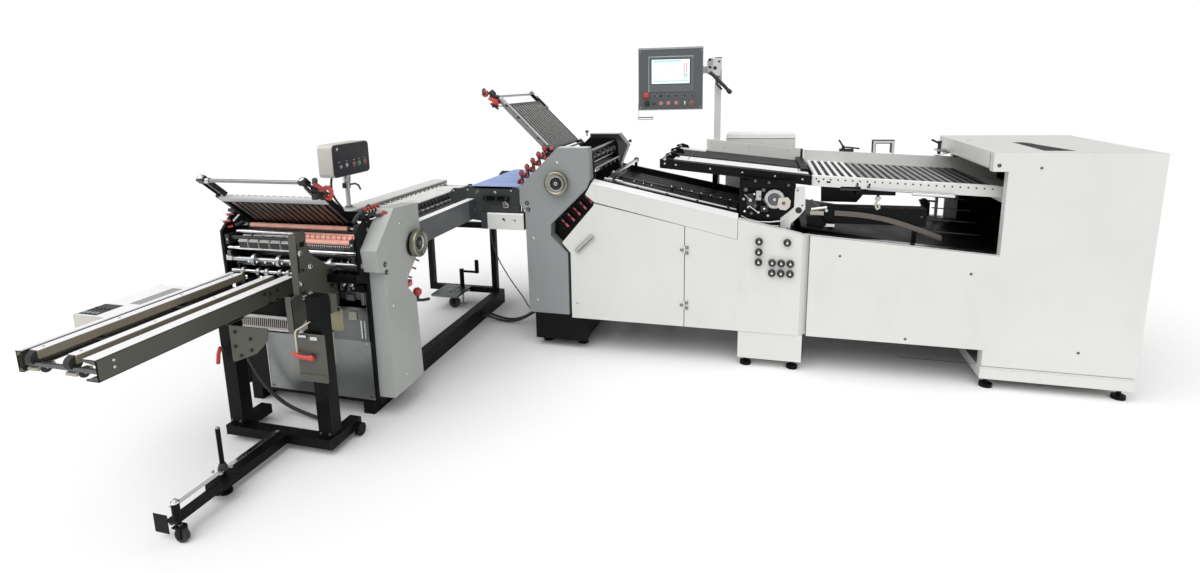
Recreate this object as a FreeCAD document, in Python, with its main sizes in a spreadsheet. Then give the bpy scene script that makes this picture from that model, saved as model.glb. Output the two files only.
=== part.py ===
"""A floor-standing combination paper folding machine, built as an assembly of separate pieces.

The paper runs from the feeder (+X end) along -X through fold unit 1, turns on the cross table and
runs along -Y through fold unit 2 to the delivery. Every place below is measured from the machine's
own datum: x along the run, y from the near side covers' outer face, z from the floor. SHIFT_X and
SHIFT_Y carry that datum into the part's frame, whose origin is the centre of the machine's box on
the floor. +Z is up and the near side, where the operator stands, faces -Y.
"""
import FreeCAD, Part
import math
import os
import re
import types

import Sketcher

V = FreeCAD.Vector

SIZES = {
    # sizes shared by many pieces
    "skin": 3, "machine_width": 1005, "cover_depth": 54,
    "plate_thick": 12, "run_gap": 0.05, "seam": 2,
    # feeder: side panels seen from the near side
    "feeder_left": 515, "feeder_right": 2000, "feeder_top": 1200, "body_bottom": 205,
    "feeder_step": 1345, "base_low": 56, "base_top": 108, "base_bar": 60, "window_right": 1384,
    "window_low_right": 694, "window_low_left": 760, "notch_left": 1318, "notch_bottom": 1109,
    "panel_setback": 6, "slot_x": 1600, "slot_width": 34, "slot_near": 110, "slot_far": 530,
    # plinths and levelling feet
    "plinth_left": 160, "plinth_right": 495, "plinth_low": 50, "plinth_depth": 150,
    "foot_radius": 30, "foot_thick": 18, "stem_radius": 10, "foot_inset": 44,
    # main frame plates behind the covers
    "frame_left": -640, "frame_drop": 89, "frame_bend_x": 140, "frame_dip": 67,
    "frame_sag_x": 480, "frame_sag_z": 700, "frame_low_z": 620, "frame_tube_radius": 24,
    "frame_tube_left": -480, "frame_tube_mid": 500, "frame_tube_end": 160, "frame_tube_z": 420,
    # control panel cover, its knobs, the door and its hinges
    "hinge_x": -136, "hinge_y": -5, "panel_right": 475, "panel_right_z": 764, "panel_notch_x": 147,
    "panel_notch_top": 837, "panel_notch_low": 722, "panel_left_z": 787, "bevel_width": 38,
    "knob_radius": 20, "knob_length": 24, "knob_boss": 12, "knob_left": 258, "knob_top": 721,
    "knob_mid_z": 663, "knob_row_z": 607, "knob_low_z": 551, "knob_right": 401, "knob_first": 328,
    "knob_pitch": 46, "door_left": -795, "door_knee_z": 602, "door_tip_x": -845, "door_tip_z": 662,
    "door_brow_x": -654, "door_brow_z": 886, "door_peak_x": -649, "door_peak_z": 900,
    "door_depth": 20, "handle_x": -707, "handle_z": 664, "handle_long": 140, "handle_wide": 34,
    "handle_proud": 5, "hinge_low": 334, "hinge_high": 654, "hinge_tall": 46, "leaf_wide": 20,
    "leaf_thick": 2, "pin_radius": 2.5, "knuckle_radius": 5,
    # register table, its cap, rail and crossbar
    "cap_tip_x": -700, "cap_tip_z": 950, "cap_left": -664, "cap_top_left": 1014, "cap_right": 145,
    "cap_top_right": 837, "cap_depth": 75, "cap_rise": 16, "table_left": -640, "table_right": 135,
    "table_top_left": 1000, "table_top_right": 842, "table_thick": 16, "table_near": 80,
    "table_far": 800, "rail_near": 86, "rail_lift": 26,
    "ball_pitch": 52, "crossbar_x": -560, "crossbar_lift": 62, "crossbar_wide": 18,
    "far_rail_high": 34, "stripe_count": 9, "stripe_wide": 34, "stripe_thick": 2,
    # upper belt table
    "belts_left": -290, "belts_right": 516, "belts_top_left": 1144, "belts_top_right": 1060,
    "belts_far": 852, "belt_rail_low": 50, "bed_drop": 12, "bed_thick": 6,
    "belt_near": 400, "belt_far": 715, "belt_thick": 3, "board_left": -92,
    "board_high": 70, "support_post": 32, "support_x": -40,
    # upper roller table
    "rollers_right": 1600, "rollers_top_left": 1060, "rollers_top_right": 1010, "rollers_near": 120,
    "rollers_rail_high": 54, "table_roller_count": 26, "table_roller_radius": 13, "roller_skew": 12,
    "roller_drop": 16, "bow_x": 921, "bow_long": 117, "bow_high": 48, "bow_radius": 6,
    # feeder head, suction drum and lower table
    "head_left": 148, "head_right": 438, "head_low": 745, "head_top": 1050, "head_near": 100,
    "head_thick": 8, "drum_x": 331, "drum_z": 936, "drum_radius": 48,
    "shaft_radius": 12, "bracket_thick": 4, "beam_left": 576, "beam_right": 1084,
    "beam_low": 800, "beam_high": 90, "beam_near": 150, "beam_deep": 90, "lower_left": 470,
    "lower_right": 1560, "lower_top_left": 800, "lower_top_right": 640, "lower_thick": 8,
    "turn_x": 1600, "turn_z": 835, "turn_radius": 205, "turn_rod_radius": 12,
    "turn_count": 7,
    # rear panel, rear cabinet
    "rear_peak_x": -640, "rear_peak_z": 930, "cabinet_left": 27, "cabinet_right": 472,
    "cabinet_low": 835, "cabinet_top": 1212, "cabinet_deep": 190, "cabinet_skirt": 110,
    # fold unit 1: cover outline from its crown round to its shoulder
    "unit_width": 844, "unit_cover": 85, "unit_plate": 15, "crown_left": -862, "crown_right": -681,
    "crown_rise": 56, "cheek_x": -675, "cheek_rise": 122, "jaw_x": -670, "jaw_rise": 53, "chin_x": -691,
    "chin_z": 985, "waist_x": -911, "waist_z": 769, "hip_x": -913, "hip_drop": 70, "knee_x": -812,
    "knee_z": 599, "cover_low": 222, "back_x": -1061, "elbow_x": -1068, "elbow_drop": 39,
    "shoulder_x": -1099, "shoulder_high": 99, "shoulder_z": 981, "wheel_x": -863, "wheel_z": 1015,
    "skid_high": 10, "unit_back": -1085,
    "brow_drop": 8, "unit_slope_z": 990, "far_nose_x": -600, "far_nose_rise": 170,
    "far_brow_rise": 20, "plinth_back": -1034, "plinth_toe": -720, "tie_radius": 12,
    "roller_radius": 22, "roller_gap": 0.6, "journal_radius": 10, "wheel_radius": 70,
    "wheel_thick": 30, "wheel_off": 14, "hub_radius": 20,
    # buckle plate of unit 1, laid at 45 degrees, and its stop
    "plate_base_x": -938, "plate_base_z": 1196, "plate_tilt": 45, "grid_long": 368, "arm_long": 466,
    "arm_wide": 12, "arm_high": 22, "grid_bars": 20, "bar_wide": 8, "bar_high": 7, "slot_high": 5,
    "top_bar_radius": 7, "bar_rest": 14, "stop_at": 330,
    "stop_long": 16,
    "stop_knob_radius": 18, "stop_knob_long": 30,
    # plate levers
    "lever_count": 5, "lever_wide": 12, "lever_tall": 72, "lever_thick": 16, "lever_pitch": 52,
    "lever_out": 46, "low_lever_long": 66, "low_lever_first": 40,
    # exit conveyor and its terminal box
    "exit_left": -1565, "exit_low": 866, "exit_top": 966, "exit_near": 30, "exit_plate": 6,
    "exit_chamfer": 24, "exit_belt_top": 980, "exit_roller_radius": 24, "exit_belt_left": -1455,
    "exit_belt_right": -1118, "exit_belt_near": 50, "web_left": -1360,
    "web_low": 820, "box_low": 722,
    # cross table and the control box on its post
    "cover2_deep": 85, "cross_left": -2120, "cross_near": -640, "cross_far": 846,
    "cross_low": 785, "cross_bed_high": 61, "cross_rail_high": 121, "shelf_wide": 110, "shelf_high": 39,
    "cross_roller_count": 22, "cross_roller_radius": 9,
    "cross_roller_long": 330, "cross_skew": 28, "post_in": 65, "post_y": -300, "post_radius": 13,
    "post_flange": 34, "control_low": 1088, "control_high": 186, "control_wide": 344,
    "control_deep": 100, "cup_radius": 24, "cup_high": 40,
    # stand under the cross table and unit 2, its jack and castor
    "stand_bar": 40, "base_beam": 60, "base_high": 100, "base_right": -1530, "base_front": -970,
    "base_back": 730, "base_left": -2255, "stand_rail_z": 560,
    "jack_x": -1825, "jack_y": 640, "jack_radius": 8, "jack_top": 262,
    "jack_pad": 30, "jack_pad_thick": 12, "crank_long": 136, "crank_bar": 14, "crank_grip": 96,
    "bracket_tail": 115, "bracket_side": 45, "bracket_front": 80,
    "castor_x": -1870, "castor_y": 540, "castor_radius": 40, "castor_wide": 24, "castor_trail": 26,
    "castor_axle": 5, "castor_gap": 3, "castor_stem": 8, "fork_thick": 4, "fork_plate": 6,
    # fold unit 2: cover outline (along y) and its frames
    "side_front": -870, "side_back": -646, "side_top": 1018, "side_brow_front": -1038,
    "side_brow_z": 850, "side_lip_y": -1020, "side_lip_z": 745, "side_column": -980,
    "side_column_z": 735, "side_low": 107, "side_toe": -704, "side_step_y": -722, "side_step_drop": 74,
    "side_waist_y": -795, "side_waist_z": 606, "side_notch_y": -790, "side_notch_rise": 49,
    "side_tail_z": 778, "frame2_right": -1485, "frame2_left": -2255, "frame2_front": -1050,
    "frame2_nose_low": 700, "frame2_nose_z": 915, "frame2_brow_y": -960, "frame2_top": 1000,
    "frame2_column": -995, "frame2_toe": -700, "wheel2_y": -711, "wheel2_z": 812,
    "red_y": -962, "red_z": 932, "rubber_right": -1590, "rubber_left": -2145, "rod_y": -1030,
    "rod_high": 922, "rod_low": 832, "rod_radius": 9, "slitter_z": 776, "slitter_radius": 12,
    "collar_radius": 30, "collar_long": 18,
    "cabinet2_back": -720, "cabinet2_top": 460,
    # buckle plate of unit 2
    "plate2_base_y": -930, "plate2_base_z": 957, "plate2_lift": 24, "plate2_tilt": 40, "grid2_long": 228,
    "arm2_long": 392, "plate2_right": -1598, "plate2_left": -2155, "grid2_bars": 15,
    # delivery: channels, rails and mount plate
    "delivery_left": -2211, "delivery_right": -1840, "delivery_front": -2020, "delivery_back": -1062,
    "channel_top": 714, "channel_high": 66, "channel_skin": 5, "flange_left": 26, "flange_right": 40,
    "rail_a_x": -2165, "rail_b_x": -1985, "rail_wide": 44, "rail_high": 34, "rail_drop": 6,
    "rail_front": -1992, "end_bar_up": 8, "end_bar": 14, "pulley_y": -1975, "pulley_drop": 8,
    "end_pulley_radius": 21, "end_pulley_wide": 22, "counter_left": -2408, "counter_front": -1680,
    "counter_back": -1275, "counter_drop": 10, "counter_high": 62, "mount_in": 165,
    "mount_thick": 6, "mount_front": -1290, "mount_top": 955, "mount_low": 500, "mount_back": -1072,
    "tray_near": -1150, "tray_deep": 90,
    # delivery stand, its jack and front castor
    "t_left": -2064, "t_right": -1500, "t_front": -1340, "t_beam": 60, "t_low": 30, "t_high": 75,
    "t_back": -1120, "leg_deep": 66, "leg_wide": 70, "leg_in": 58,
    "tongue_left": -1795, "tongue_wide": 60, "tongue_tip": -1725, "tongue_high": 72,
    "jack2_in": 65, "jack2_top": 280, "castor_out": 30,
    "front_castor_y": -1930, "front_castor_radius": 26, "front_castor_wide": 20,
    "front_castor_stem": 150, "arm_bar_wide": 28, "arm_bar_thick": 10, "small_wheel": 30,
    # operator screen on its post
    "mast_x": -28, "mast_side": 40, "mast_low": 640, "mast_top": 1715, "screen_x": -326,
    "screen_y": 862, "screen_z": 1587, "screen_wide": 418, "screen_high": 404, "screen_deep": 45,
    "screen_turn": 9.4, "boom_drop": 75, "boom_high": 44, "boom_thick": 22,
    "stop_button_u": -158, "stop_button_w": -104, "stop_cap_radius": 20, "stop_cap_long": 18,
    "stop_stem_radius": 10, "stop_stem_long": 12,
    # cables
    "power_radius": 8, "thin_radius": 3.5, "hose_radius": 9,
}

doc = FreeCAD.newDocument("PaperFoldingMachine")
sheet = doc.addObject("Spreadsheet::Sheet", "Sizes")
for row, (alias, value) in enumerate(SIZES.items(), start=1):
    sheet.set("A%d" % row, alias)
    sheet.set("B%d" % row, str(value))
    sheet.setAlias("B%d" % row, alias)
doc.recompute()
S = types.SimpleNamespace(**{alias: float(sheet.get(alias)) for alias in SIZES})

SHIFT_X = "(counter_left + feeder_right) / 2"
SHIFT_Y = "(delivery_front + machine_width + cabinet_deep) / 2"
SHIFT = V((S.counter_left + S.feeder_right) / 2,
          (S.delivery_front + S.machine_width + S.cabinet_deep) / 2, 0)

WORD = re.compile(r"[a-z][a-z0-9_]*")
ALONG = {
    "x": FreeCAD.Rotation(V(0, 1, 0), 90),
    "y": FreeCAD.Rotation(V(1, 0, 0), -90),
    "z": FreeCAD.Rotation(),
}
nodes = []


def formula(text):
    """A formula of size names as an expression on the sheet."""
    def sheet_name(found):
        return "Sizes." + found.group(0) if found.group(0) in SIZES else found.group(0)
    return WORD.sub(sheet_name, text)


def place(piece, x, y, z):
    """Bind a piece's place, measured from the machine's datum, to the sheet."""
    piece.setExpression("Placement.Base.x", formula("(%s) - %s" % (x, SHIFT_X)))
    piece.setExpression("Placement.Base.y", formula("(%s) - %s" % (y, SHIFT_Y)))
    piece.setExpression("Placement.Base.z", formula(z))
    return piece


def block(name, low, high):
    """A box from its low corner to its high corner, both as formulas."""
    piece = doc.addObject("Part::Box", name)
    for side, start, end in zip(("Length", "Width", "Height"), low, high):
        piece.setExpression(side, formula("(%s) - (%s)" % (end, start)))
    return place(piece, *low)


def rod(name, axis, start, radius, length):
    """A round bar along one axis from its start point."""
    piece = doc.addObject("Part::Cylinder", name)
    piece.setExpression("Radius", formula(radius))
    piece.setExpression("Height", formula(length))
    piece.Placement = FreeCAD.Placement(V(), ALONG[axis])
    return place(piece, *start)


def bound(sketch, kind, element, point, text):
    """Fix one coordinate of a sketch point by a formula."""
    index = sketch.addConstraint(Sketcher.Constraint(kind, -1, 1, element, point, 1.0))
    sketch.setExpression("Constraints[%d]" % index, formula(text))


def new_sketch(body, plane, name):
    """An empty sketch on one of the body's own origin planes."""
    sketch = body.newObject("Sketcher::SketchObject", name)
    support = [item for item in body.Origin.OriginFeatures if item.Role == plane + "_Plane"][0]
    sketch.AttachmentSupport = (support, [""])
    sketch.MapMode = "FlatFace"
    return sketch


def plate(name, plane, outline, start, depth):
    """A flat body: an outline on a plane, padded from start along the plane's third axis."""
    body = doc.addObject("PartDesign::Body", name)
    sketch = new_sketch(body, plane, name + "_outline")
    corners = [V(math.cos(step), math.sin(step), 0) * S.feeder_top
               for step in (2 * math.pi * index / len(outline) for index in range(len(outline)))]
    for first, second in zip(corners, corners[1:] + corners[:1]):
        sketch.addGeometry(Part.LineSegment(first, second), False)
    for index, (across, up) in enumerate(outline):
        sketch.addConstraint(Sketcher.Constraint("Coincident", index, 2, (index + 1) % len(outline), 1))
        bound(sketch, "DistanceX", index, 1, across)
        bound(sketch, "DistanceY", index, 1, up)
    pad = body.newObject("PartDesign::Pad", name + "_pad")
    pad.Profile = sketch
    pad.setExpression("Length", formula(depth))
    pad.Reversed = plane == "XZ"
    sketch.Visibility = False
    offsets = {"XZ": ("0", start, "0"), "YZ": (start, "0", "0"), "XY": ("0", "0", start)}
    return place(body, *offsets[plane])


def pierce(body, plane, holes):
    """Round holes right through a body, each given as its two coordinates and its radius."""
    doc.recompute()
    before = body.Shape.Volume
    sketch = new_sketch(body, plane, body.Name + "_holes")
    for index, (across, up, radius) in enumerate(holes):
        sketch.addGeometry(Part.Circle(V(index * S.skin, 0, 0), V(0, 0, 1), S.skin), False)
        bound(sketch, "DistanceX", index, 3, across)
        bound(sketch, "DistanceY", index, 3, up)
        size = sketch.addConstraint(Sketcher.Constraint("Radius", index, S.skin))
        sketch.setExpression("Constraints[%d]" % size, formula(radius))
    pocket = body.newObject("PartDesign::Pocket", body.Name + "_bores")
    pocket.Profile = sketch
    pocket.Type = "ThroughAll"
    pocket.Midplane = True
    doc.recompute()
    if body.Shape.Volume >= before:
        raise ValueError(body.Name + ": the holes cut nothing")
    return body


def tray(name, plane, outline, start, depth, wall, open_end):
    """A folded sheet cover: a plate hollowed from its open end, which leaves a face and a rim."""
    body = plate(name, plane, outline, start, depth)
    doc.recompute()
    pad = body.Tip
    axis = "Y" if plane == "XZ" else "X"
    low, high = getattr(pad.Shape.BoundBox, axis + "Min"), getattr(pad.Shape.BoundBox, axis + "Max")
    level = high if open_end == "high" else low
    for index, face in enumerate(pad.Shape.Faces, start=1):
        box = face.BoundBox
        if abs(getattr(box, axis + "Min") - level) + abs(getattr(box, axis + "Max") - level) < S.run_gap:
            opening = "Face%d" % index
    shell = body.newObject("PartDesign::Thickness", name + "_shell")
    shell.Base = (pad, [opening])
    shell.Join = "Intersection"
    shell.Reversed = True
    shell.setExpression("Value", formula(wall))
    doc.recompute()
    if body.Shape.Volume >= pad.Shape.Volume:
        raise ValueError(name + ": the shell isn't hollow")
    return body


def less(name, base, tools):
    """A piece with other pieces' shapes cut out of it."""
    for index, tool in enumerate(tools):
        cut = doc.addObject("Part::Cut", "%s_cut%d" % (name, index))
        cut.Base = base
        cut.Tool = tool
        base = cut
    return base


def fused(name, pieces):
    """Pieces welded into one solid."""
    joint = doc.addObject("Part::MultiFuse", name)
    joint.Shapes = pieces
    return joint


def coded(name, shape):
    """A piece whose shape and own place are worked out below from the sheet's sizes."""
    own = shape.Placement
    piece = doc.addObject("Part::Feature", name)
    piece.Shape = shape
    piece.Placement = FreeCAD.Placement(-SHIFT, FreeCAD.Rotation()).multiply(own)
    return piece


def on_line(x, left, left_z, right, right_z):
    """The height of a sloping line over a place, as a formula."""
    return "(%s + (%s - %s) * ((%s) - %s) / (%s - %s))" % (left_z, right_z, left_z, x, left, right, left)


def node(label, *pieces):
    """Name a finished sub-part; several pieces stay separate solids of one group."""
    part = pieces[0]
    if len(pieces) > 1:
        part = doc.addObject("Part::Compound", label + "_group")
        part.Links = list(pieces)
    part.Label = label
    nodes.append(part)
    return part


def bar_shape(low, high):
    """A plain box shape between two corners."""
    return Part.makeBox(high.x - low.x, high.y - low.y, high.z - low.z, low)


def tilted(name, shape, corner, heading, across):
    """A piece drawn flat (x up the slope, y across) and laid on a slope at a corner."""
    piece = doc.addObject("Part::Feature", name)
    piece.Shape = shape
    turn = FreeCAD.Rotation(heading, across, heading.cross(across), "XYZ")
    piece.Placement = FreeCAD.Placement(corner - SHIFT, turn)
    return piece


def cord(name, route, radius):
    """A round cord: straight runs joined by tangent arcs, each as large as its runs allow."""
    reach = 0.45
    edges, start, bends = [], route[0], []
    for before, corner, after in zip(route, route[1:], route[2:]):
        into, out = (corner - before).normalize(), (after - corner).normalize()
        turn = into.getAngle(out)
        back = reach * min((corner - before).Length, (after - corner).Length)
        bend = back / math.tan(turn / 2)
        middle = (out - into).normalize() * (bend / math.cos(turn / 2) - bend)
        edges.append(Part.LineSegment(start, corner - into * back).toShape())
        edges.append(Part.Arc(corner - into * back, corner + middle, corner + out * back).toShape())
        start = corner + out * back
        bends.append(round(bend))
    edges.append(Part.LineSegment(start, route[-1]).toShape())
    path = Part.Wire(edges)
    ring = Part.Wire(Part.makeCircle(radius, route[0], route[1] - route[0]))
    tube = path.makePipeShell([ring], True, False)
    expected = math.pi * radius * radius * path.Length
    print(name, "length %.0f mm, bend radii %s" % (path.Length, bends))
    if abs(tube.Volume / expected - 1) > 0.01:
        raise ValueError(name + ": the tube's volume is off")
    return tube


# ---------------------------------------------------------------- main frame
UNIT_BOTTOM = "body_bottom + skid_high"
FRAME_CREST = "cap_top_left - frame_drop"
FRAME_BEND = "cap_top_right - frame_dip"


def frame_plate(name, start):
    """One of the two long frame plates that carry the whole paper path."""
    return plate(name, "XZ", [
        ("frame_left", UNIT_BOTTOM), ("frame_left", FRAME_CREST),
        ("frame_bend_x", FRAME_BEND), ("frame_sag_x", "frame_sag_z"),
        ("window_right + 8", "frame_low_z"), ("window_right + 8", "notch_bottom + 8"),
        ("notch_left + 8", "notch_bottom + 8"), ("notch_left + 8", "feeder_top - 8"),
        ("feeder_right - 40", "feeder_top - 8"), ("feeder_right - 40", "base_top"),
        ("feeder_step + 8", "base_top"), ("feeder_step + 8", UNIT_BOTTOM)], start, "plate_thick")


INNER_NEAR = "cover_depth + plate_thick"
INNER_FAR = "machine_width - cover_depth - plate_thick"
INNER_WIDE = "machine_width - 2 * cover_depth - 2 * plate_thick"


def main_frame():
    """Two long plates tied by round tubes, with an upright end plate for fold unit 1."""
    parts = [frame_plate("frame_near", "cover_depth"), frame_plate("frame_far", INNER_FAR)]
    for name, x in (("left", "frame_tube_left"), ("mid", "frame_tube_mid"),
                    ("right", "feeder_right - 40 - frame_tube_end")):
        tube = rod("frame_tube_" + name, "y", (x, INNER_NEAR, "frame_tube_z"), "frame_tube_radius",
                   INNER_WIDE)
        parts.append(tube)
    parts.append(block("frame_end", ("frame_left", INNER_NEAR, UNIT_BOTTOM),
                       ("frame_left + plate_thick", INNER_FAR, "frame_low_z")))
    node("main_frame", fused("main_frame_weld", parts))


def feeder_panel(name, start, open_end):
    """A side panel of the feeder with its window."""
    return tray(name, "XZ", [
        ("feeder_left", "body_bottom"), ("feeder_step", "body_bottom"), ("feeder_step", "base_top"),
        ("feeder_right", "base_top"), ("feeder_right", "feeder_top"), ("notch_left", "feeder_top"),
        ("notch_left", "notch_bottom"), ("window_right", "notch_bottom"),
        ("window_right", "window_low_right"), ("feeder_left", "window_low_left")],
        start, "cover_depth - panel_setback", "skin", open_end)


def feeder_covers():
    """The near and far side panels, the end panel and the bridge over the top."""
    node("feeder_near_panel", feeder_panel("near_panel", "panel_setback", "high"))
    node("feeder_far_panel", feeder_panel("far_panel", "machine_width - cover_depth", "low"))
    end = tray("end_panel", "YZ", [
        ("cover_depth", "base_top"), ("machine_width - cover_depth", "base_top"),
        ("machine_width - cover_depth", "feeder_top"), ("cover_depth", "feeder_top")],
        "feeder_right - 40", "40", "skin", "low")
    node("feeder_end_panel", end)


def feeder_bridge():
    """The top plate with its slot, its front lip and the two ears that carry the turn roller."""
    top = block("bridge_top", ("notch_left", "cover_depth", "feeder_top - 8"),
                ("feeder_right - 40", "machine_width - cover_depth", "feeder_top"))
    slot = block("bridge_slot", ("slot_x", "slot_near", "feeder_top - 9"),
                 ("slot_x + slot_width", "slot_far", "feeder_top + 1"))
    lip = block("bridge_lip", ("notch_left", INNER_NEAR, "notch_bottom + 8"),
                ("notch_left + skin", INNER_FAR, "feeder_top - 8"))
    parts = [less("bridge_plate", top, [slot]), lip]
    for name, y in (("near", "slot_near - 8"), ("far", "slot_far")):
        ear = block("bridge_ear_" + name, ("slot_x", y, "feeder_top - 34"),
                    ("slot_x + slot_width", y + " + 8", "feeder_top - 8"))
        bore = rod("bridge_bore_" + name, "y", ("slot_x + slot_width / 2", y + " - 1", "feeder_top - 18"),
                   "journal_radius / 2 + run_gap", "10")
        parts.append(less("bridge_ear_cut_" + name, ear, [bore]))
    node("feeder_bridge", fused("bridge_weld", parts))


def turn_roller():
    """The black roller that shows in the bridge's slot."""
    barrel = rod("turn_barrel", "y", ("slot_x + slot_width / 2", "slot_near + 1", "feeder_top - 18"),
                 "slot_width / 2 - 2", "slot_far - slot_near - 2")
    journal = rod("turn_journal", "y", ("slot_x + slot_width / 2", "slot_near - 8", "feeder_top - 18"),
                  "journal_radius / 2", "slot_far - slot_near + 16")
    node("turn_roller", fused("turn_roller_weld", [barrel, journal]))


def feeder_base():
    """The white base bars under the feeder and the plinth boxes under the control panel."""
    far = "machine_width - base_bar"
    parts = [
        block("base_near", ("feeder_step", "0", "base_low"), ("feeder_right", "base_bar", "base_top")),
        block("base_far", ("feeder_step", far, "base_low"), ("feeder_right", "machine_width", "base_top")),
        block("base_left", ("feeder_step", "base_bar", "base_low"),
              ("feeder_step + base_bar", far, "base_top")),
        block("base_right", ("feeder_right - base_bar", "base_bar", "base_low"),
              ("feeder_right", far, "base_top"))]
    plinths = [
        block("plinth_near", ("plinth_left", "4", "plinth_low"),
              ("plinth_right", "plinth_depth", "body_bottom")),
        block("plinth_far", ("plinth_left", "machine_width - plinth_depth", "plinth_low"),
              ("plinth_right", "machine_width - 4", "body_bottom"))]
    beam = block("plinth_beam", ("plinth_left + 20", "plinth_depth", "body_bottom - 60"),
                 ("plinth_right - 20", "machine_width - plinth_depth", "body_bottom"))
    skid = [block("skid_" + name, ("plinth_left + 20", y, "body_bottom"),
                  ("plinth_right - 20", y + " + plate_thick", UNIT_BOTTOM))
            for name, y in (("near", "cover_depth"), ("far", INNER_FAR))]
    node("feeder_base", fused("base_weld", parts), fused("plinth_weld", plinths + [beam] + skid))


def levelling_feet():
    """Twelve screw feet: a disc on the floor with a stem up to the base it carries."""
    spots = []
    for y in ("foot_inset", "machine_width - foot_inset"):
        for x, top in (("feeder_step + foot_inset", "base_low"), ("feeder_right - foot_inset", "base_low"),
                       ("plinth_left + foot_inset", "plinth_low"),
                       ("plinth_right - foot_inset", "plinth_low")):
            spots.append((x, y, top))
    for y in ("unit_cover + foot_inset", "unit_width - unit_cover - foot_inset"):
        for x in ("plinth_back + foot_inset", "plinth_toe - foot_inset"):
            spots.append((x, y, "plinth_low"))
    feet = []
    for index, (x, y, top) in enumerate(spots):
        disc = rod("foot_disc_%d" % index, "z", (x, y, "0"), "foot_radius", "foot_thick")
        stem = rod("foot_stem_%d" % index, "z", (x, y, "0"), "stem_radius", top)
        feet.append(fused("foot_%d" % index, [disc, stem]))
    node("levelling_feet", *feet)


# ---------------------------------------------------------------- operator side of the body
def knob_panel():
    """The control panel cover with its bevelled end and the fixed halves of the door hinges."""
    cover = tray("panel_cover", "XZ", [
        ("hinge_x + seam", "body_bottom"), ("panel_right", "body_bottom"), ("panel_right", "panel_right_z"),
        ("panel_notch_x", "panel_notch_top"), ("panel_notch_x", "panel_notch_low"),
        ("hinge_x + seam", "panel_left_z")], "0", "cover_depth", "skin", "high")
    bevel = plate("panel_bevel", "XY", [
        ("panel_right", "0"), ("panel_right + bevel_width", "bevel_width"),
        ("panel_right + bevel_width", "cover_depth"), ("panel_right", "cover_depth")],
        "body_bottom", "panel_right_z - body_bottom - 4")
    node("knob_panel", fused("panel_weld", [cover, bevel] + hinge_halves("fixed")))


def hinge_halves(side):
    """The leaves and knuckles of both hinges that belong to one side; the fixed side holds the pins."""
    parts = []
    third = "hinge_tall / 3"
    for name, z in (("low", "hinge_low"), ("high", "hinge_high")):
        foot = "%s - hinge_tall / 2" % z
        label = "hinge_%s_%s" % (side, name)
        if side == "fixed":
            steps = ((foot, third), (foot + " + 2 * " + third, third))
            parts.append(rod(label + "_pin", "z", ("hinge_x", "hinge_y", foot), "pin_radius", "hinge_tall"))
            leaf = ("hinge_x", "hinge_x + leaf_wide")
        else:
            steps = ((foot + " + " + third + " + run_gap", third + " - 2 * run_gap"),)
            leaf = ("hinge_x - leaf_wide", "hinge_x")
        for index, (low, tall) in enumerate(steps):
            tab = block("%s_leaf%d" % (label, index), (leaf[0], "-leaf_thick", low),
                        (leaf[1], "0", low + " + " + tall))
            tube = rod("%s_tube%d" % (label, index), "z", ("hinge_x", "hinge_y", low), "knuckle_radius",
                       tall)
            piece = fused("%s_half%d" % (label, index), [tab, tube])
            if side == "door":
                bore = rod("%s_bore%d" % (label, index), "z", ("hinge_x", "hinge_y", low + " - 1"),
                           "pin_radius + run_gap", tall + " + 2")
                piece = less("%s_bored%d" % (label, index), piece, [bore])
            parts.append(piece)
    return parts


def air_knobs():
    """Ten round setting knobs: a cap on a boss, all seated on the control panel."""
    spots = [("knob_left", "knob_top"), ("knob_right", "knob_top"), ("knob_left", "knob_mid_z"),
             ("knob_left", "knob_row_z")]
    for z in ("knob_row_z", "knob_low_z"):
        spots += [("knob_first + %d * knob_pitch" % index, z) for index in range(3)]
    knobs = []
    for index, (x, z) in enumerate(spots):
        cap = rod("knob_cap_%d" % index, "y", (x, "-knob_length", z), "knob_radius", "knob_length - skin")
        boss = rod("knob_boss_%d" % index, "y", (x, "-skin", z), "knob_boss", "skin")
        knobs.append(fused("knob_%d" % index, [cap, boss]))
    node("air_knobs", *knobs)


def left_door():
    """The large hinged door under the register table, its handle and its hinge halves."""
    cover = tray("door_cover", "XZ", [
        ("door_left", "body_bottom"), ("hinge_x - seam", "body_bottom"), ("hinge_x - seam", "panel_left_z"),
        ("door_peak_x", "door_peak_z"), ("door_brow_x", "door_brow_z"), ("door_tip_x", "door_tip_z"),
        ("door_left", "door_knee_z")], "0", "door_depth", "skin", "high")
    long, wide = "handle_long / 2 * 0.707", "handle_wide / 2 * 0.707"
    handle = plate("door_handle", "XZ", [
        ("handle_x - %s - %s" % (long, wide), "handle_z - %s + %s" % (long, wide)),
        ("handle_x - %s + %s" % (long, wide), "handle_z - %s - %s" % (long, wide)),
        ("handle_x + %s + %s" % (long, wide), "handle_z + %s - %s" % (long, wide)),
        ("handle_x + %s - %s" % (long, wide), "handle_z + %s + %s" % (long, wide))],
        "-handle_proud", "handle_proud")
    node("left_door", fused("door_weld", [cover, handle] + hinge_halves("door")))


def rear_covers():
    """The far cover of the body and the pump cabinet that hangs on it."""
    node("rear_panel", tray("rear_cover", "XZ", [
        ("rear_peak_x", "body_bottom"), ("feeder_left - seam", "body_bottom"),
        ("feeder_left - seam", "window_low_left"), ("rear_peak_x", "rear_peak_z")],
        "machine_width - cover_depth", "cover_depth", "skin", "low"))
    node("rear_cabinet", plate("cabinet", "XZ", [
        ("cabinet_left", "cabinet_low - cabinet_deep"), ("cabinet_right", "cabinet_low - cabinet_deep"),
        ("cabinet_right", "cabinet_top - cabinet_skirt"), ("cabinet_left", "cabinet_top")],
        "machine_width", "cabinet_deep"))


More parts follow.
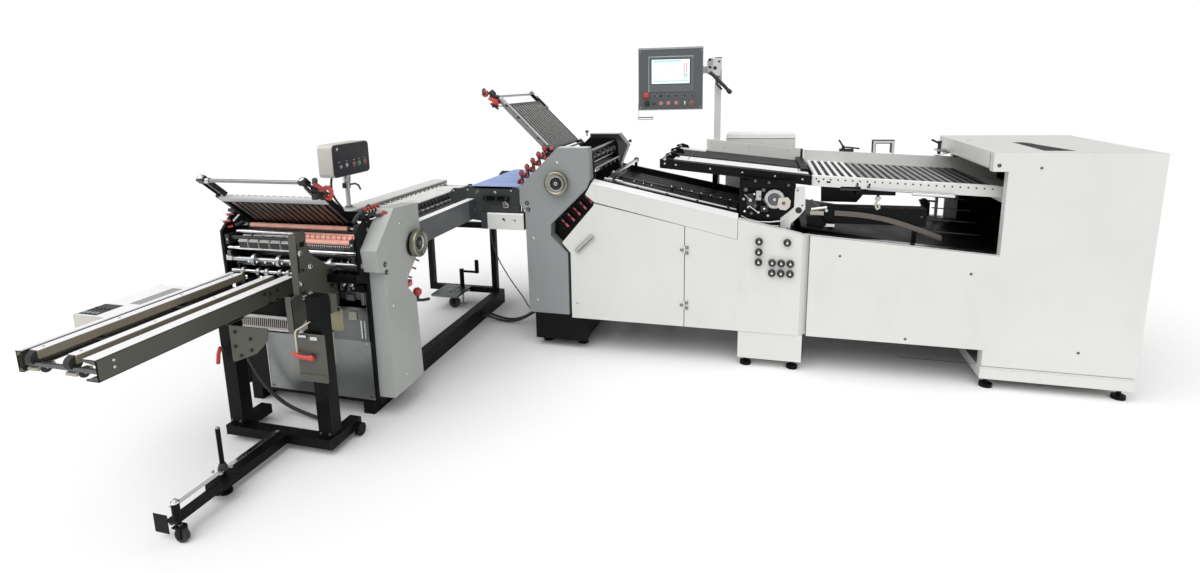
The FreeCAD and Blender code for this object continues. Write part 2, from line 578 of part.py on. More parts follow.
# ---------------------------------------------------------------- tables
def sloped(name, left, left_z, right, right_z, low, high, start, depth):
    """A long bar whose lower and upper edges both follow a sloping line."""
    return plate(name, "XZ", [
        (left, "%s + (%s)" % (left_z, low)), (right, "%s + (%s)" % (right_z, low)),
        (right, "%s + (%s)" % (right_z, high)), (left, "%s + (%s)" % (left_z, high))], start, depth)


def register_table():
    """The inclined alignment table: plate, edge rails, ball rail, crossbar and carrying bars."""
    line = ("table_left", "table_top_left", "table_right", "table_top_right")
    parts = [
        sloped("register_plate", *line, "-table_thick", "0", "table_near", "table_far - table_near"),
        sloped("register_far_rail", *line, "0", "far_rail_high", "table_far - 24", "24"),
        sloped("register_near_bar", *line, "0", "rail_lift", "rail_near - 4", "16")]
    for index, (x, low) in enumerate((("table_left + 90", FRAME_BEND + " + 20"),
                                      ("table_right - 120", "frame_low_z"))):
        parts.append(block("register_bar_%d" % index, (x, INNER_NEAR, low),
                           (x + " + plate_thick", INNER_FAR, low + " + 60")))
        parts.append(block("register_leg_%d" % index, (x, "table_near", low),
                           (x + " + plate_thick", "table_far",
                           on_line(x + " + plate_thick", *line) + " - table_thick + 2")))
    posts = [block("crossbar_post_%s" % name, ("crossbar_x", y, "table_top_left - 40"),
                   ("crossbar_x + crossbar_wide", y + " + 12", "table_top_left + crossbar_lift"))
             for name, y in (("near", "rail_near + 12"), ("far", "table_far - 24"))]
    bridge = block("crossbar", ("crossbar_x", "rail_near", "table_top_left + crossbar_lift - 10"),
                   ("crossbar_x + crossbar_wide", "table_far", "table_top_left + crossbar_lift"))
    node("register_table", fused("register_weld", parts + posts + [bridge]))


def register_cap():
    """The bright cover over the register table's near edge; its top face rises to the back."""
    cover = tray("cap_cover", "XZ", [
        ("cap_tip_x", "cap_tip_z"), ("door_peak_x", "door_peak_z + 8"),
        ("cap_right", "panel_notch_low + seam"),
        ("cap_right", "cap_top_right"), ("cap_left", "cap_top_left")], "0", "cover_depth", "skin", "high")
    corner = V(S.cap_left, 0, S.cap_top_left - 1)
    run = V(S.cap_right - S.cap_left, 0, S.cap_top_right - S.cap_top_left)
    profile = Part.makePolygon([corner, corner + V(0, S.cap_depth, 0),
                                corner + V(0, S.cap_depth, S.cap_rise),
                                corner + V(0, 0, 1), corner])
    top = coded("cap_top", Part.Face(profile).extrude(run))
    node("register_cap", fused("cap_weld", [cover, top]))


def belt_table():
    """The upper table of the belts: near rail, far board, bed, end bar and its rear post."""
    line = ("belts_left", "belts_top_left", "belts_right", "belts_top_right")
    near, far = "head_near + head_thick", "machine_width - head_near - head_thick"
    parts = [
        sloped("belt_rail", *line, "-belt_rail_low", "0", near, "30"),
        sloped("belt_bed", *line, "-bed_drop - bed_thick", "-bed_drop", near + " + 30",
               far + " - (" + near + ") - 42"),
        sloped("belt_board", "board_left", "belts_top_left - 21", "belts_right", "belts_top_right",
               "-bed_drop - bed_thick", "board_high - 6", far + " - 12", "12")]
    table = ("table_left", "table_top_left", "table_right", "table_top_right")
    parts.append(plate("belt_post", "XZ", [
        (x, on_line(x, *where) + drop) for x, where, drop in (
            ("support_x", table, ""), ("support_x + support_post", table, ""),
            ("support_x + support_post", line, " - bed_drop - 2"), ("support_x", line, " - bed_drop - 2"))],
        "belt_far", "support_post"))
    node("belt_table", fused("belt_table_weld", parts))


def roller_table():
    """The upper table of the rollers: near rail, far board and the bars between them."""
    line = ("belts_right + seam", "rollers_top_left", "rollers_right", "rollers_top_right")
    far = "belts_far"
    parts = [
        sloped("roller_rail", *line, "-rollers_rail_high", "0", "rollers_near", "30"),
        sloped("roller_board", *line, "-rollers_rail_high", "board_high - 8", far, "12"),
        sloped("roller_pan", *line, "-rollers_rail_high", "-rollers_rail_high + bed_thick",
               "rollers_near + 30", far + " - rollers_near - 30")]
    for index, x in enumerate(("window_right + 30", "rollers_right - 40")):
        level = on_line(x, *line) + " - rollers_rail_high"
        parts.append(block("roller_bar_%d" % index, (x, INNER_NEAR, level + " - 30"),
                           (x + " + plate_thick", INNER_FAR, level + " + skin")))
    bow = [block("bow_foot_%d" % index, (x, far, "rollers_top_left + board_high - 40"),
                 (x + " + bow_radius * 2", far + " + 12", "rollers_top_left + board_high + bow_high"))
           for index, x in enumerate(("bow_x", "bow_x + bow_long - bow_radius * 2"))]
    bow.append(block("bow_grip",
                     ("bow_x", far, "rollers_top_left + board_high + bow_high - bow_radius * 2"),
                     ("bow_x + bow_long", far + " + 12", "rollers_top_left + board_high + bow_high")))
    node("roller_table", fused("roller_table_weld", parts + bow))


def table_rollers():
    """All the free rollers: the slanted ones of the upper table and those of the cross table."""
    near, far = S.rollers_near + 30, S.belts_far
    left, right = S.belts_right + S.seam, S.rollers_right
    slope = (S.rollers_top_right - S.rollers_top_left) / (right - left)
    room = bar_shape(V(left, near, 0), V(right, far, S.feeder_top))
    heading = V(-math.sin(math.radians(S.roller_skew)), math.cos(math.radians(S.roller_skew)), 0)
    lean = (far - near) * math.tan(math.radians(S.roller_skew))
    pitch = (S.window_right - left - lean - 2 * S.table_roller_radius) / (S.table_roller_count - 1)
    rollers = []
    for index in range(int(S.table_roller_count)):
        x = left + lean + S.table_roller_radius + index * pitch
        z = S.rollers_top_left + slope * (x - lean / 2 - left) - S.roller_drop
        start = V(x, near, z) - heading * S.roller_skew
        length = (far - near) / heading.y + 2 * S.roller_skew
        rollers.append(Part.makeCylinder(S.table_roller_radius, length, start, heading).common(room))
    turned = math.radians(S.cross_skew)
    across = V(math.cos(turned), math.sin(turned), 0)
    first = S.cross_near + 30
    pitch = (S.cross_far - first - 30 - S.cross_roller_long * math.sin(turned)) / (S.cross_roller_count - 1)
    for index in range(int(S.cross_roller_count)):
        start = V(S.cross_left + S.shelf_wide + 20, first + index * pitch,
                  S.cross_low + S.cross_bed_high + S.cross_roller_radius)
        rollers.append(Part.makeCylinder(S.cross_roller_radius, S.cross_roller_long, start, across))
    node("table_rollers", *[coded("roller_%d" % index, shape) for index, shape in enumerate(rollers)])


def loop_belt(left, left_z, right, right_z, radius, near, far):
    """A flat belt round two pulleys whose centres are given: straight runs with round ends."""
    centres = [V(left, 0, left_z), V(right, 0, right_z)]
    run = (centres[1] - centres[0]).normalize()
    up = V(-run.z, 0, run.x)

    def outline(reach):
        points = [centres[0] + up * reach, centres[1] + up * reach, centres[1] + run * reach,
                  centres[1] - up * reach, centres[0] - up * reach, centres[0] - run * reach]
        edges = [Part.LineSegment(points[0], points[1]).toShape(), Part.Arc(*points[1:4]).toShape(),
                 Part.LineSegment(points[3], points[4]).toShape(),
                 Part.Arc(points[4], points[5], points[0]).toShape()]
        return Part.Face(Part.Wire(edges)).extrude(V(0, far - near, 0))

    belt = outline(radius + S.belt_thick).cut(outline(radius))
    belt.translate(V(0, near, 0))
    return belt


def conveyor_belts():
    """The wide belt of the upper table, the striped belts of the register table and the exit belt."""
    shapes = []
    left, right = S.belts_left + 30, S.belts_right - 30
    slope = (S.belts_top_right - S.belts_top_left) / (S.belts_right - S.belts_left)
    rise = 3
    low = [S.belts_top_left + slope * (x - S.belts_left) - S.bed_drop for x in (left, right)]
    outline = Part.makePolygon([V(left, 0, low[0]), V(right, 0, low[1]), V(right, 0, low[1] + rise),
                                V(left, 0, low[0] + rise), V(left, 0, low[0])])
    strip = Part.Face(outline).extrude(V(0, S.belt_far - S.belt_near, 0))
    strip.translate(V(0, S.belt_near, 0))
    shapes.append(strip)
    slope = (S.table_top_right - S.table_top_left) / (S.table_right - S.table_left)
    first, last = S.rail_near + 60, S.belt_far - S.skin
    for index in range(int(S.stripe_count)):
        near = first + index * (last - first - S.stripe_wide) / (S.stripe_count - 1)
        ends = [(x, S.table_top_left + slope * (x - S.table_left))
                for x in (S.crossbar_x + S.ball_pitch, S.table_right - 10)]
        outline = Part.makePolygon([V(ends[0][0], 0, ends[0][1]), V(ends[1][0], 0, ends[1][1]),
                                    V(ends[1][0], 0, ends[1][1] + S.stripe_thick),
                                    V(ends[0][0], 0, ends[0][1] + S.stripe_thick),
                                    V(ends[0][0], 0, ends[0][1])])
        stripe = Part.Face(outline).extrude(V(0, S.stripe_wide, 0))
        stripe.translate(V(0, near, 0))
        shapes.append(stripe)
    centre_z = S.exit_belt_top - S.belt_thick - S.exit_roller_radius
    reach = S.exit_roller_radius + S.belt_thick
    shapes.append(loop_belt(S.exit_belt_left + reach, centre_z, S.exit_belt_right - reach, centre_z,
                            S.exit_roller_radius, S.exit_belt_near, S.unit_width - S.exit_belt_near))
    node("conveyor_belts", *[coded("belt_%d" % index, shape) for index, shape in enumerate(shapes)])


def lower_table():
    """The sloping lower table of the feeder and the rods that turn the paper up to down."""
    line = ("lower_left", "lower_top_left", "lower_right", "lower_top_right")
    parts = [sloped("lower_plate", *line, "-lower_thick", "0", INNER_NEAR, INNER_WIDE)]
    for index in range(int(S.turn_count)):
        angle = math.radians(-75 + 150 * index / (S.turn_count - 1))
        parts.append(rod("turn_rod_%d" % index, "y", (
            "turn_x + turn_radius * %.6f" % math.cos(angle), INNER_NEAR,
            "turn_z + turn_radius * %.6f" % math.sin(angle)), "turn_rod_radius", INNER_WIDE))
    beam = block("lower_beam", ("beam_left", "beam_near", "beam_low"),
                 ("beam_right", "beam_near + beam_deep", "beam_low + beam_high"))
    stays = [block("lower_stay_%d" % index, (x, "beam_near", "lower_top_right + 30"),
                   (x + " + 20", "beam_near + 20", "beam_low"))
               for index, x in enumerate(("beam_left + 40", "beam_right - 60"))]
    node("lower_table", fused("lower_weld", parts[:1] + [beam] + stays), *parts[1:])


# ---------------------------------------------------------------- feeder head
def feeder_head():
    """Two side plates with cross bars, a white bracket and the drum between them."""
    near, far = "head_near", "machine_width - head_near - head_thick"
    sides = []
    for name, start in (("near", near), ("far", far)):
        side = plate("head_" + name, "XZ", [
            ("head_left", "head_low"), ("head_right", "head_low"), ("head_right", "head_top - 34"),
            ("head_left", "head_top - 4")], start, "head_thick")
        sides.append(pierce(side, "XZ", [("drum_x", "drum_z", "drum_radius + run_gap")]))
    bars = [block("head_bar_%d" % index, (x, INNER_NEAR, z), (x + " + 30", INNER_FAR, z + " + 30"))
            for index, (x, z) in enumerate((("head_left", "head_low"), ("head_right - 30", "head_low")))]
    bracket = plate("head_bracket", "XZ", [
        ("head_right - 3", "head_top - 50"), ("head_right + 46", "head_top - 45"),
        ("head_right + 51", "head_top - 163"), ("head_right + 23", "head_top - 202"),
        ("head_right - 19", "head_top - 247"), ("head_right - 23", "head_top - 292"),
        ("head_right - 70", "head_top - 294"), ("head_right - 73", "head_top - 221"),
        ("head_right - 5", "head_top - 158")], "head_near - bracket_thick", "bracket_thick")
    node("feeder_head", fused("head_weld", sides + bars), bracket)


def suction_drum():
    """The perforated drum that draws each sheet off; its ends run in the head's side plates."""
    drum = rod("drum", "y", ("drum_x", "head_near - skin", "drum_z"), "drum_radius",
               "machine_width - 2 * head_near + 2 * skin")
    hollow = rod("drum_hollow", "y", ("drum_x", "head_near - skin - 1", "drum_z"), "drum_radius - skin * 2",
                 "machine_width - 2 * head_near + 2 * skin + 2")
    axle = rod("drum_axle", "y", ("drum_x", "head_near - skin", "drum_z"), "shaft_radius",
               "machine_width - 2 * head_near + 2 * skin")
    webs = [rod("drum_web_%d" % index, "y", ("drum_x", y, "drum_z"), "drum_radius - skin", "8")
            for index, y in enumerate(("head_near", "machine_width - head_near - 8"))]
    node("suction_drum", fused("drum_weld", [less("drum_tube", drum, [hollow]), axle] + webs))


# ---------------------------------------------------------------- fold unit 1
JAW_Z = "chin_z + jaw_rise"
CHEEK_Z = "chin_z + jaw_rise + cheek_rise"
CROWN_Z = "chin_z + jaw_rise + cheek_rise + crown_rise"
SHOULDER_LOW = "shoulder_z - shoulder_high"
ELBOW_Z = "shoulder_z - shoulder_high - elbow_drop"
COVER_1 = [
    ("crown_left", CROWN_Z), ("shoulder_x", "shoulder_z"), ("shoulder_x", SHOULDER_LOW),
    ("elbow_x", ELBOW_Z), ("back_x", "cover_low"), ("knee_x", "cover_low"), ("knee_x", "knee_z"),
    ("hip_x", "waist_z - hip_drop"), ("waist_x", "waist_z"), ("chin_x", "chin_z"), ("jaw_x", JAW_Z),
    ("cheek_x", CHEEK_Z), ("crown_right", CROWN_Z)]
FAR_COVER_1 = COVER_1[:5] + [
    ("frame_left - seam", "cover_low"), ("frame_left - seam", "chin_z"), ("jaw_x + 20", JAW_Z),
    ("far_nose_x", "chin_z + far_nose_rise"), ("crown_right + 20", CROWN_Z + " + far_brow_rise"),
    ("crown_left", CROWN_Z + " + far_brow_rise")]
FOLD_1_X = "wheel_x + 1.4142 * (roller_radius + roller_gap / 2)"
FOLD_1_Z = "wheel_z - 1.4142 * (roller_radius + roller_gap / 2)"


def unit_1_covers():
    """The near and far side covers of fold unit 1."""
    near = tray("unit_near_cover", "XZ", COVER_1, "0", "unit_cover", "skin", "high")
    pierce(near, "XZ", [("wheel_x", "wheel_z", "journal_radius + run_gap")])
    node("near_cover_1", near)
    node("far_cover_1", tray("unit_far_cover", "XZ", FAR_COVER_1, "unit_width - unit_cover", "unit_cover",
                             "skin", "low"))


def side_frames_1():
    """The two black frame plates, their tie rods, the end plate and the plinth below."""
    outline = [
        ("unit_back", UNIT_BOTTOM), ("frame_left", UNIT_BOTTOM), ("frame_left", FRAME_CREST),
        ("jaw_x + 8", JAW_Z), ("cheek_x + 6", CHEEK_Z), ("crown_right - 4", CROWN_Z + " - brow_drop"),
        ("crown_left", CROWN_Z + " - brow_drop"), ("shoulder_x + 9", "unit_slope_z - 10"),
        ("shoulder_x + 9", SHOULDER_LOW), ("unit_back", ELBOW_Z)]
    plates = []
    for name, start in (("near", "unit_cover"), ("far", "unit_width - unit_cover - unit_plate")):
        side = plate("unit_plate_" + name, "XZ", outline, start, "unit_plate")
        plates.append(pierce(side, "XZ", [("wheel_x", "wheel_z", "journal_radius + run_gap"),
                                          (FOLD_1_X, FOLD_1_Z, "journal_radius + run_gap")]))
    inside = "unit_cover + unit_plate"
    wide = "unit_width - 2 * unit_cover - 2 * unit_plate"
    ties = [rod("unit_tie_%d" % index, "y", (x, inside, z), "tie_radius", wide)
            for index, (x, z) in enumerate((
        ("unit_back + 40", UNIT_BOTTOM + " + 60"), ("frame_left - 40", UNIT_BOTTOM + " + 60"),
        ("unit_back + 40", ELBOW_Z + " - 40"), ("cheek_x - 40", CHEEK_Z)))]
    plinth = block("unit_plinth", ("plinth_back", "unit_cover - 60", "plinth_low"),
                   ("plinth_toe", "unit_width - unit_cover + 20", UNIT_BOTTOM))
    node("side_frames_1", fused("unit_frame_weld", plates + ties + [plinth]))


def levers():
    """The red and black plate setting levers of both fold units."""
    shapes = []
    slope = V(S.crown_left - S.shoulder_x, 0,
              (S.chin_z + S.jaw_rise + S.cheek_rise + S.crown_rise) - S.shoulder_z).normalize()
    foot = V(S.shoulder_x, S.unit_cover - S.lever_thick - S.skin * 16, S.shoulder_z)
    lean = V(-S.lever_wide, 0, S.lever_tall)
    for index in range(int(S.lever_count)):
        low = foot + slope * (S.lever_wide * 1.5 + index * S.lever_pitch)
        edge = slope * S.lever_wide * 1.3
        ring = Part.makePolygon([low, low + edge, low + edge + lean, low + lean, low])
        shapes.append(Part.Face(ring).extrude(V(0, S.lever_thick, 0)))
    slope = V(S.chin_x - S.waist_x, 0, S.chin_z - S.waist_z).normalize()
    outward = V(slope.z, 0, -slope.x)
    for index in range(int(S.lever_count)):
        low = (V(S.waist_x, S.lever_out, S.waist_z) + outward * S.lever_wide
               + slope * (S.low_lever_first + index * S.lever_pitch))
        edge = slope * S.lever_wide
        ring = Part.makePolygon([low, low + edge, low + edge + outward * S.low_lever_long,
                                 low + outward * S.low_lever_long, low])
        shapes.append(Part.Face(ring).extrude(V(0, S.unit_cover - S.lever_out, 0)))
    for index in range(int(S.lever_count)):
        low = V(S.frame2_right - S.unit_plate, S.frame2_brow_y + index * S.lever_pitch / 2, S.frame2_top)
        shapes.append(bar_shape(low, low + V(S.unit_plate, S.lever_wide, S.lever_tall / 2)))
    node("plate_levers", *[coded("lever_%d" % index, shape) for index, shape in enumerate(shapes)])


def roller(name, x_or_y, z, start, end, axis, radius, journal_start, journal_end):
    """A roller with its two journals, along one axis."""
    spots = {"y": ((x_or_y, start, z), (x_or_y, journal_start, z)),
             "x": ((start, x_or_y, z), (journal_start, x_or_y, z))}[axis]
    barrel = rod(name + "_barrel", axis, spots[0], radius, "(%s) - (%s)" % (end, start))
    journal = rod(name + "_journal", axis, spots[1], "journal_radius",
                  "(%s) - (%s)" % (journal_end, journal_start))
    return fused(name + "_weld", [barrel, journal])


def wheel(name, axis, centre, outward):
    """A dished handwheel: ring, web and hub on a shaft end, drawn along one axis."""
    ring = rod(name + "_ring", axis, centre(outward[0], outward[1]), "wheel_radius", "wheel_thick")
    dish = rod(name + "_dish", axis, centre(outward[2], outward[3]), "wheel_radius - 14",
               "wheel_thick - 10")
    hub = rod(name + "_hub", axis, centre(outward[0], outward[1]), "hub_radius", "wheel_thick")
    bore = rod(name + "_bore", axis, centre(outward[0], outward[1]), "journal_radius", "wheel_thick - 6")
    if outward[4]:
        bore = rod(name + "_bore_in", axis, centre(outward[5], outward[6]), "journal_radius",
                   "wheel_thick - 6")
    return less(name + "_bored", fused(name + "_weld", [less(name + "_cup", ring, [dish]), hub]), [bore])


def unit_1_rollers():
    """The feed roller with the handwheel on its shaft and the fold roller geared to it."""
    inside, far = "unit_cover + unit_plate + 1", "unit_width - unit_cover - unit_plate - 1"
    node("feed_roller_1", roller("feed_1", "wheel_x", "wheel_z", inside, far, "y", "roller_radius",
                                 "-wheel_off - wheel_thick + 6", "unit_width - unit_cover"))
    node("fold_roller_1", roller("fold_1", FOLD_1_X, FOLD_1_Z, inside, far, "y", "roller_radius",
                                 "unit_cover", "unit_width - unit_cover"))

    def centre(offset, plus):
        return ("wheel_x", "%s + %s" % (offset, plus), "wheel_z")

    node("handwheel_1", wheel("wheel_1", "y", centre, (
        "-wheel_off", "(-wheel_thick)", "-wheel_off", "(-wheel_thick)", True, "-wheel_off",
        "(6 - wheel_thick)")))


def buckle_plate(name, corner, heading, across, wide, arm, grid, bars, back):
    """A buckle plate: two arms, bar grids above and below the paper slot, end rails and a top bar."""
    solids = []
    for start in (0, wide - S.arm_wide):
        solids.append(bar_shape(V(-back, start, 0), V(arm, start + S.arm_wide, S.arm_high)))
    middle = S.arm_high / 2
    pitch = (wide - 2 * S.arm_wide) / (bars + 1)
    for low in (middle - S.slot_high / 2 - S.bar_high, middle + S.slot_high / 2):
        for end in (0, grid - S.bar_rest):
            solids.append(bar_shape(V(end, 0, low), V(end + S.bar_rest, wide, low + S.bar_high)))
        for index in range(int(bars)):
            start = S.arm_wide + pitch * (index + 1) - S.bar_wide / 2
            solids.append(bar_shape(V(0, start, low), V(grid, start + S.bar_wide, low + S.bar_high)))
    solids.append(Part.makeCylinder(S.top_bar_radius, wide, V(arm - S.top_bar_radius * 2, 0, middle),
                                    V(0, 1, 0)))
    shape = solids[0].fuse(solids[1:]).removeSplitter()
    return tilted(name, shape, corner, heading, across)


def stop_strip(name, corner, heading, across, wide, at):
    """The stop that closes the buckle plate's slot: a strip with a nut beyond the far end."""
    middle = S.arm_high / 2
    strip = bar_shape(V(at, S.arm_wide + S.seam, middle - S.slot_high / 2 + S.run_gap),
                      V(at + S.stop_long, wide - S.arm_wide - S.seam, middle + S.slot_high / 2 - S.run_gap))
    return tilted(name, strip, corner, heading, across)


def unit_1_plate():
    """The upper buckle plate of unit 1 at 45 degrees with its stop and the stop's setting knob."""
    angle = math.radians(S.plate_tilt)
    heading = V(-math.cos(angle), 0, math.sin(angle))
    across = V(0, 1, 0)
    corner = V(S.plate_base_x, S.unit_cover + S.unit_plate, S.plate_base_z)
    wide = S.unit_width - 2 * S.unit_cover - 2 * S.unit_plate
    back = S.lever_pitch * 2
    node("fold_plate_1", buckle_plate("plate_1", corner, heading, across, wide, S.arm_long, S.grid_long,
                                      S.grid_bars, back))
    node("plate_stop_1", stop_strip("stop_1", corner, heading, across, wide, S.stop_at))
    knob = Part.makeCylinder(S.stop_knob_radius, S.stop_knob_long,
                             V(S.arm_long, S.arm_wide / 2, S.arm_high / 2),
                             V(1, 0, 0))
    node("stop_knob_1", tilted("stop_knob", knob, corner, heading, across))


# ---------------------------------------------------------------- exit conveyor and cross table
def exit_conveyor():
    """Two side plates with rollers between them, standing on the terminal box."""
    far = "unit_width - exit_near - exit_plate"
    sides = []
    for name, start in (("near", "exit_near"), ("far", far)):
        sides.append(plate("exit_side_" + name, "XZ", [
            ("exit_left", "exit_low + exit_chamfer"), ("exit_left + exit_chamfer", "exit_low"),
            ("web_left", "exit_low"), ("web_left", "web_low"), ("exit_belt_right + 13", "web_low"),
            ("exit_belt_right + 13", "exit_top"), ("exit_left + exit_chamfer", "exit_top"),
            ("exit_left", "exit_top - exit_chamfer")], start, "exit_plate"))
    level = "exit_belt_top - belt_thick - exit_roller_radius"
    reach = "(exit_roller_radius + belt_thick)"
    inside = "exit_near + exit_plate"
    wide = "unit_width - 2 * exit_near - 2 * exit_plate"
    rollers = []
    for name, x in (("left", "exit_belt_left + " + reach), ("right", "exit_belt_right - " + reach)):
        rollers.append(rod("exit_roller_" + name, "y", (x, inside, level), "exit_roller_radius", wide))
    tie = block("exit_tie", ("web_left + 20", inside, "exit_low - 40"), ("web_left + 60", far, "exit_low"))
    boxes = [block("exit_box", ("web_left", "exit_near - 14", "box_low"),
                   ("unit_back", "unit_cover + unit_plate", "web_low")),
             block("exit_box_far", ("web_left", "unit_width - unit_cover - unit_plate", "box_low"),
                   ("unit_back", "unit_width - exit_near", "web_low"))]
    node("exit_conveyor", fused("exit_weld", sides + rollers + [tie] + boxes))


CROSS_RIGHT = "frame2_right + cover2_deep"
POST_X = "cross_left + post_in"
CROSS_BED = "cross_low + cross_bed_high"
CROSS_TOP = "cross_low + cross_rail_high"
SHELF_TOP = "cross_low + cross_bed_high + shelf_high"


def cross_table():
    """The table that turns the run: near rail, bed, far guide shelf and the control box's post."""
    right_end, rail_left = "exit_near - 16", CROSS_RIGHT + " - 6"
    parts = [
        block("cross_rail", (rail_left, "cross_near", "cross_low"), (CROSS_RIGHT, right_end, CROSS_TOP)),
        block("cross_bed", ("cross_left", "cross_near", CROSS_BED + " - 30"),
              (rail_left, "cross_far", CROSS_BED)),
        block("cross_shelf", ("cross_left", "cross_near", CROSS_BED),
              ("cross_left + shelf_wide", "cross_far", SHELF_TOP)),
        block("cross_beam", ("cross_left", "cross_near", "cross_low"),
              (rail_left, "cross_near + 40", CROSS_BED)),
        block("cross_far_beam", ("cross_left", "cross_far - 40", "cross_low"),
              (CROSS_RIGHT + " - 200", "cross_far", CROSS_BED)),
        block("cross_left_beam", ("cross_left", "cross_near", "cross_low"),
              ("cross_left + 40", "cross_far", CROSS_BED))]
    post = rod("control_post", "z", (POST_X, "post_y", SHELF_TOP), "post_radius",
               "control_low - (%s) - 4" % SHELF_TOP)
    flange = rod("control_flange", "z", (POST_X, "post_y", SHELF_TOP), "post_flange", "10")
    node("cross_table", fused("cross_weld", parts + [post, flange]))


def control_box():
    """The second control box, which turns on its post."""
    box = block("control_case", (POST_X + " - control_deep / 2", "post_y - control_wide / 2",
                                 "control_low"),
                (POST_X + " + control_deep / 2", "post_y + control_wide / 2", "control_low + control_high"))
    cup = rod("control_cup", "z", (POST_X, "post_y", "control_low - cup_high"), "cup_radius", "cup_high")
    bore = rod("control_bore", "z", (POST_X, "post_y", "control_low - cup_high - 1"),
               "post_radius + run_gap", "cup_high + 1")
    node("control_box", fused("control_weld", [box, less("control_cup_bored", cup, [bore])]))


# ---------------------------------------------------------------- stand, jack and castor
def stand_frame():
    """Base beams on the floor, legs up to the cross table, and the bracket of jack and castor."""
    leg = ("cross_left", "base_right - stand_bar * 2")
    parts = [
        block("base_beam_right", ("base_right - base_beam", "base_front", "0"),
              ("base_right", "base_back", "base_high")),
        block("base_beam_left", ("base_left", "base_front", "0"),
              ("base_left + base_beam", "side_toe", "base_high")),
        block("base_cross_near", ("base_left + base_beam", "base_front", "base_high - stand_bar"),
              ("frame2_right", "base_front + stand_bar", "base_high")),
        block("base_cross_far", ("base_left + base_beam", "side_toe - stand_bar", "base_high - stand_bar"),
              ("frame2_right", "side_toe", "base_high")),
        block("foot_rail", (leg[0], "base_back - stand_bar", "base_high - 28"),
              ("base_right - base_beam", "base_back", "base_high + 12")),
        block("upper_rail", (leg[0], "base_back - stand_bar", "stand_rail_z"),
              ("base_right + 190", "base_back", "stand_rail_z + stand_bar"))]
    for index, x in enumerate(leg):
        parts.append(block("stand_leg_%d" % index, (x, "base_back - stand_bar", "base_high - 28"),
                           (x + " + stand_bar", "base_back", "cross_low - stand_bar")))
        parts.append(block("stand_top_%d" % index, (x, "cross_near", "cross_low - stand_bar"),
                           (x + " + stand_bar", "base_back", "cross_low")))
    bracket = block("jack_bracket", ("castor_x - bracket_tail", "castor_y - bracket_front", "base_high"),
                    ("jack_x + bracket_side", "base_back - stand_bar", "base_high + 12"))
    sleeve = rod("jack_sleeve", "z", ("jack_x", "jack_y", "base_high"), "jack_radius + 8",
                 "jack_top - base_high - 36")
    bores = [rod("jack_bore", "z", ("jack_x", "jack_y", "base_high - 1"), "jack_radius + run_gap",
                 "jack_top"),
             rod("castor_bore", "z", ("castor_x", "castor_y", "base_high - 1"), "castor_stem + run_gap",
                 "14")]
    node("stand_frame", fused("stand_weld", parts + [less("jack_holder", fused("jack_stock",
                                                                               [bracket, sleeve]), bores)]))


def jack():
    """The foot with its screw and the crank that winds it."""
    pad = rod("jack_pad_disc", "z", ("jack_x", "jack_y", "0"), "jack_pad", "jack_pad_thick")
    screw = rod("jack_screw", "z", ("jack_x", "jack_y", "0"), "jack_radius", "jack_top")
    node("jack_foot", fused("jack_foot_weld", [pad, screw]))
    level = "jack_top - 36 + seam / 10"
    hub = rod("crank_hub", "z", ("jack_x", "jack_y", level), "jack_radius + 8", "36 - seam")
    arm = block("crank_arm", ("jack_x", "jack_y - crank_bar / 2", level + " + 10"),
                ("jack_x + crank_long", "jack_y + crank_bar / 2", level + " + 10 + crank_bar"))
    grip = rod("crank_grip", "z", ("jack_x + crank_long - crank_bar", "jack_y", level + " + 10"),
               "crank_bar", "crank_grip")
    bore = rod("crank_bore", "z", ("jack_x", "jack_y", level + " - 1"), "jack_radius + run_gap", "40")
    node("jack_crank", less("crank_cut", fused("crank_weld", [hub, arm, grip]), [bore]))


def castor(prefix, x, y, radius, wide, trail, top, stem):
    """A swivel castor: a fork under a plate with its stem, and the wheel on a fixed axle."""
    centre = "%s + %s" % (x, trail)
    roof = "2 * %s + castor_gap" % radius
    half = "(%s / 2 + castor_gap)" % wide
    parts = [
        block(prefix + "_plate", ("%s - %s / 2" % (x, radius), "%s - %s - fork_thick" % (y, half), roof),
              (centre + " + castor_axle * 2", "%s + %s + fork_thick" % (y, half), roof + " + fork_plate")),
        rod(prefix + "_stem", "z", (x, y, roof), "castor_stem", "%s - (%s)" % (top, roof)),
        rod(prefix + "_axle", "y", (centre, "%s - %s" % (y, half), radius), "castor_axle",
            "2 * (%s)" % half)]
    for name, start in (("near", "%s - %s - fork_thick" % (y, half)), ("far", "%s + %s" % (y, half))):
        parts.append(block(prefix + "_cheek_" + name,
                           (centre + " - castor_axle * 2", start, radius + " - castor_axle * 2"),
                           (centre + " + castor_axle * 2", start + " + fork_thick", roof)))
    fork = fused(prefix + "_fork_weld", parts)
    tyre = rod(prefix + "_tyre", "y", (centre, "%s - %s / 2" % (y, wide), radius), radius, wide)
    bore = rod(prefix + "_wheel_bore", "y", (centre, "%s - %s / 2 - 1" % (y, wide), radius),
               "castor_axle + run_gap", wide + " + 2")
    return fork, less(prefix + "_wheel_cut", tyre, [bore])


TONGUE_RIGHT = "tongue_left + tongue_wide"
FRONT_CASTOR_X = "tongue_left + tongue_wide + castor_out"


def castors():
    """The castor of the cross table's stand and the front castor of the delivery stand."""
    fork, tyre = castor("castor", "castor_x", "castor_y", "castor_radius", "castor_wide", "castor_trail",
                        "base_high + 12", "castor_stem")
    node("stand_caster_fork", fork)
    node("stand_caster_wheel", tyre)
    fork, tyre = castor("front", FRONT_CASTOR_X, "front_castor_y", "front_castor_radius",
                        "front_castor_wide",
                        "castor_trail / 2", "front_castor_stem", "castor_stem")
    node("front_caster_fork", fork)
    node("front_caster_wheel", tyre)


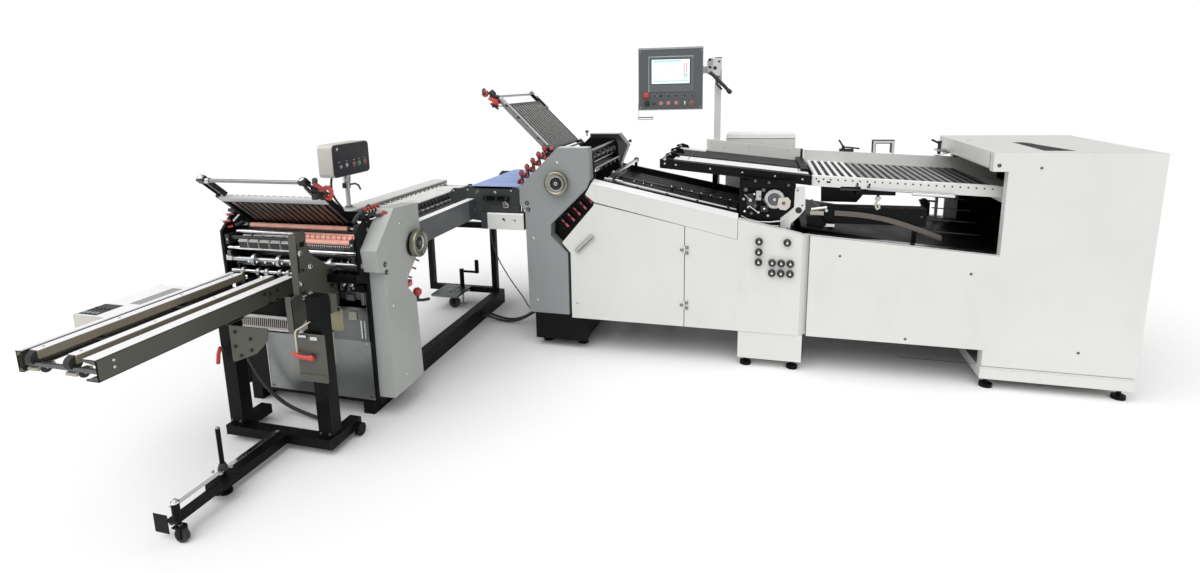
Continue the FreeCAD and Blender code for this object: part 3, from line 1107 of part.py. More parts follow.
# ---------------------------------------------------------------- fold unit 2
SIDE_STEP_Z = "side_waist_z - side_step_drop"


def unit_2_frames():
    """The right cover, the two frame plates with rods and the electrical cabinet between them."""
    cover = tray("unit2_cover", "YZ", [
        ("side_front", "side_top"), ("side_back", "side_top - 14"), ("side_back", "side_tail_z"),
        ("side_notch_y", "side_waist_z + side_notch_rise"), ("side_waist_y", "side_waist_z"),
        ("side_step_y", SIDE_STEP_Z),
        ("side_toe", "side_low"), ("side_column", "side_low"), ("side_column", "side_column_z"),
        ("side_lip_y", "side_lip_z"), ("side_brow_front", "side_brow_z")],
        "frame2_right", "cover2_deep", "skin", "low")
    node("cover_2", pierce(cover, "YZ", [("wheel2_y", "wheel2_z", "journal_radius + run_gap")]))
    outline = [
        ("frame2_brow_y", "frame2_top"), ("side_back", "frame2_top"), ("side_back", "side_tail_z - 40"),
        ("frame2_toe", SIDE_STEP_Z + " - 60"), ("frame2_toe", "base_high"), ("frame2_column", "base_high"),
        ("frame2_column", "frame2_nose_low - 20"), ("frame2_front", "frame2_nose_low"),
        ("frame2_front", "frame2_nose_z")]
    plates = []
    for name, start in (("right", "frame2_right - unit_plate"), ("left", "frame2_left")):
        side = plate("unit2_plate_" + name, "YZ", outline, start, "unit_plate")
        plates.append(pierce(side, "YZ", [
            ("wheel2_y", "wheel2_z", "journal_radius + run_gap"),
            ("red_y", "red_z", "journal_radius + run_gap"),
            ("rod_y", "slitter_z", "slitter_radius + run_gap")]))
    inside, wide = "frame2_left + unit_plate", "frame2_right - frame2_left - 2 * unit_plate"
    rods = [rod("unit2_rod_%d" % index, "x", (inside, "rod_y", z), "rod_radius", wide)
            for index, z in enumerate(("rod_high - 40", "rod_low"))]
    cabinet = block("unit2_cabinet", (inside, "frame2_front + 60", "base_high"),
                    ("frame2_right - unit_plate", "cabinet2_back", "cabinet2_top"))
    node("side_frames_2", fused("unit2_weld", plates + rods + [cabinet]))


def unit_2_rollers():
    """The red feed roller, the fold roller with its handwheel, and the slitter shaft."""
    left, right = "frame2_left", "frame2_right"
    inner_left, inner_right = "frame2_left + unit_plate + 1", "frame2_right - unit_plate - 1"
    node("feed_roller_2", roller("feed_2", "red_y", "red_z", "rubber_left", "rubber_right", "x",
                                 "roller_radius",
                                 left, right))
    node("fold_roller_2", roller("fold_2", "wheel2_y", "wheel2_z", inner_left, inner_right, "x",
                                 "roller_radius",
                                 left, CROSS_RIGHT + " + wheel_off + wheel_thick - 6"))

    def centre(offset, plus):
        return ("%s + %s" % (offset, plus), "wheel2_y", "wheel2_z")

    node("handwheel_2", wheel("wheel_2", "x", centre, (
        CROSS_RIGHT + " + wheel_off", "0", CROSS_RIGHT + " + wheel_off", "10", False)))
    shaft = rod("slitter_rod", "x", (left, "rod_y", "slitter_z"), "slitter_radius",
                right + " - frame2_left")
    collars = [rod("slitter_collar_%d" % index, "x", ("rubber_left + %s" % offset, "rod_y", "slitter_z"),
                   "collar_radius", "collar_long") for index, offset in enumerate(
                       ("60", "60 + collar_long * 8", "60 + collar_long * 16", "60 + collar_long * 24"))]
    node("slitter_shaft", fused("slitter_weld", [shaft] + collars))


def unit_2_plate():
    """The buckle plate of unit 2, laid back over the rollers, on its own cross bar."""
    angle = math.radians(S.plate2_tilt)
    heading = V(0, -math.cos(angle), math.sin(angle))
    wide = S.plate2_right - S.plate2_left
    corner = V(S.plate2_right, S.plate2_base_y, S.plate2_base_z + S.plate2_lift)
    plate_2 = buckle_plate("plate_2_grid", corner, heading, V(-1, 0, 0), wide, S.arm2_long, S.grid2_long,
                           S.grid2_bars, 0)
    inner = V(S.frame2_left + S.unit_plate, S.plate2_base_y - S.skin, S.plate2_base_z)
    bar = bar_shape(inner, V(S.frame2_right - S.unit_plate, S.plate2_base_y + S.plate2_lift - 2,
                                 S.plate2_base_z + S.plate2_lift - 2))
    node("fold_plate_2", fused("plate_2_weld", [plate_2, coded("plate_2_bar", bar)]))


# ---------------------------------------------------------------- delivery
MOUNT_X = "frame2_right - mount_in"
JACK_2_X = "tongue_left + tongue_wide / 2"
LEG_Y = "t_front + leg_in"
LEG_TOP = "channel_top - channel_high - 28"
RAIL_TOP = "channel_top - rail_drop"
END_BAR_Z = "channel_top - channel_high + end_bar_up"
PULLEY_Z = "channel_top - channel_high - pulley_drop"
COUNTER_TOP = "channel_top - counter_drop"


def delivery_bed():
    """The two long channels, their bars, the counter box and the plates that hang on unit 2."""
    bottom = "channel_top - channel_high"
    left, right = "delivery_left", "delivery_right"
    parts = [
        block("channel_left", (left, "delivery_front", bottom),
              (left + " + channel_skin", "delivery_back", "channel_top")),
        block("channel_right", (right + " - channel_skin", "delivery_front", bottom),
              (right, "delivery_back", "channel_top")),
        block("flange_left", (left, "delivery_front", "channel_top - channel_skin"),
              (left + " + flange_left", "delivery_back", "channel_top")),
        block("flange_right", (right + " - flange_right", "delivery_front", "channel_top - channel_skin"),
              (right, "delivery_back", "channel_top")),
        block("delivery_end_bar", (left, "delivery_front + 12", END_BAR_Z),
              (right, "delivery_front + 12 + end_bar", END_BAR_Z + " + end_bar")),
        block("delivery_rest", (left, LEG_Y + " - 30", bottom + " - 28"),
              ("t_right - 10", LEG_Y + " + 30", bottom)),
        block("delivery_tray", (left, "tray_near", bottom + " - 28"),
              (MOUNT_X, "tray_near + tray_deep", bottom))]
    parts.append(plate("mount_plate", "YZ", [
        ("mount_front", "mount_low"), ("mount_back", "mount_low"), ("mount_back", "mount_top - 60"),
        ("mount_front + 60", "mount_top"), ("mount_front", "mount_top - 200")], MOUNT_X, "mount_thick"))
    parts.append(block("mount_foot", (MOUNT_X, "mount_back - 8", "frame2_nose_low + 5"),
                       ("frame2_right", "frame2_front", "frame2_nose_low + 40")))
    counter = block("counter_box", ("counter_left", "counter_front", COUNTER_TOP + " - counter_high"),
                    (left, "counter_back", COUNTER_TOP))
    pulleys = [rod("end_pulley_%d" % index, "x", (x + " - end_pulley_wide / 2", "pulley_y", PULLEY_Z),
                   "end_pulley_radius", "end_pulley_wide")
               for index, x in enumerate(("rail_a_x", "rail_b_x"))]
    axle = rod("end_axle", "x", (left, "pulley_y", PULLEY_Z + " + 14"), "5",
               "delivery_right - delivery_left")
    node("delivery_bed", fused("bed_weld", parts + [axle] + pulleys), counter)


def delivery_rails():
    """The two inverted channel rails that carry the delivery belts, with their cross feet."""
    rails = []
    for name, x in (("a", "rail_a_x"), ("b", "rail_b_x")):
        top = block("rail_%s_top" % name, (x + " - rail_wide / 2", "rail_front", RAIL_TOP + " - skin"),
                    (x + " + rail_wide / 2", "delivery_back", RAIL_TOP))
        walls = [block("rail_%s_%s" % (name, side), (edge, "rail_front", RAIL_TOP + " - rail_high"),
                       (edge + " + skin", "delivery_back", RAIL_TOP))
                 for side, edge in (("left", x + " - rail_wide / 2"),
                                    ("right", x + " + rail_wide / 2 - skin"))]
        rails.append(fused("rail_%s" % name, [top] + walls))
    feet = [block("rail_foot_%d" % index,
                  ("delivery_left + channel_skin", y, RAIL_TOP + " - rail_high - 20"),
                  ("delivery_right - channel_skin", y + " + 24", RAIL_TOP + " - rail_high"))
            for index, y in enumerate(("rail_front + 120", "delivery_back - 120", LEG_Y))]
    node("delivery_rails", fused("rails_weld", rails + feet))


def delivery_stand():
    """The T stand: cross beam with small wheels, two legs, the tongue, its jack and castor arm."""
    low, high = "t_low", "t_high"
    parts = [
        block("t_cross", ("t_left", "t_front", low), ("t_right", "t_front + t_beam", high)),
        block("t_side", ("t_right - t_beam", "t_front + t_beam", low), ("t_right", "t_back", high)),
        block("t_side_left", ("t_left", "t_front + t_beam", low), ("t_left + t_beam", "t_back", high)),
        block("leg_right", ("t_right - 10 - leg_wide", LEG_Y + " - leg_deep / 2", low),
              ("t_right - 10", LEG_Y + " + leg_deep / 2", LEG_TOP)),
        block("leg_left", ("t_left + 4", LEG_Y + " - leg_deep / 2", low),
              ("t_left + 4 + leg_wide", LEG_Y + " + leg_deep / 2", LEG_TOP)),
        block("tongue", ("tongue_left", "tongue_tip", low), (TONGUE_RIGHT, "t_front", "tongue_high")),
        rod("jack2_screw", "z", (JACK_2_X, "tongue_tip + jack2_in", "12"), "9", "jack2_top - 12"),
        rod("jack2_pad", "z", (JACK_2_X, "tongue_tip + jack2_in", "0"), "26", "12"),
        block("castor_arm", (TONGUE_RIGHT + " - 6", "front_castor_y - arm_bar_wide / 2", high),
              (FRONT_CASTOR_X + " + arm_bar_wide / 2", "tongue_tip + 60", high + " + arm_bar_thick")),
        block("castor_arm_root", ("tongue_left", "tongue_tip", high + " - 3"),
              (TONGUE_RIGHT + " + 20", "tongue_tip + 60", high + " + arm_bar_thick"))]
    tube = rod("castor_tube", "z", (FRONT_CASTOR_X, "front_castor_y", high), "castor_stem + 6",
               "front_castor_stem - t_high")
    bore = rod("castor_tube_bore", "z", (FRONT_CASTOR_X, "front_castor_y", high + " - 1"),
               "castor_stem + run_gap", "front_castor_stem")
    frame = less("stand2_cut", fused("stand2_weld", parts + [tube]), [bore])
    wheels = [rod("small_wheel_%d" % index, "x", (x, "t_back - small_wheel", "small_wheel"),
                  "small_wheel", "22")
              for index, x in enumerate(("t_left - 22", "t_right"))]
    node("delivery_stand", frame, *wheels)


# ---------------------------------------------------------------- operator screen
BOOM_Z = "mast_top - boom_drop"


def screen():
    """The mast with its boom, the turning screen box and its stop button."""
    far = INNER_FAR
    mast = block("mast", ("mast_x - mast_side / 2", far + " - mast_side", "mast_low"),
                 ("mast_x + mast_side / 2", far, "mast_top"))
    boom = block("boom", ("mast_x - mast_side / 2 - boom_high * 2", far + " - mast_side + 9",
                          BOOM_Z + " - boom_high / 2"),
                 ("mast_x - mast_side / 2", far + " - 9", BOOM_Z + " + boom_high / 2"))
    eye_x = "mast_x - mast_side / 2 - boom_high * 2"
    eye = rod("boom_eye", "z", (eye_x, far + " - mast_side / 2", BOOM_Z + " - boom_high / 2"),
              "boom_thick", "boom_high")
    bore = rod("boom_bore", "z", (eye_x, far + " - mast_side / 2", BOOM_Z + " - boom_high"),
               "journal_radius + run_gap", "boom_high * 2")
    node("hmi_post", less("mast_cut", fused("mast_weld", [mast, boom, eye]), [bore]))

    turn = FreeCAD.Rotation(V(0, 0, 1), S.screen_turn)
    face = V(S.screen_x, S.screen_y - S.screen_deep, S.screen_z)
    half = V(S.screen_wide / 2, 0, S.screen_high / 2)
    case = bar_shape(-half, half + V(0, S.screen_deep, 0))
    hole = Part.makeCylinder(S.stop_stem_radius + S.run_gap, S.stop_stem_long,
                             V(S.stop_button_u, 0, S.stop_button_w),
                             V(0, 1, 0))
    case = case.cut(hole)
    case.Placement = FreeCAD.Placement(face, turn)
    eye_at = V(S.mast_x - S.mast_side / 2 - S.boom_high * 2,
               S.machine_width - S.cover_depth - S.plate_thick - S.mast_side / 2, S.mast_top - S.boom_drop)
    pin = Part.makeCylinder(S.journal_radius, S.boom_high + 16, eye_at - V(0, 0, S.boom_high / 2 + 8))
    cheeks = []
    for start in (-S.boom_high / 2 - 8.2, S.boom_high / 2 + 0.2):
        cheek = bar_shape(V(S.screen_x + 40, eye_at.y - 10, eye_at.z + start),
                          V(eye_at.x + 12, eye_at.y + 10, eye_at.z + start + 8))
        cheeks.append(cheek)
    spine = bar_shape(V(S.screen_x + 40, S.screen_y - 40, eye_at.z - S.boom_high / 2 - 8.2),
                      V(S.screen_x + 60, eye_at.y + 10, eye_at.z + S.boom_high / 2 + 8.2))
    node("hmi_box", coded("screen_case", case.fuse([pin, spine] + cheeks).removeSplitter()))
    press = Part.makeCylinder(S.stop_cap_radius, S.stop_cap_long,
                              V(S.stop_button_u, -S.stop_cap_long - 6, S.stop_button_w),
                              V(0, 1, 0))
    stem = Part.makeCylinder(S.stop_stem_radius, S.stop_stem_long,
                             V(S.stop_button_u, -6, S.stop_button_w), V(0, 1, 0))
    button = press.fuse(stem)
    button.Placement = FreeCAD.Placement(face, turn)
    node("emergency_stop", coded("stop_button", button))


# ---------------------------------------------------------------- cables
def cables():
    """The cords between the units, each laid as straight runs and tangent arcs."""
    left, top = S.web_left + 42, S.box_low
    thin = [V(left, 58, top), V(left, 58, top - 54), V(left + 14, 58, top - 132),
            V(left + 46, 58, top - 212),
            V(left + 92, 60, top - 292), V(left + 142, 66, top - 372), V(left + 190, 80, top - 444),
            V(left + 210, 94, top - 502), V(left + 238, 106, top - 540), V(S.plinth_back, 106, top - 540)]
    node("thin_cable", coded("thin_cord", cord("thin cable", thin, S.thin_radius)))
    wall = S.base_right
    for name, y in (("power_cable", 320), ("power_cable_second", 362)):
        route = [V(S.plinth_back, y, 130), V(S.plinth_back - 52, y, 130), V(S.plinth_back - 126, y, 92),
                 V(S.plinth_back - 202, y - 4, 42), V(S.plinth_back - 282, y + 2, 14),
                 V(wall + 136, y + 12, 14),
                 V(wall + 78, y + 8, 30), V(wall + 34, y + 2, 44), V(wall, y + 2, 44)]
        node(name, coded(name + "_cord", cord(name, route, S.power_radius)))
    start = V(S.delivery_left + 21, S.tray_near + 50, S.channel_top - S.channel_high - 28)
    hose = [start + V(*step) for step in (
        (0, 0, 0), (0, 0, -58), (4, 4, -150), (16, 12, -248), (40, 22, -344), (78, 30, -432),
        (134, 34, -508),
        (204, 34, -562), (290, 28, -590), (382, 14, -600), (470, -10, -598), (542, -40, -586),
        (590, -50, -580))]
    hose.append(V(S.t_right - S.t_beam, hose[-1].y, hose[-1].z))
    node("delivery_hose", coded("delivery_cord", cord("delivery hose", hose, S.hose_radius)))


main_frame()
feeder_covers()
feeder_bridge()
turn_roller()
feeder_base()
levelling_feet()
knob_panel()
air_knobs()
left_door()
rear_covers()
register_table()
register_cap()
belt_table()
roller_table()
table_rollers()
conveyor_belts()
lower_table()
feeder_head()
suction_drum()
unit_1_covers()
side_frames_1()
levers()
unit_1_rollers()
unit_1_plate()
exit_conveyor()
cross_table()
control_box()
stand_frame()
jack()
castors()
unit_2_frames()
unit_2_rollers()
unit_2_plate()
delivery_bed()
delivery_rails()
delivery_stand()
screen()
cables()
doc.recompute()

os.makedirs("parts", exist_ok=True)
for item in doc.Objects:
    if "Invalid" in item.State or "Error" in item.State:
        raise ValueError("%s: %s" % (item.Label, item.State))
for part in nodes:
    shape = part.Shape
    if shape.isNull() or not shape.isValid() or not shape.Solids:
        raise ValueError(part.Label + ": the shape isn't a valid solid")
    shape.exportStep("parts/%s.step" % part.Label)
box = Part.makeCompound([part.Shape for part in nodes]).BoundBox
print(len(nodes), "nodes, box", box)
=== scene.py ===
"""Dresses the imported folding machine: finishes for the CAD pieces, detailed pieces, light and camera."""
import math

import bmesh
import bpy
from bpy.props import FloatProperty, FloatVectorProperty, IntProperty, PointerProperty
from mathutils import Matrix, Vector


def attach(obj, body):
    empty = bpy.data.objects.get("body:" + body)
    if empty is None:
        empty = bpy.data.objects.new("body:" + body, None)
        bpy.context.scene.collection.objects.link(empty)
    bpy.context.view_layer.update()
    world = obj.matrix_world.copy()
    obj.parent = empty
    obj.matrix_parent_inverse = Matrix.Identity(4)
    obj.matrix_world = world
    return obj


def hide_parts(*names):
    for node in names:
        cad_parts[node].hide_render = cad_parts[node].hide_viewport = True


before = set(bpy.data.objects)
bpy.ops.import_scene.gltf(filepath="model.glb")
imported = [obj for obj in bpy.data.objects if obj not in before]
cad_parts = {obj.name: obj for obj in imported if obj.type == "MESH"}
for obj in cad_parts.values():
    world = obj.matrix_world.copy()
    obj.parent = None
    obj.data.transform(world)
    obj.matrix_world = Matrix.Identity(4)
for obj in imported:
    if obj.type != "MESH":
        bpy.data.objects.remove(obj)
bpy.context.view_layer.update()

bl_info = {
    "name": "Folding machine dresser",
    "version": (1, 0, 0),
    "blender": (4, 5, 0),
    "location": "View3D > Sidebar > Folder",
    "description": "Finishes and detailed pieces for a combination paper folding machine",
    "category": "Object",
}

DATUM = Vector((204.0, 412.5, 0.0))
SQUARE = ((-1, -1), (1, -1), (1, 1), (-1, 1))
FRONT, BACK, RIGHT, UP = (0, -1, 0), (0, 1, 0), (1, 0, 0), (0, 0, 1)
BOX_FACES = ((0, 3, 2, 1), (4, 5, 6, 7), (0, 1, 5, 4), (1, 2, 6, 5), (2, 3, 7, 6), (3, 0, 4, 7))
TO_FRONT, TO_BACK, TO_RIGHT, UPRIGHT = (90, 0, 0), (-90, 0, 0), (0, 90, 0), (0, 0, 0)
TINY = 1e-6
SMOOTH_ANGLE, EDGE_ANGLE, ITEM_ANGLE = 35, 40, 38


def at(x, y, z):
    """A place measured in millimetres from the machine's datum, as a point of the frame in metres."""
    return (Vector((x, y, z)) + DATUM) / 1000


# ---------------------------------------------------------------- finishes
class Nodes:
    """Short ways to build one material's node tree."""

    def __init__(self, name, colour, rough, metal=0.0):
        self.material = bpy.data.materials.new(name)
        self.material.use_nodes = True
        self.tree = self.material.node_tree
        self.shader = self.tree.nodes["Principled BSDF"]
        self.shader.inputs["Base Color"].default_value = (*colour, 1)
        self.shader.inputs["Roughness"].default_value = rough
        self.shader.inputs["Metallic"].default_value = metal
        self.place = self.new("ShaderNodeTexCoord").outputs["Object"]

    def new(self, kind, **values):
        """Adds a node of a kind with some of its values set."""
        node = self.tree.nodes.new(kind)
        for name, value in values.items():
            setattr(node, name, value)
        return node

    def link(self, source, target):
        """Links two sockets and gives back the node of the second."""
        self.tree.links.new(source, target)
        return target.node

    def noise(self, scale, detail=3.0, stretch=(1, 1, 1), rough=0.55):
        """A noise pattern in object space; stretch makes it run long in one direction."""
        mapping = self.new("ShaderNodeMapping")
        mapping.inputs["Scale"].default_value = stretch
        self.link(self.place, mapping.inputs["Vector"])
        noise = self.new("ShaderNodeTexNoise")
        noise.inputs["Scale"].default_value = scale
        noise.inputs["Detail"].default_value = detail
        noise.inputs["Roughness"].default_value = rough
        self.link(mapping.outputs[0], noise.inputs["Vector"])
        return noise.outputs["Fac"]

    def span(self, source, low, high, start=0.3, end=0.7):
        """Carries a 0 to 1 pattern over to a range of numbers."""
        spread = self.new("ShaderNodeMapRange")
        for name, value in (("From Min", start), ("From Max", end), ("To Min", low), ("To Max", high)):
            spread.inputs[name].default_value = value
        self.link(source, spread.inputs["Value"])
        return spread.outputs["Result"]

    def blend(self, factor, first, second, mode="MIX"):
        """Mixes two colours, or sockets that hold colours, by a factor."""
        mix = self.new("ShaderNodeMix", data_type="RGBA", blend_type=mode)
        for socket, value in ((mix.inputs[0], factor), (mix.inputs[6], first), (mix.inputs[7], second)):
            if isinstance(value, bpy.types.NodeSocket):
                self.link(value, socket)
            elif isinstance(value, (int, float)):
                socket.default_value = value
            else:
                socket.default_value = (*value, 1)
        return mix.outputs[2]

    def edges(self, radius):
        """How far the surface turns within a small radius: near 1 on edges and 0 on flats."""
        bevel = self.new("ShaderNodeBevel", samples=4)
        bevel.inputs["Radius"].default_value = radius
        geometry = self.new("ShaderNodeNewGeometry")
        dot = self.new("ShaderNodeVectorMath", operation="DOT_PRODUCT")
        self.link(bevel.outputs[0], dot.inputs[0])
        self.link(geometry.outputs["Normal"], dot.inputs[1])
        return self.span(dot.outputs["Value"], 1.0, 0.0, 0.72, 0.995)

    def relief(self, height, strength, distance, rounded=0.0):
        """Bump on the surface; rounded softens the shading of sharp edges."""
        bump = self.new("ShaderNodeBump")
        bump.inputs["Strength"].default_value = strength
        bump.inputs["Distance"].default_value = distance
        self.link(height, bump.inputs["Height"])
        if rounded:
            bevel = self.new("ShaderNodeBevel", samples=4)
            bevel.inputs["Radius"].default_value = rounded
            self.link(bevel.outputs[0], bump.inputs["Normal"])
        self.link(bump.outputs[0], self.shader.inputs["Normal"])


def powder_coat(name, colour, rough=0.42, grain=0.35, wear=0.25, shine=0.5):
    """Baked textured paint: fine orange peel, faint clouding, dusty smudges and rubbed edges."""
    m = Nodes(name, colour, rough)
    cloud = m.span(m.noise(2.2, 4), 0.0, 1.0, 0.35, 0.7)
    tone = m.blend(cloud, colour, [c * 0.955 for c in colour])
    smudge = m.span(m.noise(9.0, 5, (1, 1, 0.35)), 0.0, 0.5, 0.56, 0.78)
    tone = m.blend(smudge, tone, [c * 0.9 for c in colour])
    rub = m.new("ShaderNodeMath", operation="MULTIPLY")
    m.link(m.edges(0.0016), rub.inputs[0])
    m.link(m.span(m.noise(38.0, 3), 0.0, wear, 0.45, 0.62), rub.inputs[1])
    tone = m.blend(rub.outputs[0], tone, (0.42, 0.42, 0.42))
    m.link(tone, m.shader.inputs["Base Color"])
    m.link(m.span(m.noise(6.0, 4), rough - 0.05, rough + 0.09), m.shader.inputs["Roughness"])
    m.relief(m.noise(620.0, 2), grain, 0.00025, 0.0012)
    m.shader.inputs["Coat Weight"].default_value = 0.16 * shine
    m.shader.inputs["Specular IOR Level"].default_value = shine
    return m.material


def metal(name, colour, rough=0.3, streak=(1, 40, 40), depth=0.25):
    """Bare machined or ground metal: fine streaks along one direction, finger marks and dulled edges."""
    m = Nodes(name, colour, rough, 1.0)
    lines = m.noise(55.0, 4, streak, 0.7)
    marks = m.span(m.noise(14.0, 5), 0.0, 0.55, 0.5, 0.75)
    tone = m.blend(m.span(lines, 0.0, 1.0, 0.3, 0.7), [c * 0.86 for c in colour], colour)
    m.link(m.blend(marks, tone, [c * 0.72 for c in colour]), m.shader.inputs["Base Color"])
    m.link(m.span(lines, rough - 0.07, rough + 0.1, 0.3, 0.7), m.shader.inputs["Roughness"])
    m.relief(lines, depth, 0.00012, 0.0008)
    return m.material


def moulded(name, colour, rough=0.45, grain=0.2, scale=900.0):
    """Moulded plastic or rubber with a fine spark-eroded grain and slight dulling."""
    m = Nodes(name, colour, rough)
    dull = m.span(m.noise(20.0, 4), 0.0, 1.0, 0.4, 0.75)
    m.link(m.blend(dull, colour, [c * 0.8 + 0.012 for c in colour]), m.shader.inputs["Base Color"])
    m.link(m.span(m.noise(30.0, 3), rough - 0.06, rough + 0.08), m.shader.inputs["Roughness"])
    m.relief(m.noise(scale, 2), grain, 0.0002, 0.0008)
    return m.material


def woven(name, colour, rough=0.62, pitch=900.0):
    """Conveyor belting: a fine crossed weave with long wear tracks."""
    m = Nodes(name, colour, rough)
    waves = []
    for direction in ("X", "Y"):
        wave = m.new("ShaderNodeTexWave", wave_type="BANDS", bands_direction=direction)
        wave.inputs["Scale"].default_value = pitch / 6.3
        wave.inputs["Distortion"].default_value = 0.4
        m.link(m.place, wave.inputs["Vector"])
        waves.append(wave.outputs["Fac"])
    cross = m.new("ShaderNodeMath", operation="MULTIPLY")
    m.link(waves[0], cross.inputs[0])
    m.link(waves[1], cross.inputs[1])
    track = m.span(m.noise(16.0, 4, (0.12, 1, 1)), 0.0, 1.0, 0.35, 0.7)
    tone = m.blend(track, colour, [c * 0.78 + 0.01 for c in colour])
    m.link(m.blend(m.span(cross.outputs[0], 0.0, 0.35, 0.0, 1.0), tone, [c * 0.6 for c in colour]),
           m.shader.inputs["Base Color"])
    m.relief(cross.outputs[0], 0.4, 0.0003)
    return m.material


def glowing(name, colour, strength, rough=0.2):
    """A lit indicator or screen field behind a smooth cover."""
    m = Nodes(name, colour, rough)
    m.shader.inputs["Emission Color"].default_value = (*colour, 1)
    m.shader.inputs["Emission Strength"].default_value = strength
    m.relief(m.noise(300.0, 2), 0.05, 0.0001)
    return m.material


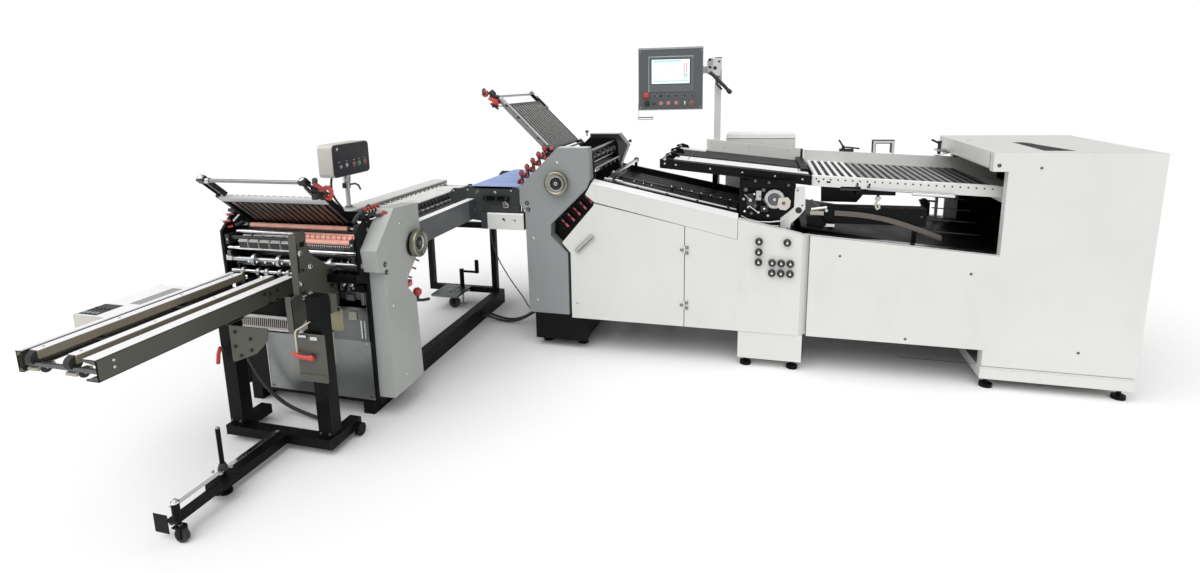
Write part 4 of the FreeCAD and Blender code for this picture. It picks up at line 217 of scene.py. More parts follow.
WHITE = (0.68, 0.685, 0.66)
FINISHES = {
    "panel_white": (powder_coat, WHITE),
    # bright_white: a brighter copy of the panel white, a painted highlight on top faces and rims where the
    # light from above falls.
    "bright_white": (powder_coat, (0.93, 0.93, 0.93), 0.35, 0.1, 0.1),
    "cover_grey": (powder_coat, (0.26, 0.275, 0.275), 0.42, 0.3, 0.3),
    "pale_cover": (powder_coat, (0.4, 0.415, 0.4), 0.42, 0.3, 0.3),
    "rail_grey": (powder_coat, (0.52, 0.53, 0.54), 0.4, 0.25, 0.3),
    "frame_black": (powder_coat, (0.004, 0.0045, 0.005), 0.4, 0.12, 0.2, 0.12),
    "stand_black": (powder_coat, (0.0035, 0.004, 0.004), 0.42, 0.15, 0.12, 0.1),
    "olive": (powder_coat, (0.075, 0.075, 0.06), 0.42, 0.35, 0.5),
    "beige": (powder_coat, (0.56, 0.52, 0.43), 0.5, 0.2, 0.3),
    "steel": (metal, (0.56, 0.57, 0.58)),
    "bright_steel": (metal, (0.66, 0.67, 0.67), 0.2),
    "dark_steel": (metal, (0.16, 0.16, 0.17), 0.36),
    "chrome": (metal, (0.86, 0.87, 0.88), 0.09, (1, 1, 1), 0.05),
    "aluminium": (metal, (0.8, 0.8, 0.8), 0.34, (1, 30, 30)),
    "bronze_bar": (metal, (0.17, 0.15, 0.135), 0.34),
    "champagne": (metal, (0.34, 0.32, 0.26), 0.3, (1, 1, 1), 0.2),
    "black_plastic": (moulded, (0.013, 0.013, 0.014), 0.4),
    "black_rubber": (moulded, (0.02, 0.02, 0.021), 0.7, 0.35, 500.0),
    "red_plastic": (moulded, (0.58, 0.055, 0.04), 0.34, 0.1),
    "dull_red": (moulded, (0.36, 0.05, 0.05), 0.42, 0.15),
    "white_plastic": (moulded, (0.78, 0.78, 0.76), 0.38, 0.1),
    "yellow_plastic": (moulded, (0.8, 0.55, 0.03), 0.4, 0.1),
    "green_plastic": (moulded, (0.02, 0.4, 0.1), 0.35, 0.1),
    "pink_plastic": (moulded, (0.75, 0.2, 0.25), 0.35, 0.1),
    "pale_grey_plastic": (moulded, (0.5, 0.5, 0.5), 0.42, 0.1),
    "salmon_rubber": (moulded, (0.92, 0.47, 0.37), 0.42, 0.15, 400.0),
    "blue_belt": (woven, (0.36, 0.47, 0.82)),
    "black_belt": (woven, (0.018, 0.018, 0.02)),
    "pale_belt": (woven, (0.06, 0.062, 0.062)),
    "hose_black": (moulded, (0.02, 0.021, 0.023), 0.5, 0.2, 300.0),
    "screen_blue": (glowing, (0.42, 0.66, 0.8), 0.35),
    "screen_white": (glowing, (0.9, 0.95, 1.0), 0.4),
    "screen_dark": (glowing, (0.02, 0.025, 0.035), 0.0, 0.12),
    "screen_cyan": (glowing, (0.1, 0.6, 0.85), 0.45),
    "screen_green": (glowing, (0.25, 0.75, 0.5), 0.35),
    "screen_red": (glowing, (0.7, 0.2, 0.25), 0.35),
    "screen_grey": (glowing, (0.5, 0.62, 0.7), 0.3),
    "screen_face": (powder_coat, (0.098, 0.108, 0.112), 0.36, 0.3, 0.25),
    "screen_bezel": (powder_coat, (0.13, 0.145, 0.15), 0.3, 0.12, 0.25),
    "control_white": (powder_coat, (0.6, 0.58, 0.54), 0.45, 0.4, 0.1),
    "galvanised": (metal, (0.3, 0.315, 0.305), 0.34, (6, 6, 1), 0.15),
    "dark_sheet": (metal, (0.17, 0.175, 0.175), 0.3, (6, 6, 1), 0.2),
    # bright_bronze: a lighter copy of the bar bronze, a painted highlight along the buckle plate's bars.
    "bright_bronze": (metal, (0.42, 0.38, 0.34), 0.22),
    # rail_side: a dark beige for the delivery rails' sides, painted shade.
    "rail_side": (powder_coat, (0.235, 0.205, 0.15), 0.5, 0.2, 0.3),
    "cast_grey": (powder_coat, (0.38, 0.36, 0.31), 0.55, 0.5, 0.3),
    "pale_yellow": (powder_coat, (0.36, 0.34, 0.2), 0.45, 0.3, 0.3),
    "cream": (moulded, (0.6, 0.57, 0.5), 0.42, 0.1),
    "slate_pale": (powder_coat, (0.33, 0.34, 0.34), 0.42, 0.3, 0.2),
    "zinc": (metal, (0.2, 0.21, 0.21), 0.4, (8, 8, 8), 0.2),
    "bar_silver": (metal, (0.33, 0.33, 0.32), 0.34, (1, 1, 1), 0.1),
    "exit_slate": (powder_coat, (0.04, 0.044, 0.042), 0.38, 0.3, 0.3, 0.3),
    # blue_slate: a dark slate laid over shaded zones of the cross rail and the exit conveyor, painted shade.
    "blue_slate": (powder_coat, (0.052, 0.058, 0.064), 0.38, 0.2, 0.2, 0.3),
    # rail_dark: a darker copy of the rail grey, painted shade on the face of the cross rail.
    "rail_dark": (powder_coat, (0.11, 0.118, 0.122), 0.38, 0.3, 0.2, 0.4),
    "shelf_edge": (powder_coat, (0.3, 0.3, 0.29), 0.4, 0.2, 0.2),
    "wavy_sheet": (metal, (0.62, 0.62, 0.61), 0.2, (2.5, 0.6, 1), 0.6),
    "handle_grey": (powder_coat, (0.4, 0.4, 0.39), 0.42, 0.2, 0.2, 0.4),
    "handle_silver": (metal, (0.55, 0.55, 0.54), 0.35, (1, 1, 30), 0.1),
    "rose": (moulded, (0.62, 0.13, 0.15), 0.4, 0.1),
    "dark_red": (moulded, (0.14, 0.014, 0.018), 0.4, 0.1),
    "green_dark": (moulded, (0.03, 0.06, 0.055), 0.3, 0.1),
}
_made = {}


def finish(name):
    """The named finish, made once."""
    if name not in _made:
        maker, *values = FINISHES[name]
        _made[name] = maker(name, *values)
    return _made[name]


# ---------------------------------------------------------------- forms
class Form:
    """Collects closed solids in millimetres from the machine's datum, each with a finish of its own."""

    def __init__(self, first):
        self.mesh = bmesh.new()
        self.finishes = [first]
        self.turn = None

    def slot(self, look):
        """The material slot of a finish; the form's first finish stands for None."""
        if look is None:
            return 0
        if look not in self.finishes:
            self.finishes.append(look)
        return self.finishes.index(look)

    def solid(self, points, faces, look=None):
        """One closed solid from its corner points and faces."""
        if self.turn:
            points = [self.turn @ Vector(point) for point in points]
        corners = [self.mesh.verts.new(point) for point in points]
        made = [self.mesh.faces.new([corners[index] for index in face]) for face in faces]
        for face in made:
            face.material_index = self.slot(look)
        bmesh.ops.recalc_face_normals(self.mesh, faces=made)
        return self

    def block(self, low, high, look=None):
        """A box between two corners."""
        (a, b, c), (d, e, f) = low, high
        points = [(a, b, c), (d, b, c), (d, e, c), (a, e, c), (a, b, f), (d, b, f), (d, e, f), (a, e, f)]
        return self.solid(points, BOX_FACES, look)

    def blocks(self, *rows):
        """Several boxes, each as block takes it."""
        for row in rows:
            self.block(*row)

    def prism(self, outline, axis, low, high, look=None):
        """An outline in the two other axes, drawn out along one axis."""
        def corner(point, level):
            spot = list(point)
            spot.insert("xyz".index(axis), level)
            return spot
        count = len(outline)
        points = [corner(point, low) for point in outline] + [corner(point, high) for point in outline]
        sides = [(i, (i + 1) % count, (i + 1) % count + count, i + count) for i in range(count)]
        return self.solid(points, sides + [tuple(range(count)), tuple(range(count, 2 * count))], look)

    def revolved(self, foot, direction, profile, look, steps, closed=False):
        """Turns pairs of height along the direction and radius around the line from foot."""
        axis = Vector(direction).normalized()
        side = axis.orthogonal().normalized()
        other = axis.cross(side)
        points, rings = [], []
        for height, radius in profile:
            centre = Vector(foot) + axis * height
            if radius < TINY:
                rings.append([len(points)])
                points.append(centre)
                continue
            rings.append(list(range(len(points), len(points) + steps)))
            for index in range(steps):
                angle = 2 * math.pi * index / steps
                points.append(centre + (side * math.cos(angle) + other * math.sin(angle)) * radius)
        if closed:
            points = points[:len(points) - steps]
            rings[-1] = rings[0]
        faces = []
        for lower, upper in zip(rings, rings[1:]):
            for index in range(steps):
                following = (index + 1) % steps
                if len(lower) == 1:
                    faces.append((lower[0], upper[following], upper[index]))
                elif len(upper) == 1:
                    faces.append((lower[index], lower[following], upper[0]))
                else:
                    faces.append((lower[index], lower[following], upper[following], upper[index]))
        return self.solid(points, faces, look)

    def turned(self, foot, direction, rim, look=None, steps=32):
        """A turned solid: pairs of height and radius, with flat ends where the radius isn't zero."""
        profile = list(rim)
        if profile[0][1] > TINY:
            profile.insert(0, (profile[0][0], 0))
        if profile[-1][1] > TINY:
            profile.append((profile[-1][0], 0))
        return self.revolved(foot, direction, profile, look, steps)

    def ring(self, foot, direction, section, look=None, steps=32):
        """A ring: a closed section of heights and radii, turned around the direction."""
        return self.revolved(foot, direction, [*section, section[0]], look, steps, True)

    def bar(self, start, end, radius, look=None, steps=20, chamfer=0.0):
        """A round bar between two points, with small chamfers where asked."""
        start, end = Vector(start), Vector(end)
        length = (end - start).length
        cut = min(chamfer, radius * 0.5, length * 0.3)
        rim = [(0, radius), (length, radius)]
        if cut:
            rim = [(0, radius - cut), (cut, radius), (length - cut, radius), (length, radius - cut)]
        return self.turned(start, end - start, rim, look, steps)

    def pipe(self, points, radius, look=None, steps=12):
        """A tube with mitred corners through the given points."""
        points = [Vector(point) for point in points]
        rings, spots = [], []
        side = (points[1] - points[0]).orthogonal().normalized()
        for index, point in enumerate(points):
            before = (point - points[index - 1]).normalized() if index else None
            after = (points[index + 1] - point).normalized() if index < len(points) - 1 else None
            along = ((before or after) + (after or before)).normalized()
            side = (side - along * side.dot(along)).normalized()
            other = along.cross(side)
            rings.append(list(range(len(spots), len(spots) + steps)))
            for step in range(steps):
                angle = 2 * math.pi * step / steps
                spots.append(point + (side * math.cos(angle) + other * math.sin(angle)) * radius)
        faces = [tuple(rings[0]), tuple(rings[-1])]
        for lower, upper in zip(rings, rings[1:]):
            faces += [(lower[i], lower[(i + 1) % steps], upper[(i + 1) % steps], upper[i])
                      for i in range(steps)]
        return self.solid(spots, faces, look)


def piece(name, form, body, bevel=0.8, replaces=()):
    """Turns a form into a finished piece that rides on a body."""
    mesh = bpy.data.meshes.new(name)
    for vertex in form.mesh.verts:
        vertex.co = (vertex.co + DATUM) / 1000
    form.mesh.to_mesh(mesh)
    form.mesh.free()
    for look in form.finishes:
        mesh.materials.append(finish(look))
    for polygon in mesh.polygons:
        polygon.use_smooth = True
    mesh.set_sharp_from_angle(angle=math.radians(SMOOTH_ANGLE))
    obj = bpy.data.objects.new(name, mesh)
    bpy.context.scene.collection.objects.link(obj)
    if bevel:
        edge = obj.modifiers.new("edge", "BEVEL")
        edge.width = bevel / 1000
        edge.segments = 2
        edge.limit_method = "ANGLE"
        edge.angle_limit = math.radians(EDGE_ANGLE)
        edge.use_clamp_overlap = True
        edge.harden_normals = False
    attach(obj, body)
    if replaces:
        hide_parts(*replaces)
    return obj


def islands(node):
    """The corners of each separate solid of a CAD node, in millimetres from the datum."""
    copy = bmesh.new()
    copy.from_mesh(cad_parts[node].data)
    bmesh.ops.remove_doubles(copy, verts=copy.verts, dist=TINY)
    found, seen = [], set()
    for start in copy.verts:
        if start in seen:
            continue
        group, queue = [], [start]
        seen.add(start)
        while queue:
            vertex = queue.pop()
            group.append(vertex.co * 1000 - DATUM)
            for edge in vertex.link_edges:
                other = edge.other_vert(vertex)
                if other not in seen:
                    seen.add(other)
                    queue.append(other)
        found.append(group)
    copy.free()
    return found


def span_of(points):
    """The lowest and highest corner of some points."""
    return tuple(Vector([pick(point[axis] for point in points) for axis in range(3)]) for pick in (min, max))


def dress(node, look):
    """Gives a carried-over CAD node its finish."""
    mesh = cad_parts[node].data
    mesh.materials.clear()
    mesh.materials.append(finish(look))


# ---------------------------------------------------------------- repeated small pieces
def repeat_tree(name, spread):
    """A node tree that sets one item on points; with spread it makes the points itself along a line."""
    tree = bpy.data.node_groups.new(name, "GeometryNodeTree")
    face = tree.interface
    inputs = [("Item", "NodeSocketObject"), ("Turn", "NodeSocketVector"), ("Size", "NodeSocketVector"),
              ("Finish", "NodeSocketMaterial")]
    if spread:
        inputs += [("Count", "NodeSocketInt"), ("Start", "NodeSocketVector"), ("End", "NodeSocketVector"),
                   ("Wander", "NodeSocketFloat")]
    else:
        inputs = [("Geometry", "NodeSocketGeometry")] + inputs
    for label, kind in inputs:
        face.new_socket(label, in_out="INPUT", socket_type=kind)
    face.new_socket("Geometry", in_out="OUTPUT", socket_type="NodeSocketGeometry")
    nodes, link = tree.nodes, tree.links.new
    given, made = nodes.new("NodeGroupInput"), nodes.new("NodeGroupOutput")
    item = nodes.new("GeometryNodeObjectInfo")
    link(given.outputs["Item"], item.inputs["Object"])
    turn = nodes.new("FunctionNodeEulerToRotation")
    link(given.outputs["Turn"], turn.inputs[0])
    place = nodes.new("GeometryNodeInstanceOnPoints")
    if spread:
        line = nodes.new("GeometryNodeMeshLine")
        line.mode = "END_POINTS"
        link(given.outputs["Count"], line.inputs["Count"])
        link(given.outputs["Start"], line.inputs["Start Location"])
        link(given.outputs["End"], line.inputs["Offset"])
        chance = nodes.new("FunctionNodeRandomValue")
        chance.data_type = "FLOAT_VECTOR"
        chance.inputs["Min"].default_value = (-1, -1, -1)
        chance.inputs["Seed"].default_value = 7
        wander = nodes.new("ShaderNodeVectorMath")
        wander.operation = "SCALE"
        link(chance.outputs[0], wander.inputs[0])
        link(given.outputs["Wander"], wander.inputs["Scale"])
        shift = nodes.new("GeometryNodeSetPosition")
        link(line.outputs[0], shift.inputs["Geometry"])
        link(wander.outputs[0], shift.inputs["Offset"])
        link(shift.outputs[0], place.inputs["Points"])
    else:
        link(given.outputs["Geometry"], place.inputs["Points"])
    link(item.outputs["Geometry"], place.inputs["Instance"])
    link(turn.outputs[0], place.inputs["Rotation"])
    link(given.outputs["Size"], place.inputs["Scale"])
    real = nodes.new("GeometryNodeRealizeInstances")
    coat = nodes.new("GeometryNodeSetMaterial")
    link(place.outputs[0], real.inputs[0])
    link(real.outputs[0], coat.inputs["Geometry"])
    link(given.outputs["Finish"], coat.inputs["Material"])
    link(coat.outputs[0], made.inputs[0])
    return tree


_items = {}


def item(kind):
    """A small prototype, one millimetre round or long unless its name tells otherwise, made once."""
    if kind in _items:
        return _items[kind]
    form = Form("steel")
    if kind == "screw":
        form.turned((0, 0, 0), UP, [(0, 1), (0.25, 0.97), (0.42, 0.8), (0.46, 0.5), (0.2, 0.42)], steps=12)
    elif kind == "bolt":
        form.turned((0, 0, 0), UP, [(0, 1.3), (0.2, 1.3), (0.2, 1), (0.9, 1), (1, 0.85), (1, 0.5),
                                    (0.5, 0.45)], steps=12)
    elif kind == "ball":
        form.turned((0, 0, -1), UP, [(1 - math.cos(math.radians(a)), math.sin(math.radians(a)))
                                     for a in range(0, 181, 20)], steps=14)
    elif kind == "rod":
        form.turned((0, 0, -0.5), UP, [(0, 0.42), (0.03, 0.5), (0.97, 0.5), (1, 0.42)], steps=14)
    elif kind == "pit":
        form.turned((0, 0, 0), UP, [(0, 1), (0.12, 1), (0.14, 0.8), (0.05, 0.7)], steps=14)
    elif kind == "bristle":
        form.turned((0, 0, 0), UP, [(0, 0.5), (1, 0.28)], steps=4)
    else:
        form.block((-0.5, -0.5, -0.5), (0.5, 0.5, 0.5))
    mesh = bpy.data.meshes.new("item_" + kind)
    form.mesh.to_mesh(mesh)
    form.mesh.free()
    for polygon in mesh.polygons:
        polygon.use_smooth = kind != "slab"
    mesh.set_sharp_from_angle(angle=math.radians(ITEM_ANGLE))
    _items[kind] = bpy.data.objects.new("item_" + kind, mesh)
    return _items[kind]


def repeats(name, body, specs):
    """Sets rows and groups of one item each, joined to one plain mesh that rides on a body.

    A spec is (item, finish, size, turn, points) or (item, finish, size, turn, start, end, count[, wander]).
    The size is one number or one for each axis, and the turn is in degrees.
    """
    joined = bmesh.new()
    looks = []
    for kind, look, size, turn, *where in specs:
        spread = len(where) > 1
        label = "row" if spread else "spots"
        tree = bpy.data.node_groups.get(label) or repeat_tree(label, spread)
        base = bpy.data.meshes.new("base")
        if not spread:
            base.from_pydata([at(*spot) for spot in where[0]], [], [])
        host = bpy.data.objects.new("host", base)
        bpy.context.scene.collection.objects.link(host)
        work = host.modifiers.new("repeat", "NODES")
        work.node_group = tree
        values = {"Item": item(kind), "Turn": [math.radians(angle) for angle in turn],
                  "Size": [value / 1000 for value in (size if isinstance(size, tuple) else (size,) * 3)],
                  "Finish": finish(look)}
        if spread:
            start, end, count = where[:3]
            values.update({"Count": count, "Start": at(*start), "End": at(*end),
                           "Wander": (where[3] if len(where) > 3 else 0.0) / 1000})
        for socket in tree.interface.items_tree:
            if socket.in_out == "INPUT" and socket.name in values:
                work[socket.identifier] = values[socket.name]
        graph = bpy.context.evaluated_depsgraph_get()
        plain = bpy.data.meshes.new_from_object(host.evaluated_get(graph), depsgraph=graph)
        count = len(joined.faces)
        joined.from_mesh(plain)
        joined.faces.ensure_lookup_table()
        if look not in looks:
            looks.append(look)
        for face in joined.faces[count:]:
            face.material_index = looks.index(look)
        host.modifiers.remove(work)
        bpy.data.objects.remove(host)
        bpy.data.meshes.remove(plain)
    mesh = bpy.data.meshes.new(name)
    joined.to_mesh(mesh)
    joined.free()
    for look in looks:
        mesh.materials.append(finish(look))
    obj = bpy.data.objects.new(name, mesh)
    bpy.context.scene.collection.objects.link(obj)
    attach(obj, body)
    return obj


# ---------------------------------------------------------------- settings
class FolderFinish(bpy.types.PropertyGroup):
    """Colours and lights a user would change."""
    lamp_power: FloatProperty(name="Lamp", description="Strength of the large soft lamp overhead",
                              default=2.1, min=0.0)
    sky: FloatProperty(name="Room light", description="Strength of the white room light",
                       default=0.55, min=0.0)
    floor_colour: FloatVectorProperty(name="Floor", description="Colour of the plain floor",
                                      default=(0.92, 0.92, 0.92), subtype="COLOR", min=0.0, max=1.0)


class FolderSizes(bpy.types.PropertyGroup):
    """Sizes of the detailed pieces a user would change."""
    ball: FloatProperty(name="Register ball", description="Radius of the balls on the register table",
                        default=0.009, min=0.001, unit="LENGTH")
    knob: FloatProperty(name="Setting knob", description="Radius of the setting knobs on the panel",
                        default=0.020, min=0.005, unit="LENGTH")
    screw: FloatProperty(name="Screw head", description="Radius of the cover screws' heads",
                         default=0.0055, min=0.001, unit="LENGTH")
    bristles: IntProperty(name="Bristles", description="Bristles in the brush beside the cross table",
                          default=260, min=10)


# ---------------------------------------------------------------- carried-over pieces
CARRIED = {
    "panel_white": ("feeder_near_panel", "feeder_far_panel", "knob_panel", "left_door", "rear_panel",
                    "feeder_base", "feeder_bridge", "roller_table", "hmi_post", "register_cap"),
    "cover_grey": ("near_cover_1", "far_cover_1", "hmi_box"),
    "pale_cover": ("cover_2",),
    "frame_black": ("main_frame", "side_frames_1", "side_frames_2", "feeder_head", "belt_table",
                    "lower_table", "register_table"),
    "stand_black": ("stand_frame", "delivery_stand", "jack_crank", "stand_caster_fork",
                    "front_caster_fork", "levelling_feet"),
    "rail_grey": ("cross_table",),
    "steel": ("jack_foot", "plate_stop_1", "slitter_shaft"),
    "chrome": ("fold_roller_1", "fold_roller_2", "feed_roller_1"),
    "dark_steel": ("turn_roller", "suction_drum"),
    "exit_slate": ("exit_conveyor",),
    "black_rubber": ("stand_caster_wheel", "front_caster_wheel"),
    "black_plastic": ("stop_knob_1",),
}


class FOLDER_OT_carried(bpy.types.Operator):
    """Gives each carried-over CAD piece its procedural finish"""
    bl_idname = "folder.carried"
    bl_label = "Covers, frames and rollers"

    def execute(self, context):
        for look, names in CARRIED.items():
            for name in names:
                dress(name, look)
        return {"FINISHED"}


# ---------------------------------------------------------------- cables
POWER_ROUTE = [(-1034, 320, 130), (-1086, 320, 130), (-1160, 320, 92), (-1236, 316, 42), (-1316, 322, 14),
               (-1394, 332, 14), (-1452, 328, 30), (-1496, 322, 44), (-1530, 322, 44)]
POWER_GAP = 42
ROUTES = {
    "thin_cable": (0.0035, [(-1318, 58, 722), (-1318, 58, 668), (-1304, 58, 590), (-1272, 58, 510),
                            (-1226, 60, 430), (-1176, 66, 350), (-1128, 80, 278), (-1108, 94, 220),
                            (-1080, 106, 182), (-1034, 106, 182)]),
    "power_cable": (0.008, POWER_ROUTE),
    "power_cable_second": (0.008, [(x, y + POWER_GAP, z) for x, y, z in POWER_ROUTE]),
    "delivery_hose": (0.009, [(-2190, -1100, 620), (-2190, -1100, 562), (-2186, -1096, 470),
                              (-2174, -1088, 372), (-2150, -1078, 276), (-2112, -1070, 188),
                              (-2056, -1066, 112), (-1986, -1066, 58), (-1900, -1072, 30),
                              (-1808, -1086, 20), (-1720, -1110, 22), (-1648, -1140, 34),
                              (-1600, -1150, 40), (-1560, -1150, 40)]),
}


class FOLDER_OT_cables(bpy.types.Operator):
    """Lays the cords between the units, each one smooth curve through its route"""
    bl_idname = "folder.cables"
    bl_label = "Cords between the units"

    def execute(self, context):
        for name, (radius, route) in ROUTES.items():
            curve = bpy.data.curves.new(name + "_line", "CURVE")
            curve.dimensions = "3D"
            curve.bevel_depth = radius
            curve.bevel_resolution = 5
            curve.use_fill_caps = True
            spline = curve.splines.new("NURBS")
            spline.points.add(len(route) - 1)
            for point, spot in zip(spline.points, route):
                point.co = (*at(*spot), 1)
            spline.order_u = 3
            spline.use_endpoint_u = True
            spline.resolution_u = 12
            curve.materials.append(finish("hose_black"))
            obj = bpy.data.objects.new(name + "_cord", curve)
            context.scene.collection.objects.link(obj)
            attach(obj, "machine")
            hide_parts(name)
        return {"FINISHED"}


# ---------------------------------------------------------------- stage
EYE = (0.45098, -3.06562, 1.57304)
YAW, PITCH, ROLL = (math.radians(angle) for angle in (-16.681, 10.802, 1.486))
SENSOR, LENS, SHIFT = 36.0, 19.243, (0.02555, -0.06694)
FLOOR_REACH, FLOOR_DROP, FLOOR_ROUGH = 30.0, 0.0002, 0.75
BACKDROP = 1.05
# name, place, spread in degrees and share of the overhead lamp's power
LAMPS = (("overhead", (-0.35, -0.55, 1.0), 70, 1), ("side", (0.9, -0.9, 0.9), 40, 0.15))


def camera_turn():
    """The camera's axes as the rows of a turning matrix, from its yaw, pitch and roll."""
    forward = Vector((math.sin(YAW) * math.cos(PITCH), math.cos(YAW) * math.cos(PITCH), -math.sin(PITCH)))
    level = Vector((math.cos(YAW), -math.sin(YAW), 0))
    down = forward.cross(level)
    right = math.cos(ROLL) * level + math.sin(ROLL) * down
    below = math.cos(ROLL) * down - math.sin(ROLL) * level
    return Matrix((right, -below, -forward)).transposed().to_4x4()


class FOLDER_OT_stage(bpy.types.Operator):
    """Lays the plain floor, hangs the soft lamps and sets up the camera"""
    bl_idname = "folder.stage"
    bl_label = "Floor, lamps and camera"

    def execute(self, context):
        look = context.scene.folder_finish
        self.floor(context.scene, tuple(look.floor_colour))
        self.room(context.scene, look.sky)
        for name, spot, spread, share in LAMPS:
            lamp = bpy.data.lights.new(name, "SUN")
            lamp.angle = math.radians(spread)
            lamp.energy = look.lamp_power * share
            obj = bpy.data.objects.new(name, lamp)
            obj.location = Vector(spot) * 5
            obj.rotation_euler = (-Vector(spot)).to_track_quat("-Z", "Y").to_euler()
            context.scene.collection.objects.link(obj)
        self.camera(context.scene)
        context.scene.view_settings.view_transform = "Standard"
        return {"FINISHED"}

    def floor(self, scene, colour):
        """The plain floor, a hair below the feet."""
        mesh = bpy.data.meshes.new("floor")
        mesh.from_pydata([(x * FLOOR_REACH, y * FLOOR_REACH, 0) for x, y in SQUARE], [], [(0, 1, 2, 3)])
        ground = Nodes("floor", colour, FLOOR_ROUGH)
        tone = ground.blend(ground.span(ground.noise(0.4, 2), 0.0, 1.0), colour, [c * 0.99 for c in colour])
        ground.link(tone, ground.shader.inputs["Base Color"])
        mesh.materials.append(ground.material)
        slab = bpy.data.objects.new("floor", mesh)
        scene.collection.objects.link(slab)
        slab.location.z = -FLOOR_DROP

    def room(self, scene, sky):
        """White room light, with a brighter backdrop behind the machine."""
        world = bpy.data.worlds.new("room")
        world.use_nodes = True
        room = world.node_tree
        background = room.nodes["Background"]
        background.inputs["Color"].default_value = (1, 1, 1, 1)
        backdrop = room.nodes.new("ShaderNodeMapRange")
        backdrop.inputs["To Min"].default_value = sky
        backdrop.inputs["To Max"].default_value = BACKDROP
        room.links.new(room.nodes.new("ShaderNodeLightPath").outputs["Is Camera Ray"],
                       backdrop.inputs["Value"])
        room.links.new(backdrop.outputs["Result"], background.inputs["Strength"])
        scene.world = world

    def camera(self, scene):
        """The camera at eye height before the machine's left half."""
        camera = bpy.data.cameras.new("camera")
        camera.sensor_fit = "HORIZONTAL"
        camera.sensor_width = SENSOR
        camera.lens = LENS
        camera.shift_x, camera.shift_y = SHIFT
        camera.clip_end = 200
        eye = bpy.data.objects.new("camera", camera)
        eye.matrix_world = Matrix.Translation(EYE) @ camera_turn()
        scene.collection.objects.link(eye)
        scene.camera = eye


# ---------------------------------------------------------------- handwheels, knobs and levers
def handwheel(name, hub, out, body, node):
    """A grooved ring with a stepped web and a dark bored hub, in place of one CAD handwheel."""
    form = Form("champagne")
    form.ring(hub, out, [(0, 44), (0, 68), (1.5, 69.6), (8, 70), (22, 70), (27, 68.4), (29.4, 65), (30, 61),
                         (29.6, 57.5), (28, 55.5), (26.5, 54), (25.5, 50), (25, 44)], steps=64)
    form.ring(hub, out, [(4, 34), (4, 44.2), (21, 44.2), (22.4, 43), (22.8, 41), (22, 37), (20, 35.6),
                         (17, 35), (16, 34)], "steel", 56)
    form.turned(hub, out, [(3, 34.2), (13, 34.2), (14, 32), (14.2, 24), (20, 23.5), (21.2, 22.5), (21.2, 17),
                           (20, 16), (19, 0)], "black_plastic", 40)
    form.turned(hub, out, [(19, 8), (24, 8), (25, 7)], "dark_steel", 6)
    foot = Vector(hub) - Vector(out) * 5
    form.turned(foot, out, [(0, 17), (8.5, 17)], "dark_steel", 32)
    return piece(name, form, body, 0, (node,))


class FOLDER_OT_handwheels(bpy.types.Operator):
    """Builds the two grooved handwheels"""
    bl_idname = "folder.handwheels"
    bl_label = "Handwheels"

    def execute(self, context):
        handwheel("handwheel_first", (-863, -14, 1015), FRONT, "feed_train_1", "handwheel_1")
        handwheel("handwheel_second", (-1386, -711, 812), RIGHT, "fold_train_2", "handwheel_2")
        return {"FINISHED"}


FLUTES, FLUTE_DEPTH, FLUTE_STEPS = 18, 0.9, 72


class FOLDER_OT_knobs(bpy.types.Operator):
    """Builds the fluted setting knobs on the control panel"""
    bl_idname = "folder.knobs"
    bl_label = "Setting knobs"

    def execute(self, context):
        radius = context.scene.folder_sizes.knob * 1000
        form = Form("black_plastic")
        for corners in islands("air_knobs"):
            low, high = span_of(corners)
            centre = Vector(((low.x + high.x) / 2, high.y, (low.z + high.z) / 2))
            ring = []
            for index in range(FLUTE_STEPS):
                angle = 2 * math.pi * index / FLUTE_STEPS
                reach = radius - FLUTE_DEPTH - FLUTE_DEPTH * math.cos(angle * FLUTES)
                ring.append((centre.x + reach * math.cos(angle), centre.z + reach * math.sin(angle)))
            form.prism(ring, "y", low.y + 4, high.y - 3)
            form.turned(centre, FRONT, [(0, 13), (3.2, 13)], "steel", 24)
            form.turned((centre.x, low.y + 4.2, centre.z), FRONT, [(0, radius - 3), (2.2, radius - 4),
                                                                   (3.2, radius - 6), (3.4, 8), (3.2, 0)],
                        steps=36)
            form.turned((centre.x, low.y + 1.2, centre.z), FRONT, [(0, 6.5), (1, 6), (1.2, 0)], "aluminium",
                        20)
            form.block((centre.x - 0.9, low.y + 0.4, centre.z + 8),
                       (centre.x + 0.9, low.y + 1.6, centre.z + 14), "white_plastic")
        piece("setting_knobs", form, "machine", 0, ("air_knobs",))
        return {"FINISHED"}


# ---------------------------------------------------------------- belts
BELT_THICKNESS, WIDE_BELT_STEPS = 3, 13


def strip_loop(form, low, high, thick, drop, look):
    """A flat sloping belt strip with rolled ends in a box; its top falls to drop above the bottom."""
    (x0, z0), (x1, z1) = (low.x + 3, high.z), (high.x - 3, low.z + drop)
    form.prism([(x0, z0), (x1, z1), (x1 + 3, z1 - 1.2), (x1 + 3, z1 - thick), (x0 - 3, z0 - thick),
                (x0 - 3, z0 - 1.2)], "y", low.y, high.y, look)


